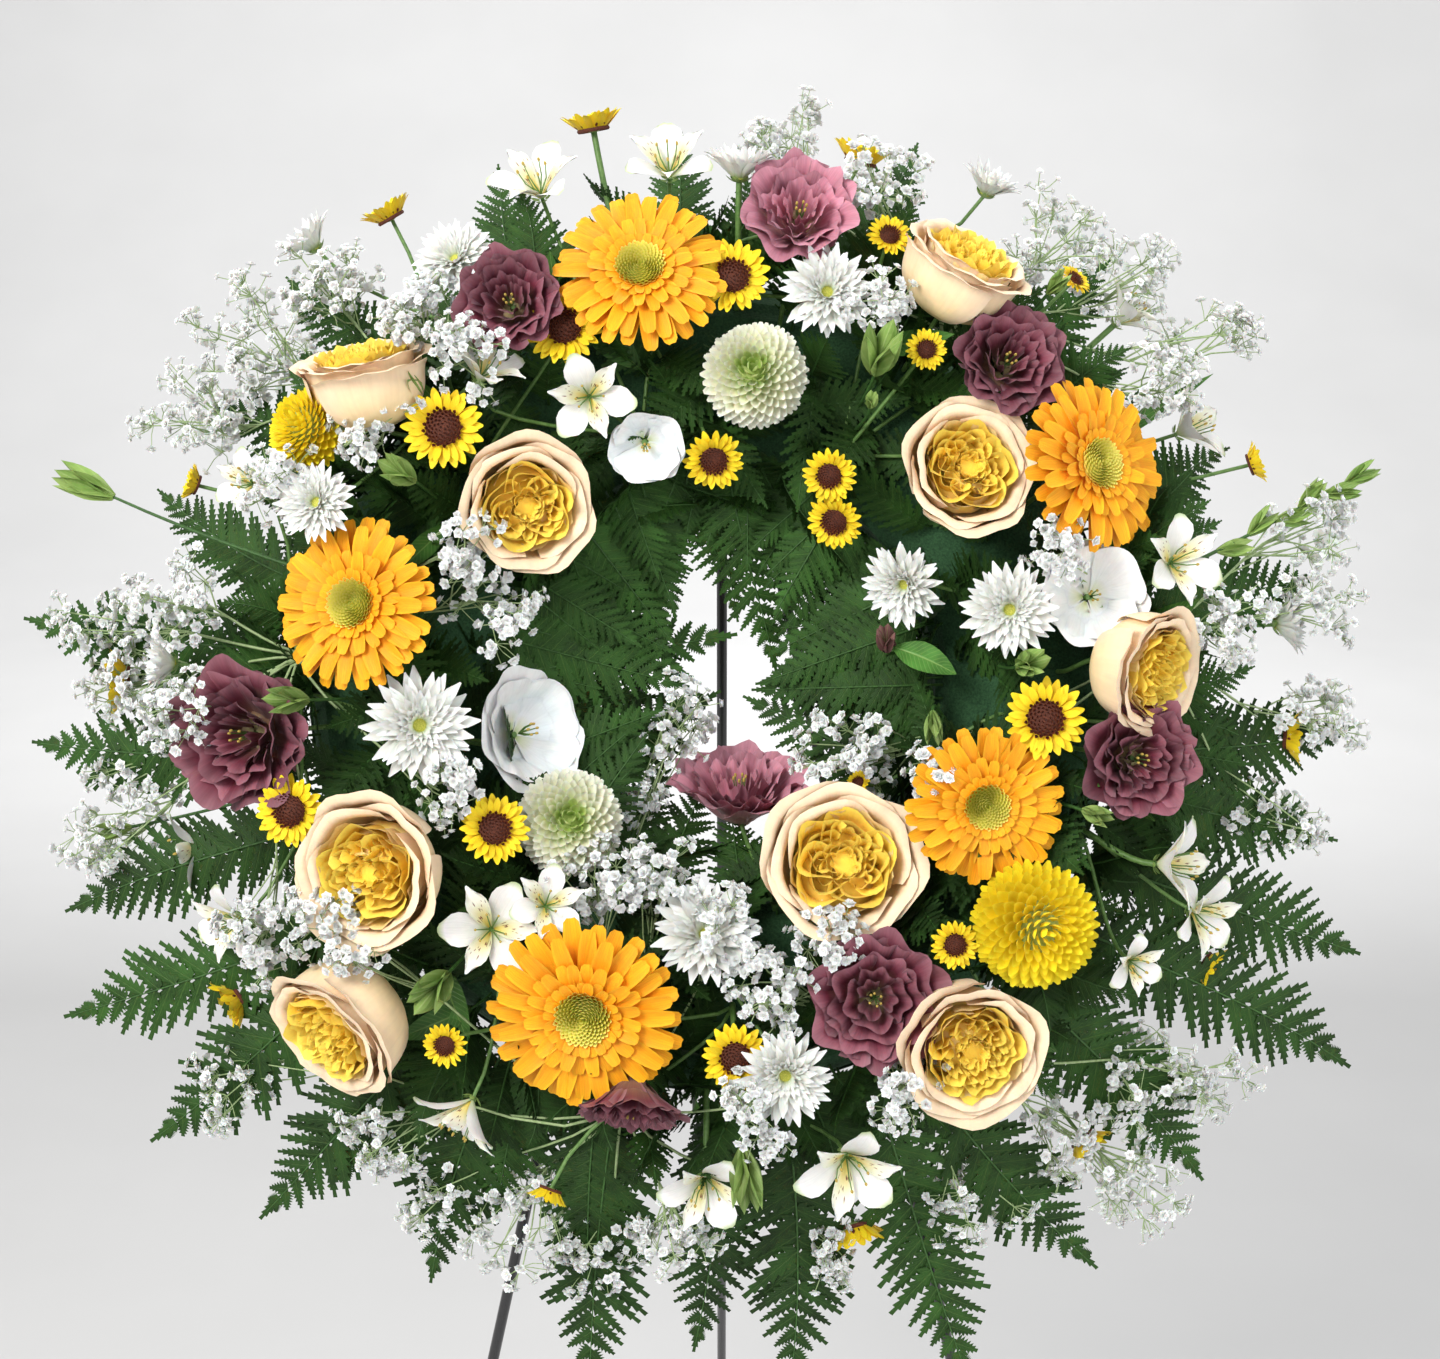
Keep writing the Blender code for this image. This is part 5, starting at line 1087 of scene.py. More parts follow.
def gerbera(bunch, frame, radius, rng):
    """Layers of long rays round a broad disc of small florets."""
    for count, length, rise, high, out, turn in GERBERA_LAYERS:
        wide = 0.8 / length**0.5
        for k in range(count):
            angle = math.tau * (k + turn) / count + rng.uniform(-0.05, 0.05)
            lift = math.radians(rise + rng.uniform(-4, 4))
            long = radius * length * rng.uniform(0.93, 1.02)
            roll = rng.uniform(-0.2, 0.2)
            place = petal_place(frame, angle, radius * out, radius * high, lift, long, wide, roll)
            bunch.add(f"gerbera_{k % 2}", place, rng.uniform(-1, 1))
    for k in range(GERBERA_FLORETS):
        t = math.sqrt((k + 0.5) / GERBERA_FLORETS)
        out = 0.24 * radius * t
        high = radius * (0.10 - 0.05 * t * t)
        size = radius * (0.085 + 0.05 * t * t)
        place = petal_place(frame, k * GOLDEN, out, high, math.radians(60 - 24 * t), size)
        bunch.add("gerbera_floret", place, 1.4 * t - 1.0 + rng.uniform(-0.2, 0.2))
    heart = sized(0.26 * radius, 0.26 * radius, 0.12 * radius)
    bunch.add("gerbera_heart", frame @ moved(0, 0, -0.06 * radius) @ heart)
    add_calyx(bunch, frame, radius, -0.12, 10, 0.3)


DOUBLE_BLOOM = ((5, 1.0, 0.9), (5, 0.86, 1.15), (5, 0.66, 1.3), (4, 0.46, 1.4), (3, 0.28, 1.45))
SINGLE_BLOOM = ((5, 1.0, 0.95), (4, 0.90, 1.15))


def ruffled(bunch, frame, radius, rng, key, layers=DOUBLE_BLOOM):
    """A lisianthus: cupped layers of ruffled petals round stamens; layers holds (count, size, height)."""
    for layer, (count, size, high) in enumerate(layers):
        for k in range(count):
            angle = math.tau * (k + 0.45 * layer) / count + rng.uniform(-0.12, 0.12)
            lean = tipped(math.radians(rng.uniform(-7, 7)))
            wide = size * radius * rng.uniform(0.94, 1.05)
            tall = high * radius * rng.uniform(0.92, 1.08)
            place = frame @ turned(angle) @ lean @ sized(wide, wide, tall)
            bunch.add(f"{key}_{(k + layer) % 3}", place, rng.uniform(-1, 1))
    add_stamens(bunch, frame, radius, rng, 0.10, 0.42, -0.3)
    add_calyx(bunch, frame, radius, -0.60, 5, 0.36)


STAMENS = 6
STAMEN_RADII = [0.5 * MM, 0.4 * MM, 0.35 * MM]
ANTHER_SIZE = (0.9 * MM, 0.9 * MM, 1.8 * MM)


def add_stamens(bunch, frame, radius, rng, spread, height, start):
    for k in range(STAMENS):
        angle = math.tau * k / STAMENS + rng.uniform(-0.3, 0.3)
        out = Vector((math.cos(angle), math.sin(angle), 0)) * spread * radius
        low = frame @ Vector((0, 0, start * radius))
        high = frame @ (out + Vector((0, 0, (start + height) * radius)))
        middle = (low + high) / 2 + (frame.to_3x3() @ out) * 0.25
        bunch.stalk([low, middle, high], STAMEN_RADII)
        tip = Matrix.Translation(high) @ frame.to_3x3().to_4x4() @ sized(*ANTHER_SIZE)
        bunch.add("pollen", tip)


POMPOM_PETALS = 250
POMPOM_LOWEST = math.cos(math.radians(118))


def pompom(bunch, frame, radius, rng, key, inner_key):
    """A ball chrysanthemum: many short cupped petals in a spiral over a dome."""
    for k in range(POMPOM_PETALS):
        share = (k + 0.5) / POMPOM_PETALS
        lean = math.acos(1 - share * (1 - POMPOM_LOWEST))
        size = radius * (0.34 + 0.16 * min(1, share * 2))
        reach = radius * (0.60 + 0.04 * rng.uniform(-1, 1))
        place = frame @ turned(k * GOLDEN) @ tipped(lean)
        place = place @ moved(0, 0, reach * 0.92 - 0.08 * radius) @ tipped(-math.pi / 2 + 0.42)
        bunch.add(inner_key if share < 0.06 else key, place @ sized(size, size, size), rng.uniform(-1, 1))
    ball = sized(0.6 * radius, 0.6 * radius, 0.66 * radius)
    bunch.add("core", frame @ moved(0, 0, -0.08 * radius) @ ball)
    add_calyx(bunch, frame, radius, -0.42)


DARK_FLORETS = 80


def daisy(bunch, frame, radius, rng, key, disc, count, layers, disc_size, cup):
    """Layers of rays round a disc, the lowest raised by cup degrees."""
    root = disc_size * 0.8
    for layer in range(layers):
        length = 1 - root - 0.13 * layer
        for k in range(count):
            angle = math.tau * (k + 0.5 * layer) / count + rng.uniform(-0.08, 0.08)
            lift = math.radians(4 + cup + (74 - cup) / 5 * layer + rng.uniform(-7, 7))
            long = radius * length * rng.uniform(0.9, 1.04)
            roll = rng.uniform(-0.25, 0.25)
            place = petal_place(frame, angle, root * radius, 0.0, lift, long, 22 / count, roll)
            bunch.add(f"{key}_{k % 2}", place, rng.uniform(-1, 1))
    wide = disc_size * radius
    bunch.add(disc, frame @ sized(wide, wide, 0.672 * wide))
    if disc == "dark_disc":
        for k in range(DARK_FLORETS):
            t = math.sqrt((k + 0.5) / DARK_FLORETS)
            high = wide * (0.30 - 0.16 * t * t)
            size = radius * (0.09 + 0.05 * t)
            place = petal_place(frame, k * GOLDEN, wide * t, high, math.radians(58 - 28 * t), size)
            bunch.add("dark_floret", place, 1.6 * t - 1.0 + rng.uniform(-0.4, 0.4))
    add_calyx(bunch, frame, radius, -0.08, 6, 0.3)


ALSTROEMERIA_SPREAD = 1.12


def alstroemeria(bunch, frame, radius, rng):
    """A trumpet of three broad outer petals and three narrow flecked ones."""
    radius *= ALSTROEMERIA_SPREAD
    for k in range(3):
        for key, turn, high, rise in (("outer", k, -0.42, 48), ("inner", k + 0.5, -0.38, 52)):
            lift = math.radians(rise + rng.uniform(-5, 5))
            place = petal_place(frame, math.tau * turn / 3, 0.05 * radius, high * radius, lift, 1.12 * radius)
            bunch.add(f"alstroemeria_{key}", place, rng.uniform(-1, 1))
    add_stamens(bunch, frame, radius, rng, 0.28, 0.62, -0.36)
    add_calyx(bunch, frame, radius, -0.5, 6, 0.2)


def bud(bunch, frame, radius, length, key):
    """A closed bud: petals that wrap each other to a point."""
    wide = radius * 3.2 / length
    for k in range(6):
        turn = k * GOLDEN
        place = petal_place(frame, turn, 0.12 * radius, -0.3 * length, math.radians(92), length, wide, 0.1)
        bunch.add(key, place, 0.4 * math.sin(k * 5))


STEM_RADIUS = 1.5 * MM
SPRAY_STEM_RADIUS = 1.9 * MM
BRANCH_RADIUS = 1.2 * MM
BUD_STEM_RADIUS = 1.1 * MM
STEM_IN_FOAM = 10 * MM
STEM_ABOVE_FOAM = 11 * MM
JOIN_ABOVE_FOAM = 9 * MM


def neck_stalk(bunch, place, facing, radius, neck, angle, phi, thick, end=None):
    """The stem from under a head down into the foam, or to a join."""
    start = place + facing * neck * radius
    root, out = on_foam(angle, min(math.radians(150), max(math.radians(30), phi)))
    if end is None:
        end = root + out * STEM_ABOVE_FOAM
    run = (end - start).length
    path = (start, start - facing * run * 0.35, end + out * run * 0.25, end)
    points = [bezier(path, k / 8) for k in range(9)]
    if thick > BRANCH_RADIUS:
        points.append(root - out * STEM_IN_FOAM)
    bunch.stalk(points, thick)
    return root + out * JOIN_ABOVE_FOAM


def place_of(node, number, spec):
    """A head's frame, facing, ring angle and phi, with any lift that it needed."""
    x, z = spec[:2]
    tilt, aim = spec[3:] if len(spec) > 3 else (None, None)
    centre, angle, phi = seen_at(x, z)
    facing = facing_of(angle, phi, tilt, aim)
    lift, shift, turn = LIFTS.get((node, number), (0, 0, 0))
    right = facing.cross(Vector((0, 0, 1))).normalized()
    up = right.cross(facing)
    way = turn * math.tau / SIDE_STEPS
    aside = right * math.cos(way) + up * math.sin(way)
    place = centre + facing * lift * MM + aside * shift * MM
    return head_frame(place, facing, number * 2.4), place, facing, angle, phi


def single(node, number, spec, draw, neck, rng):
    bunch = Bunch()
    frame, place, facing, angle, phi = place_of(node, number, spec)
    draw(bunch, frame, spec[2] * MM, rng)
    neck_stalk(bunch, place, facing, spec[2] * MM, neck, angle, phi, STEM_RADIUS)
    bunch.grow(node + "_bloom", node)


def spray(node, specs, rng):
    """Heads that share one stem. specs holds (spec, draw, neck) and the first stands in the foam."""
    bunch = Bunch()
    join = None
    for number, (spec, draw, neck) in enumerate(specs):
        frame, place, facing, angle, phi = place_of(node, number, spec)
        draw(bunch, frame, spec[2] * MM, rng)
        thick = BRANCH_RADIUS if join else SPRAY_STEM_RADIUS
        end = neck_stalk(bunch, place, facing, spec[2] * MM, neck, angle, phi, thick, join)
        join = join or end
    bunch.grow(node + "_heads", node)


# Greenery

FRONT = Vector((0, -1, 0))


def frond(bunch, path, facing, half_width, pairs, rng, tone, stalk=0.16):
    """A fern frond: a rib with pairs of cut leaflets that shorten to its tip."""
    points = [bezier(path, k / 10) for k in range(11)]
    bunch.stalk(points, [(1.0 - 0.07 * k) * MM for k in range(11)])
    length = sum((b - a).length for a, b in zip(points, points[1:]))
    spacing = length * (1 - stalk) / pairs
    keys = ("pinna_small", "pinna_small") if half_width < 0.026 else ("pinna_0", "pinna_1")
    for k in range(pairs):
        share = k / pairs
        t = stalk + (1 - stalk) * share
        along = direction_at(path, t)
        left = facing.cross(along).normalized()
        top = along.cross(left).normalized()
        to_tip = length * (1 - stalk) * (1 - share)
        reach = min(half_width, 0.62 * to_tip + 2 * MM) * min(1, 0.62 + 2.2 * share) * rng.uniform(0.9, 1.05)
        sweep = math.radians(26 + 22 * share + rng.uniform(-5, 5))
        for side in (-1, 1):
            out = left * side * math.cos(sweep) + along * math.sin(sweep) - top * rng.uniform(0.0, 0.22)
            out.normalize()
            size = sized(reach, max(reach * 0.9, spacing * 3.0), reach)
            spot = bezier(path, min(1, t + (0.25 if side > 0 else 0) / pairs))
            place = Matrix.Translation(spot) @ axes_of(out, top.cross(out).normalized()) @ size
            bunch.add(keys[k % 2], place, tone + rng.uniform(-0.25, 0.25))
    along = direction_at(path, 0.98)
    left = facing.cross(along).normalized()
    place = Matrix.Translation(bezier(path, 0.94)) @ axes_of(along, left)
    bunch.add("pinna_small", place @ sized(spacing * 2.2, spacing * 2.2, spacing), tone)


def blade(bunch, key, path, facing, shade, width=1.0):
    """A leaf at the end of a short stalk along a path."""
    start = bezier(path, 0.3)
    points = [bezier(path, k / 6 * 0.32) for k in range(7)]
    bunch.stalk(points, 0.8 * MM)
    along = (path[3] - start).normalized()
    left = facing.cross(along).normalized()
    long = (path[3] - start).length
    place = Matrix.Translation(start) @ axes_of(along, left) @ sized(long, long * width, long)
    bunch.add(key, place, shade)


def nearest_point(points, wanted, reach):
    """The nearest of the points to wanted, or wanted itself where none is within reach."""
    best = min(points, key=lambda point: (point - wanted).length_squared)
    return best if (best - wanted).length < reach else wanted


def solid_points(node):
    """The points of the part's own solid, in the wreath's frame."""
    back = wreath_matrix().inverted()
    thing = frame["nodes"][node]
    return [back @ (thing.matrix_world @ vertex.co) for vertex in thing.data.vertices]


def grow_greenery(sector, sizes):
    """One sixth of the greenery: rim and inner fronds, short fronds and leaves between the flowers, buds."""
    node = f"greenery_{sector + 1}"
    rng = random.Random(SEED + 100 * sector)
    known = solid_points(node)
    bunch = Bunch()
    add_placed_fronds(bunch, sector, known, rng)
    add_long_leaves(bunch, sector)
    add_spikes(bunch, sector)
    add_drawn_fronds(bunch, sector, sizes, rng)
    add_leaves(bunch, sector, sizes.leaves, rng)
    add_buds(bunch, sector, known)
    # The greenery of the lower half is darkened as painted shade, for the light that falls from the upper
    # left
    if sector >= SECTORS // 2:
        bunch.darken(PAINTED_SHADE_BELOW)
    bunch.grow(node + "_leaves", node, "rib", 6)


def add_placed_fronds(bunch, sector, known, rng):
    """The fronds whose tips show in the photograph, led to the nearest tip of the part's own solid."""
    for x, z, half in OUTER_FERN:
        tip = at_depth(x, z, FERN_DEPTH)
        if sector_of(tip) == sector:
            tip = nearest_point(known, tip, 0.04) * (TOP_FERN_SHARE if z > TOP_FERN_FROM else 1.0)
            rim_frond(bunch, tip, half * MM, rng)
    for x, z, half in INNER_FERN:
        tip = at_depth(x, z, FERN_DEPTH)
        if sector_of(tip) == sector:
            inner_frond(bunch, nearest_point(known, tip, 0.03), half * MM, rng)
    for degrees, x, z, half in HANGING_FERN:
        angle = math.radians(degrees)
        if sector_of(radial(angle)) == sector:
            inner_frond(bunch, at_depth(x, z, HANGING_DEPTH), half * MM, rng, angle)


def add_long_leaves(bunch, sector):
    for x, z, half in LONG_LEAVES:
        tip = at_depth(x, z, STALK_DEPTH)
        if sector_of(tip) == sector:
            root, out = on_foam(math.atan2(tip.z, tip.x), math.radians(50))
            run = tip - root
            path = (root, root + out * run.length * 0.2, root + run * 0.5, tip)
            blade(bunch, "long_leaf", path, FRONT, 0.6, half / 8)


def add_spikes(bunch, sector):
    """The stalks with closed buds that stand past the rim."""
    for root_degrees, x, z, bud_length, places in SPIKES:
        tip = at_depth(x, z, STALK_DEPTH)
        if sector_of(tip) != sector:
            continue
        root, out = on_foam(math.radians(root_degrees), math.radians(50))
        run = tip - root
        path = (root, root + out * run.length * 0.2, root + run * 0.55 + Vector((0, 0, -6 * MM)), tip)
        bunch.stalk([bezier(path, k / 10) for k in range(11)], [(1.7 - 0.08 * k) * MM for k in range(11)])
        for number, t in enumerate(places):
            along = direction_at(path, t)
            side = along.cross(Vector((0, 1, 0))) * (0.3 if number % 2 else -0.3) * (t < 0.99)
            heading = (along + side).normalized()
            spot = bezier(path, t) + heading * bud_length * MM * 0.3
            head = head_frame(spot, heading, number)
            bud(bunch, head, bud_length * MM / 5.2, bud_length * MM, "bud_green")


def add_drawn_fronds(bunch, sector, sizes, rng):
    """Fronds at random places: round the rim, between the flowers and towards the middle."""
    span = math.tau / SECTORS
    for _ in range(sizes.rim_fronds):
        angle = (sector + rng.random()) * span
        reach = 0.306 + rng.uniform(-0.02, 0.022)
        tip = radial(angle) * reach + Vector((0, -rng.uniform(15, 75) * MM, 0))
        rim_frond(bunch, tip, rng.uniform(28, 38) * MM, rng)
    for k in range(sizes.short_fronds):
        short_frond(bunch, (sector + rng.random()) * span, rng, k % 2)
    for _ in range(sizes.inner_fronds):
        angle = (sector + rng.random()) * span
        for _ in range(8):
            tip = radial(angle) * rng.uniform(0.030, 0.105) + Vector((0, -rng.uniform(4, 50) * MM, 0))
            tip += Vector((OPENING_CENTRE[0], 0, OPENING_CENTRE[1]))
            if not is_over_opening(tip, 1.0) and (tip - LOW_BLOOM).xz.length > LOW_BLOOM_ROOM:
                inner_frond(bunch, tip, rng.uniform(24, 34) * MM, rng)
                break


def add_leaves(bunch, sector, count, rng):
    """Plain leaves at random places that stay under the flowers."""
    for k in range(count):
        angle = (sector + rng.random()) * math.tau / SECTORS
        root, out = on_foam(angle, math.radians(rng.uniform(25, 140)))
        heading = (out + Vector([rng.uniform(-0.7, 0.7) for _ in range(3)])).normalized()
        tip = root + heading * rng.uniform(62, 84) * MM
        if is_over_opening(tip) or not is_under_shell(tip, 1.0):
            continue
        path = (root, root + out * 20 * MM, root + heading * 45 * MM, tip)
        facing = (FRONT + heading.cross(Vector((0, 0, 1))) * rng.uniform(-0.6, 0.6)).normalized()
        blade(bunch, f"leaf_{k % 2}", path, facing, rng.uniform(-0.5, 1))


def add_buds(bunch, sector, known):
    """Closed buds between the flowers; the purple one has a leaf beside it."""
    for number, (x, z, length, tilt, aim) in enumerate(BUDS):
        centre, angle, phi = seen_at(x, z)
        if sector_of(centre) != sector:
            continue
        facing = facing_of(angle, phi, tilt, aim)
        start = nearest_point(known, centre, 0.03)
        head = head_frame(centre.lerp(start, 0.5), facing, number)
        base = head.translation
        key = "bud_purple" if (x, z) == PURPLE_BUD else "bud_green"
        bud(bunch, head, min(9 * MM, length * MM / 3.6), length * MM * 1.25, key)
        neck_stalk(bunch, base, facing, length * MM, -0.35, angle, phi, BUD_STEM_RADIUS)
        if key == "bud_purple":
            side = head.to_3x3() @ Vector((1, 0, 0))
            path = (base, base, base + side * 20 * MM, base + side * 46 * MM + facing * 8 * MM)
            blade(bunch, "leaf_0", path, facing, 1.0, 1.4)


def rim_frond(bunch, tip, half_width, rng):
    """A frond from the ring's outer side out to a tip beyond the flowers."""
    angle = math.atan2(tip.z, tip.x) + rng.uniform(-0.12, 0.12)
    root, out = on_foam(angle, math.radians(25))
    run = tip - root
    bow = radial(angle).cross(Vector((0, 1, 0))) * rng.uniform(-12, 12) * MM
    bow -= Vector((0, rng.uniform(2, 12) * MM, 0))
    path = (root, root + out * run.length * 0.2 + run * 0.1, root + run * 0.62 + bow, tip)
    facing = (FRONT + radial(angle) * rng.uniform(0.1, 0.5)).normalized()
    frond(bunch, path, facing, half_width, 17, rng, rng.uniform(-0.4, 0.5))


def inner_frond(bunch, tip, half_width, rng, angle=None):
    """A frond from the ring's inner side, nearest to its tip or at a given angle, towards the middle."""
    if angle is None:
        angle = math.atan2(tip.z, tip.x)
    root, out = on_foam(angle + rng.uniform(-0.2, 0.2), math.radians(150))
    run = tip - root
    path = (root, root + out * run.length * 0.25, root + run * 0.6, tip)
    frond(bunch, path, FRONT, half_width, 14, rng, rng.uniform(-0.2, 0.6))


def is_over_opening(place, share=1.35):
    """Whether a place stands in front of the open middle of the ring, scaled by share."""
    across = (place.x - OPENING_CENTRE[0]) / OPENING_HALF[0]
    high = (place.z - OPENING_CENTRE[1]) / OPENING_HALF[1]
    return math.hypot(across, high) < share


def is_under_shell(place, share):
    """Whether a place is inside the surface that the flowers lie on, scaled by share."""
    across = (math.hypot(place.x, place.z) - SHELL_RADIUS) / SHELL_RADIAL
    deep = (-place.y - SHELL_MIDDLE) / SHELL_DEPTH
    return across * across + deep * deep < share * share


def short_frond(bunch, angle, rng, low):
    """A frond between the flowers, which stands out of the foam or lies low along it."""
    for _ in range(12):
        phi = math.radians(rng.uniform(8, 172))
        root, out = on_foam(angle, phi)
        loose = Vector([rng.uniform(-0.8, 0.8) for _ in range(3)])
        heading = (out * 0.45 + loose if low else out + loose).normalized()
        tip = root + heading * rng.uniform(52, 84) * MM + out * (8 * MM if low else 0)
        if tip.y > -6 * MM or is_over_opening(tip) or not is_under_shell(tip, 0.98):
            continue
        reach = (tip - root).length
        path = (root, root + out * reach * 0.3, root + heading * reach * 0.7, tip)
        facing = (out.cross(heading).cross(heading) + Vector((0, -0.6, 0))).normalized()
        if facing.cross(heading).length < 0.3:
            facing = heading.orthogonal().normalized()
        # Its tone runs darker than a rim frond's: random tone, and painted shade for the shade among the
        # flowers
        frond(bunch, path, facing, rng.uniform(17, 25) * MM, 12, rng, rng.uniform(-0.7, 0.2))
        return


# Baby's breath


def scatter(rng, reach=1):
    return Vector([rng.uniform(-reach, reach) for _ in range(3)])


def cloud(bunch, spec, root, out, rng, floret_size):
    """A cloud of florets on fine branches that part from one stem."""
    x, z, radius = spec
    centre, angle, phi = seen_at(x, z)
    facing = facing_of(angle, phi)
    centre += facing * 4 * MM
    radius *= CLOUD_SPREAD * MM
    run = (centre - root).length
    trunk = (root, root + out * run * 0.4, centre - facing * run * 0.3, centre - facing * radius * 0.5)
    bunch.stalk([bezier(trunk, k / 8) for k in range(9)], [(1.1 - 0.05 * k) * MM for k in range(9)])
    for _ in range(max(6, round(radius / (2.3 * MM)))):
        spread = scatter(rng)
        while spread.length > 1:
            spread = scatter(rng)
        node = centre + spread * radius * 0.86
        start = bezier(trunk, rng.uniform(0.62, 1.0))
        middle = (start + node) / 2 + scatter(rng) * radius * 0.10
        bunch.stalk([start, middle, node], [0.6 * MM, 0.5 * MM, 0.4 * MM])
        for _ in range(rng.randint(8, 11)):
            turn = (scatter(rng) + facing * 0.5 + spread * 0.5).normalized()
            tip = node + turn * rng.uniform(5, 16) * MM
            fork = node.lerp(tip, 0.45) + scatter(rng) * 1.2 * MM
            bunch.stalk([node, fork, tip], 0.28 * MM)
            heading = (turn + facing * 0.4 + scatter(rng, 0.4)).normalized()
            size = floret_size * rng.uniform(0.72, 1.12)
            place = head_frame(tip, heading, rng.uniform(0, math.tau)) @ sized(size, size, size)
            bunch.add(f"floret_{rng.randint(0, 2)}", place, rng.uniform(-1, 1))


def grow_baby_breath(number, sizes):
    """The clouds of one stem of baby's breath."""
    rng = random.Random(SEED + 1000 + number)
    bunch = Bunch()
    specs = CLOUDS[number] + MORE_CLOUDS[number]
    spots = [seen_at(x, z) for x, z, _ in CLOUDS[number]]
    middle = sum((radial(angle) for _, angle, _ in spots), Vector())
    angle = math.atan2(middle.z, middle.x)
    phi = sum(phi for _, _, phi in spots) / len(spots)
    root, out = on_foam(angle, min(math.radians(145), max(math.radians(35), phi)))
    bunch.stalk([root - out * 15 * MM, root, root + out * 16 * MM], 1.8 * MM)
    for spec in specs:
        cloud(bunch, spec, root + out * 12 * MM, out, rng, sizes.floret_radius)
    node = f"gypsophila_{number + 1}"
    bunch.grow(node + "_clouds", node, "thread", 4)


# The foam, the tray and the easel


def as_piece(name, mesh, material, body, replaced):
    """Puts a finished mesh into the scene as a piece on a body of the part."""
    mesh.materials.append(material)
    piece = bpy.data.objects.new(name, mesh)
    bpy.context.scene.collection.objects.link(piece)
    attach(piece, body)
    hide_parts(replaced)


def lathe(name, outline, steps):
    """A ring turned about the wreath's own axis from a closed (radius, depth) outline."""
    count = len(outline)
    points = []
    for k in range(steps):
        out = radial(math.tau * k / steps)
        points += [tuple(out * radius - Vector((0, depth, 0))) for radius, depth in outline]
    faces = []
    for k in range(steps):
        after = (k + 1) % steps
        for i in range(count):
            j = (i + 1) % count
            faces.append((k * count + i, after * count + i, after * count + j, k * count + j))
    mesh = bpy.data.meshes.new(name)
    mesh.from_pydata(points, [], faces)
    shape = bmesh.new()
    shape.from_mesh(mesh)
    bmesh.ops.recalc_face_normals(shape, faces=shape.faces)
    shape.to_mesh(mesh)
    shape.free()
    mesh.transform(wreath_matrix())
    return mesh


def rounded(corners, radius, steps=4):
    """An outline with its corners rounded by a radius."""
    outline = []
    count = len(corners)
    for k, corner in enumerate(corners):
        here = Vector(corner)
        before = Vector(corners[k - 1]) - here
        after = Vector(corners[(k + 1) % count]) - here
        cut = min(radius, before.length * 0.45, after.length * 0.45)
        a = here + before.normalized() * cut
        b = here + after.normalized() * cut
        for i in range(steps + 1):
            t = i / steps
            spot = a.lerp(here, t).lerp(here.lerp(b, t), t)
            outline.append((spot.x, spot.y))
    return outline


FOAM_GAP = 0.3 * MM


def make_foam():
    """The block of foam: a rough dome turned round the ring."""
    outline = []
    for k in range(25):
        phi = math.pi * (1 - k / 24)
        rough = 0.7 * MM * math.sin(k * 2.7)
        out = RING_RADIUS + (FOAM_HALF_WIDTH + rough) * math.cos(phi)
        outline.append((out, FOAM_SHOULDER + (FOAM_DOME + rough) * math.sin(phi)))
    outline += [(RING_RADIUS + side * FOAM_HALF_WIDTH, TRAY_WALL + FOAM_GAP) for side in (1, -1)]
    material = plain_material("foam", (0.012, 0.05, 0.018), (0.035, 0.11, 0.04), 700, 0.95, 0.9, 0.0012)
    as_piece("foam_block", lathe("foam_block", outline, 120), material, BODY, "foam_ring")


def groove(radius):
    """The outline of a shallow groove in the tray's back, from its outer side inwards."""
    half = 2.5 * MM
    deep = 0.8 * MM
    return [(radius + half, 0), (radius + half * 0.6, deep), (radius - half * 0.6, deep), (radius - half, 0)]


GROOVE_RADII = (0.222, 0.192, 0.162)


def make_tray():
    """The plastic tray: an open channel with grooves in its back."""
    outer = RING_RADIUS + TRAY_HALF_WIDTH
    inner = RING_RADIUS - TRAY_HALF_WIDTH
    inside = inner + TRAY_WALL, outer - TRAY_WALL
    corners = [(outer, TRAY_DEPTH), (outer, 0)]
    for radius in GROOVE_RADII:
        corners += groove(radius)
    corners += [(inner, 0), (inner, TRAY_DEPTH), (inside[0], TRAY_DEPTH), (inside[0], TRAY_WALL)]
    corners += [(inside[1], TRAY_WALL), (inside[1], TRAY_DEPTH)]
    green = tuple(bpy.context.scene.wreath_colours.tray)
    material = plain_material("tray", blend(green, (0, 0, 0), 0.3), green, 260, 0.42, 0.12)
    shell = lathe("tray_shell", rounded(corners, 3 * MM), 144)
    as_piece("tray_shell", shell, material, BODY, "foam_tray")


# A rod's rounded end: its length in radii, and the height and radius of its rings
END_ROUNDING = 0.35
END_RINGS = ((1, 0.6), (0.5, 0.9))


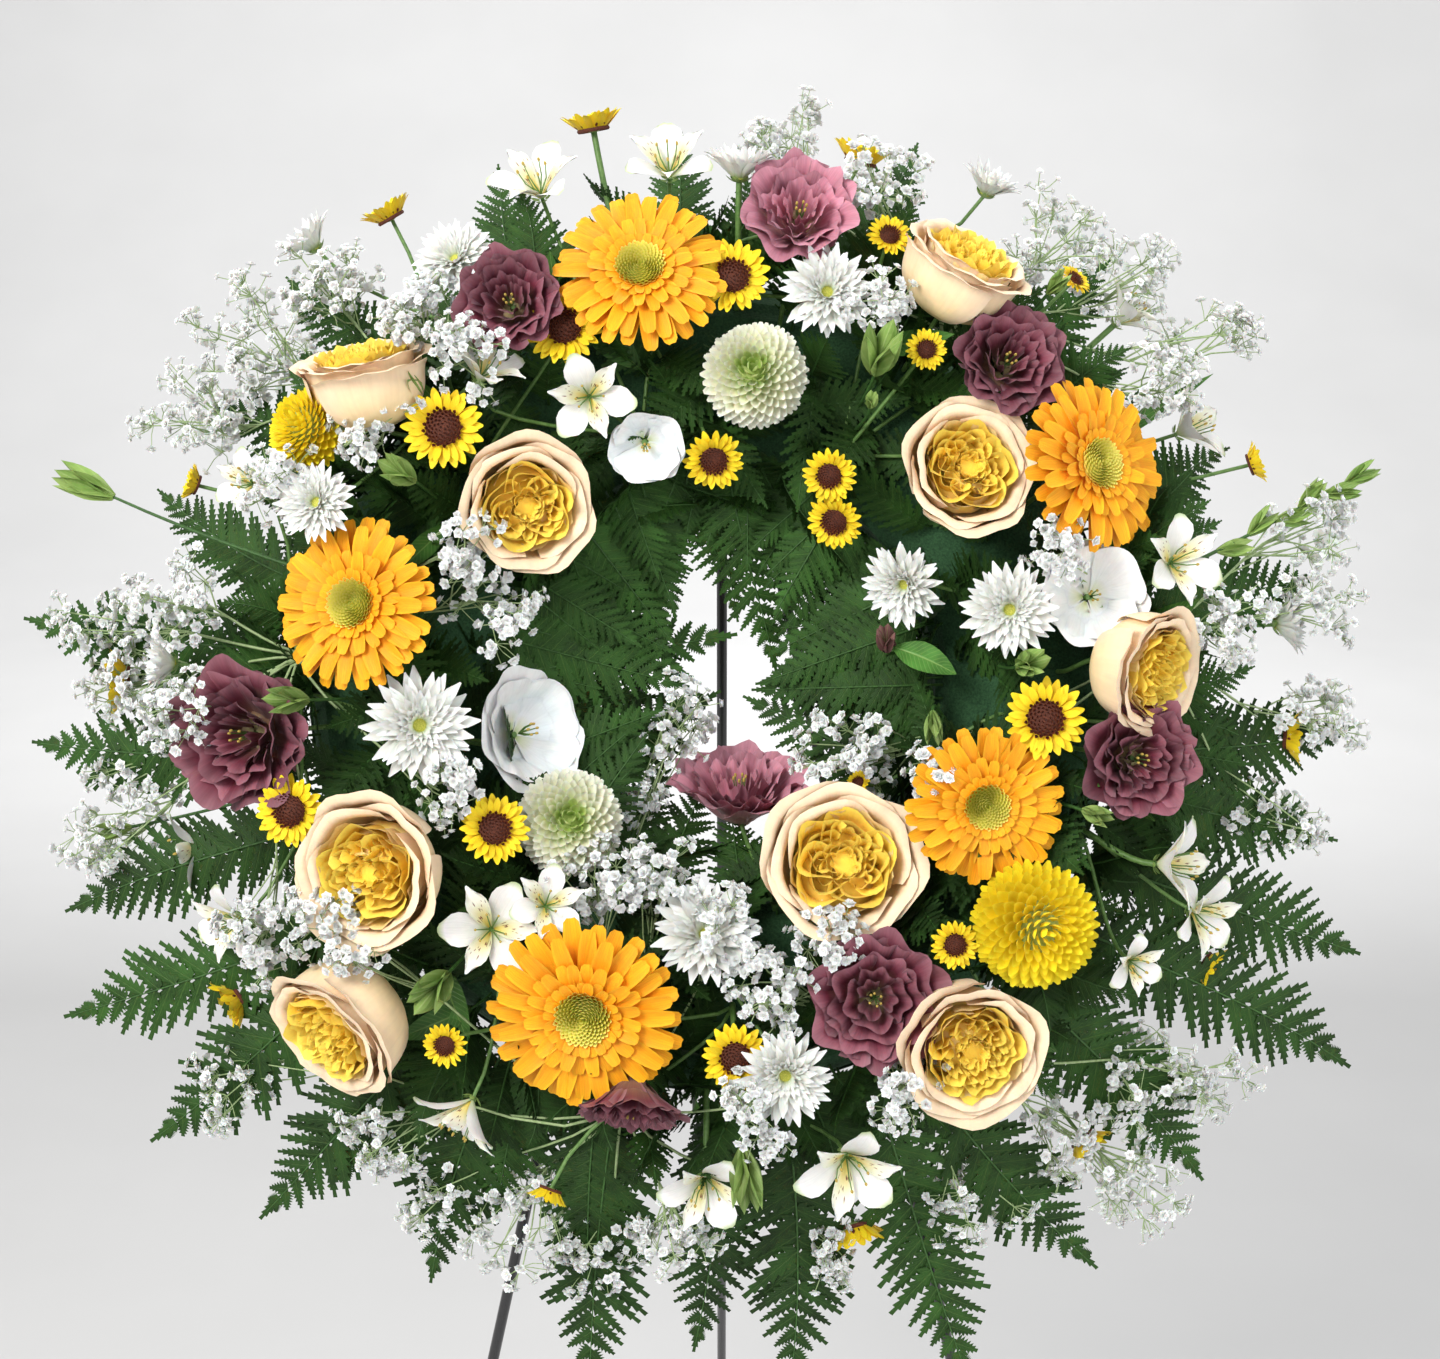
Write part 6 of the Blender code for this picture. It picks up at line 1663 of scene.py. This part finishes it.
class Metalwork:
    """Rods, plates and bars gathered in one mesh."""

    def __init__(self, matrix):
        self.shape = bmesh.new()
        self.matrix = matrix

    def rod(self, points, radius, sides=20):
        """A round rod along points, with domed ends."""
        points = [Vector(point) for point in points]
        rings = []
        for k, point in enumerate(points):
            ahead = (points[k + 1] - point).normalized() if k + 1 < len(points) else Vector()
            behind = (point - points[k - 1]).normalized() if k else Vector()
            along = (ahead + behind).normalized()
            side = along.orthogonal() if not rings else rings[-1][1] - along * rings[-1][1].dot(along)
            side.normalize()
            rings.append((point, side, along, radius))
        start, finish = rings[0], rings[-1]
        inwards, forwards = start[2] * radius * END_ROUNDING, finish[2] * radius * END_ROUNDING
        nose = [(start[0] + inwards * (1 - h), *start[1:3], radius * r) for h, r in END_RINGS]
        tail = [(finish[0] - forwards * (1 - h), *finish[1:3], radius * r) for h, r in END_RINGS[::-1]]
        rings[0] = (start[0] + inwards, *start[1:])
        rings[-1] = (finish[0] - forwards, *finish[1:])
        rings = nose + rings + tail
        loops = []
        for point, side, along, size in rings:
            other = along.cross(side)
            spots = []
            for i in range(sides):
                turn = math.tau * i / sides
                spot = point + (side * math.cos(turn) + other * math.sin(turn)) * size
                spots.append(self.shape.verts.new(self.matrix @ spot))
            loops.append(spots)
        for a, b in zip(loops, loops[1:]):
            for i in range(sides):
                j = (i + 1) % sides
                self.shape.faces.new((a[i], a[j], b[j], b[i])).smooth = True
        self.shape.faces.new(loops[0][::-1])
        self.shape.faces.new(loops[-1])

    def block(self, centre, size, bevel):
        """A plate or block with its edges rounded."""
        made = bmesh.new()
        bmesh.ops.create_cube(made, size=1, matrix=Matrix.Translation(centre) @ Matrix.Diagonal((*size, 1)))
        bmesh.ops.bevel(made, geom=made.edges[:], offset=bevel, segments=3, profile=0.5, affect="EDGES")
        made.transform(self.matrix)
        mesh = bpy.data.meshes.new("block")
        made.to_mesh(mesh)
        made.free()
        self.shape.from_mesh(mesh)
        bpy.data.meshes.remove(mesh)

    def cut_at_floor(self):
        """Cuts everything level at the floor and closes the cut ends."""
        geometry = self.shape.verts[:] + self.shape.edges[:] + self.shape.faces[:]
        cut = bmesh.ops.bisect_plane(
            self.shape, geom=geometry, plane_co=(0, 0, 0.00002), plane_no=(0, 0, -1), clear_outer=True,
        )
        edges = [item for item in cut["geom_cut"] if isinstance(item, bmesh.types.BMEdge)]
        bmesh.ops.holes_fill(self.shape, edges=edges)

    def mesh(self, name):
        bmesh.ops.recalc_face_normals(self.shape, faces=self.shape.faces)
        mesh = bpy.data.meshes.new(name)
        self.shape.to_mesh(mesh)
        self.shape.free()
        return mesh


def steel():
    made = Nodes("black_wire", roughness=0.38, coat=0.35)
    wire = tuple(bpy.context.scene.wreath_colours.wire)
    grain = made.noise(900, 4.0)
    colour = made.ramp(grain, [(0.3, blend(wire, (0, 0, 0), 0.6)), (0.7, wire)])
    wear = made.ramp(made.noise(55, 6.0), [(0.64, (0, 0, 0)), (0.72, (1, 1, 1))])
    colour = made.mix(made.math("MULTIPLY", wear, 0.25), colour, (0.06, 0.055, 0.05))
    rough = made.ramp(grain, [(0.2, (0.30, 0.30, 0.30)), (0.8, (0.48, 0.48, 0.48))])
    made.link(rough, made.shader.inputs["Roughness"])
    return made.finish(colour, grain, 0.15, 0.0002)


def stand_matrix():
    return wreath_matrix() @ Matrix.Translation((EASEL_RIGHT_OF_RING, 0, 0))


WELD = 0.5 * MM
RIVET_SPACING = 9 * MM


def make_easel(material):
    """The easel's two front legs, cross bar, crown plate with the hinge's ears and pin, and hook."""
    work = Metalwork(stand_matrix())
    foot = -RING_HEIGHT_ON_SLOPE - 30 * MM
    for side in (-1, 1):
        top = (side * LEG_TOP_HALF_SPACING, LEG_PLANE, APEX_ABOVE_RING)
        spread = side * (LEG_TOP_HALF_SPACING + (APEX_ABOVE_RING - foot) * math.tan(SPLAY))
        work.rod([top, (spread, LEG_PLANE, foot)], ROD_RADIUS, 28)
    bar_z = CROSS_BAR_ON_SLOPE - RING_HEIGHT_ON_SLOPE
    reach = LEG_TOP_HALF_SPACING + (APEX_ABOVE_RING - bar_z) * math.tan(SPLAY)
    work.rod([(-reach, LEG_PLANE, bar_z), (reach, LEG_PLANE, bar_z)], CROSS_BAR_RADIUS, 24)
    hinge_z = APEX_ABOVE_RING - CROWN_BELOW_APEX
    crown_y = LEG_PLANE + ROD_RADIUS + CROWN_SIZE[1] / 2 - WELD
    work.block((0, crown_y, hinge_z), CROWN_SIZE, 1.0 * MM)
    ear_y = crown_y + CROWN_SIZE[1] / 2 + EAR_SIZE[1] / 2 - WELD
    for side in (-1, 1):
        work.block((side * EAR_HALF_SPACING, ear_y, hinge_z), EAR_SIZE, 0.9 * MM)
        for high in (-RIVET_SPACING, RIVET_SPACING):
            spot = Vector((side * RIVET_SPACING, crown_y + 1.2 * MM, hinge_z + high))
            work.rod([spot, spot + Vector((0, 1.6 * MM, 0))], 2.2 * MM, 16)
    pin_y = LEG_PLANE + HINGE_BEHIND_LEGS
    work.rod([(-PIN_LENGTH / 2, pin_y, hinge_z), (PIN_LENGTH / 2, pin_y, hinge_z)], PIN_RADIUS, 20)
    for side in (-1, 1):
        inner = Vector((side * (PIN_LENGTH / 2 - 1.6 * MM), pin_y, hinge_z))
        work.rod([inner, inner + Vector((side * 1.5 * MM, 0, 0))], 3.1 * MM, 20)
    rest_z = RING_RADIUS - TRAY_HALF_WIDTH - HOOK_RADIUS - 0.45 * MM
    hook_x = -EASEL_RIGHT_OF_RING
    bend = 5 * MM
    lip_y = -HOOK_LENGTH - 4 * MM
    points = [(hook_x, crown_y, hinge_z - CROWN_SIZE[2] / 2 + 6 * MM), (hook_x, crown_y, rest_z + bend)]
    for k in range(1, 7):
        turn = math.pi / 2 * k / 6
        points.append((hook_x, crown_y - bend * (1 - math.cos(turn)), rest_z + bend * (1 - math.sin(turn))))
    points += [(hook_x, -HOOK_LENGTH, rest_z), (hook_x, lip_y + 1 * MM, rest_z + 1.5 * MM)]
    points.append((hook_x, lip_y, rest_z + HOOK_LIP))
    work.rod(points, HOOK_RADIUS, 20)
    work.cut_at_floor()
    as_piece("easel_front", work.mesh("easel_front"), material, BODY, "easel_frame")


# Past the floor, where it is cut level
REAR_LEG_LENGTH = 1.35


def make_rear_leg(material):
    """The rear leg with the barrel that turns on the pin."""
    pivot = Vector((0, LEG_PLANE + HINGE_BEHIND_LEGS, APEX_ABOVE_RING - CROWN_BELOW_APEX))
    place = Matrix.Translation(stand_matrix() @ pivot) @ Matrix.Rotation(REAR_LEG_ANGLE, 4, "X")
    work = Metalwork(place)
    half = BARREL_LENGTH / 2
    work.rod([(-half, 0, 0), (half, 0, 0)], BARREL_RADIUS, 28)
    work.rod([(0, 0, HEEL_LENGTH), (0, 0, -REAR_LEG_LENGTH)], ROD_RADIUS, 28)
    work.cut_at_floor()
    as_piece("easel_back", work.mesh("easel_back"), material, "rear_leg", "easel_rear_leg")


# The stage


def area_light(name, place, aim, size, power, colour):
    light = bpy.data.lights.new(name, "AREA")
    light.shape = "DISK"
    light.size = size
    light.energy = power
    light.color = colour
    thing = bpy.data.objects.new(name, light)
    thing.location = place
    thing.rotation_mode = "QUATERNION"
    thing.rotation_quaternion = (Vector(aim) - Vector(place)).to_track_quat("-Z", "Y")
    bpy.context.scene.collection.objects.link(thing)


STAGE_HALF = 9.0
SWEEP_START = 4.0
SWEEP_RADIUS = 3.0
# The other lights' power as shares of the key light's
FILL_SHARE = 0.28
BACKDROP_SHARE = 1.4
TOP_SHARE = 0.3


def make_stage(sizes):
    """A pale floor that sweeps up behind, soft light from the upper left, and the photograph's view."""
    rows = [(-STAGE_HALF, 0.0), (SWEEP_START, 0.0)]
    for k in range(1, 11):
        turn = math.radians(9 * k)
        rows.append((SWEEP_START + SWEEP_RADIUS * math.sin(turn), SWEEP_RADIUS * (1 - math.cos(turn))))
    rows.append((SWEEP_START + SWEEP_RADIUS, STAGE_HALF))
    mesh = bpy.data.meshes.new("sweep")
    points = [(x, y, z) for y, z in rows for x in (-STAGE_HALF, STAGE_HALF)]
    faces = [(2 * k, 2 * k + 1, 2 * k + 3, 2 * k + 2) for k in range(len(rows) - 1)]
    mesh.from_pydata(points, [], faces)
    mesh.shade_smooth()
    floor = bpy.data.objects.new("sweep", mesh)
    made = Nodes("paper_sweep", roughness=0.9)
    colour = made.ramp(made.noise(2.0, 3.0), [(0.3, (0.58, 0.58, 0.58)), (0.7, (0.61, 0.61, 0.61))])
    mesh.materials.append(made.finish(colour))
    bpy.context.scene.collection.objects.link(floor)

    bpy.context.scene.view_settings.view_transform = "Standard"
    world = bpy.data.worlds.new("studio")
    world.use_nodes = True
    sky = world.node_tree.nodes["Background"]
    sky.inputs["Color"].default_value = (1, 1, 1, 1)
    sky.inputs["Strength"].default_value = sizes.sky
    bpy.context.scene.world = world

    centre = wreath_matrix().translation
    power = sizes.key_power
    area_light("key", centre + Vector((-1.5, -2.1, 1.7)), centre, 1.5, power, (1, 0.98, 0.95))
    area_light("fill", centre + Vector((2.1, -1.9, 0.4)), centre, 2.2, power * FILL_SHARE, (0.97, 0.98, 1))
    area_light("backdrop", (0, 2.6, 2.6), (0, 7, 1.4), 3.0, power * BACKDROP_SHARE, WHITE)
    area_light("top", centre + Vector((0.2, 0.9, 1.8)), centre, 1.6, power * TOP_SHARE, WHITE)

    lens = bpy.data.cameras.new("photograph")
    lens.sensor_fit = "HORIZONTAL"
    lens.angle = 2 * math.atan(PHOTO_WIDTH / 2 / VIEW_DISTANCE)
    camera = bpy.data.objects.new("photograph", lens)
    place = Matrix.Translation((PHOTO_CENTRE[0], -VIEW_DISTANCE - FRONT_DEPTH, PHOTO_CENTRE[1]))
    camera.matrix_world = wreath_matrix() @ place @ Matrix.Rotation(math.pi / 2, 4, "X")
    bpy.context.scene.collection.objects.link(camera)
    bpy.context.scene.camera = camera


# The add-on


def colour_property(name, description, default):
    return bpy.props.FloatVectorProperty(
        name=name, description=description, default=default, subtype="COLOR", size=3, min=0, max=1,
    )


class WreathColours(bpy.types.PropertyGroup):
    rose_rim: colour_property("Rose rim", "Outer petals and rims of the roses", (0.95, 0.73, 0.51))
    rose_heart: colour_property("Rose heart", "Folded petals in the heart of the roses", (0.98, 0.74, 0.11))
    gerbera: colour_property("Gerbera", "Rays of the gerberas", (0.97, 0.43, 0.006))
    lisianthus: colour_property("Lisianthus", "Petals of the dark lisianthus", (0.175, 0.026, 0.050))
    pale_lisianthus: colour_property("Pale lisianthus", "Petals of the pale lisianthus", (0.52, 0.19, 0.26))
    yellow: colour_property("Yellow", "Rays of the yellow daisies and pompoms", (0.97, 0.66, 0.012))
    white: colour_property("White", "Petals of the white flowers", (0.86, 0.86, 0.86))
    fern: colour_property("Fern", "Fronds in the light", (0.032, 0.105, 0.014))
    leaf: colour_property("Leaf", "Plain leaves in the light", (0.060, 0.175, 0.030))
    wire: colour_property("Wire", "Coated wire of the easel", (0.020, 0.020, 0.022))
    tray: colour_property("Tray", "Plastic tray under the foam", (0.016, 0.060, 0.022))


class WreathSizes(bpy.types.PropertyGroup):
    short_fronds: bpy.props.IntProperty(
        name="Short fronds", description="Fronds between the flowers, for each sixth", default=58, min=0,
    )
    rim_fronds: bpy.props.IntProperty(
        name="Rim fronds", description="More fronds round the rim, for each sixth", default=12, min=0,
    )
    inner_fronds: bpy.props.IntProperty(
        name="Inner fronds", description="More fronds towards the middle, for each sixth", default=16, min=0,
    )
    leaves: bpy.props.IntProperty(
        name="Leaves", description="Plain leaves in each sixth of the ring", default=9, min=0,
    )
    floret_radius: bpy.props.FloatProperty(
        name="Floret", description="Radius of a floret of baby's breath", default=4.0 * MM,
        unit="LENGTH", precision=4,
    )
    key_power: bpy.props.FloatProperty(
        name="Key light", description="Power of the main light", default=88.0, unit="POWER",
    )
    sky: bpy.props.FloatProperty(
        name="Sky", description="Strength of the light from all round", default=0.74, min=0,
    )


def seeded(family, number):
    return random.Random(f"{SEED} {family} {number}")


class WREATH_OT_parts(bpy.types.Operator):
    """Makes the petals, leaves and florets that the pieces repeat, in their colours"""

    bl_idname = "wreath.parts"
    bl_label = "Petals and leaves"

    def execute(self, context):
        fill_store()
        return {"FINISHED"}


class WREATH_OT_roses(bpy.types.Operator):
    """Makes the nine roses"""

    bl_idname = "wreath.roses"
    bl_label = "Roses"

    def execute(self, context):
        for k, spec in enumerate(ROSES):
            single(f"rose_{k + 1}", k, spec, rose, -0.6, seeded("rose", k))
        return {"FINISHED"}


class WREATH_OT_gerberas(bpy.types.Operator):
    """Makes the gerberas"""

    bl_idname = "wreath.gerberas"
    bl_label = "Gerberas"

    def execute(self, context):
        for k, spec in enumerate(GERBERAS):
            single(f"gerbera_{k + 1}", k, spec, gerbera, -0.14, seeded("gerbera", k))
        return {"FINISHED"}


class WREATH_OT_lisianthus(bpy.types.Operator):
    """Makes the mauve lisianthus blooms"""

    bl_idname = "wreath.lisianthus"
    bl_label = "Lisianthus"

    def execute(self, context):
        for k, spec in enumerate(LISIANTHUS):
            key = "mauve_pale" if k in PALE_LISIANTHUS else "mauve"

            def draw(bunch, head, radius, rng, key=key):
                ruffled(bunch, head, radius, rng, key)

            single(f"lisianthus_{k + 1}", k, spec, draw, -0.42, seeded("lisianthus", k))
        return {"FINISHED"}


class WREATH_OT_pompoms(bpy.types.Operator):
    """Makes the ball chrysanthemums"""

    bl_idname = "wreath.pompoms"
    bl_label = "Pompoms"

    def execute(self, context):
        for k, spec in enumerate(POMPOMS):
            yellow = k in YELLOW_POMPOMS
            key, core = ("pompom_yellow", "pompom_yellow") if yellow else ("pompom_white", "pompom_green")

            def draw(bunch, head, radius, rng, key=key, core=core):
                pompom(bunch, head, radius, rng, key, core)

            single(f"pompom_{k + 1}", k, spec, draw, -0.5, seeded("pompom", k))
        return {"FINISHED"}


def yellow_head(bunch, head, radius, rng):
    cup = 0
    if is_seen_from_side(head):
        cup = 40
        radius *= 1.25
    daisy(bunch, head, radius, rng, "yellow_ray", "dark_disc", 20, 2, 0.44, cup)


def white_head(bunch, head, radius, rng):
    cup = 6
    if is_seen_from_side(head):
        cup = 36
        radius *= 1.2
    daisy(bunch, head, radius, rng, "white_ray", "green_disc", 24, 5, 0.13, cup)


def is_seen_from_side(head):
    """Whether a head faces out past the rim rather than to the front."""
    return head[1][2] > -0.45


def white_ruffled(bunch, head, radius, rng):
    ruffled(bunch, head, radius, rng, "white_ruffle", SINGLE_BLOOM)


def grow_sprays(family, groups, draw, neck):
    for k, specs in enumerate(groups):
        node = f"{family}_{k + 1}"
        heads = [(spec, draw, neck) for spec in specs]
        if node in WHITE_LISIANTHUS:
            heads.insert(0, (WHITE_LISIANTHUS[node], white_ruffled, -0.42))
        spray(node, heads, seeded(family, k))


class WREATH_OT_yellow_daisies(bpy.types.Operator):
    """Makes the yellow daisies with dark discs"""

    bl_idname = "wreath.yellow_daisies"
    bl_label = "Yellow daisies"

    def execute(self, context):
        grow_sprays("yellow_daisies", YELLOW_SPRAYS, yellow_head, -0.08)
        return {"FINISHED"}


class WREATH_OT_white_daisies(bpy.types.Operator):
    """Makes the white daisies, with the white lisianthus blooms on two of their sprays"""

    bl_idname = "wreath.white_daisies"
    bl_label = "White daisies"

    def execute(self, context):
        grow_sprays("white_daisies", WHITE_SPRAYS, white_head, -0.08)
        return {"FINISHED"}


class WREATH_OT_alstroemeria(bpy.types.Operator):
    """Makes the white alstroemeria sprays"""

    bl_idname = "wreath.alstroemeria"
    bl_label = "Alstroemeria"

    def execute(self, context):
        grow_sprays("alstroemeria", ALSTROEMERIA_SPRAYS, alstroemeria, -0.5)
        return {"FINISHED"}


class WREATH_OT_baby_breath(bpy.types.Operator):
    """Makes the clouds of baby's breath"""

    bl_idname = "wreath.baby_breath"
    bl_label = "Baby's breath"

    def execute(self, context):
        for number in range(len(CLOUDS)):
            grow_baby_breath(number, context.scene.wreath_sizes)
        return {"FINISHED"}


class WREATH_OT_greenery(bpy.types.Operator):
    """Makes the fern, leaves and buds"""

    bl_idname = "wreath.greenery"
    bl_label = "Greenery"

    def execute(self, context):
        for sector in range(SECTORS):
            grow_greenery(sector, context.scene.wreath_sizes)
        return {"FINISHED"}


class WREATH_OT_base(bpy.types.Operator):
    """Makes the foam ring and its tray"""

    bl_idname = "wreath.base"
    bl_label = "Foam and tray"

    def execute(self, context):
        make_foam()
        make_tray()
        return {"FINISHED"}


class WREATH_OT_easel(bpy.types.Operator):
    """Makes the folding wire easel"""

    bl_idname = "wreath.easel"
    bl_label = "Easel"

    def execute(self, context):
        material = steel()
        make_easel(material)
        make_rear_leg(material)
        return {"FINISHED"}


class WREATH_OT_stage(bpy.types.Operator):
    """Makes the floor, lights and camera"""

    bl_idname = "wreath.stage"
    bl_label = "Stage"

    def execute(self, context):
        make_stage(context.scene.wreath_sizes)
        return {"FINISHED"}


PIECES = (
    WREATH_OT_parts, WREATH_OT_base, WREATH_OT_easel, WREATH_OT_roses, WREATH_OT_gerberas,
    WREATH_OT_lisianthus,
    WREATH_OT_pompoms, WREATH_OT_yellow_daisies, WREATH_OT_white_daisies, WREATH_OT_alstroemeria,
    WREATH_OT_baby_breath, WREATH_OT_greenery, WREATH_OT_stage,
)


class WREATH_PT_panel(bpy.types.Panel):
    """Lists the pieces and their sizes"""

    bl_label = "Funeral wreath"
    bl_idname = "WREATH_PT_panel"
    bl_space_type = "VIEW_3D"
    bl_region_type = "UI"
    bl_category = "Wreath"

    def draw(self, context):
        for piece in PIECES:
            self.layout.operator(piece.bl_idname)
        for group in (context.scene.wreath_sizes, context.scene.wreath_colours):
            for name in type(group).__annotations__:
                self.layout.prop(group, name)


CLASSES = (WreathColours, WreathSizes, *PIECES, WREATH_PT_panel)


def register():
    for item in CLASSES:
        bpy.utils.register_class(item)
    bpy.types.Scene.wreath_sizes = bpy.props.PointerProperty(type=WreathSizes)
    bpy.types.Scene.wreath_colours = bpy.props.PointerProperty(type=WreathColours)


def unregister():
    del bpy.types.Scene.wreath_sizes
    del bpy.types.Scene.wreath_colours
    for item in reversed(CLASSES):
        bpy.utils.unregister_class(item)


def main():
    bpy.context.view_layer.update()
    register()
    for piece in PIECES:
        family, name = piece.bl_idname.split(".")
        getattr(getattr(bpy.ops, family), name)()
    STORE.clear()


if __name__ == "__main__":
    main()
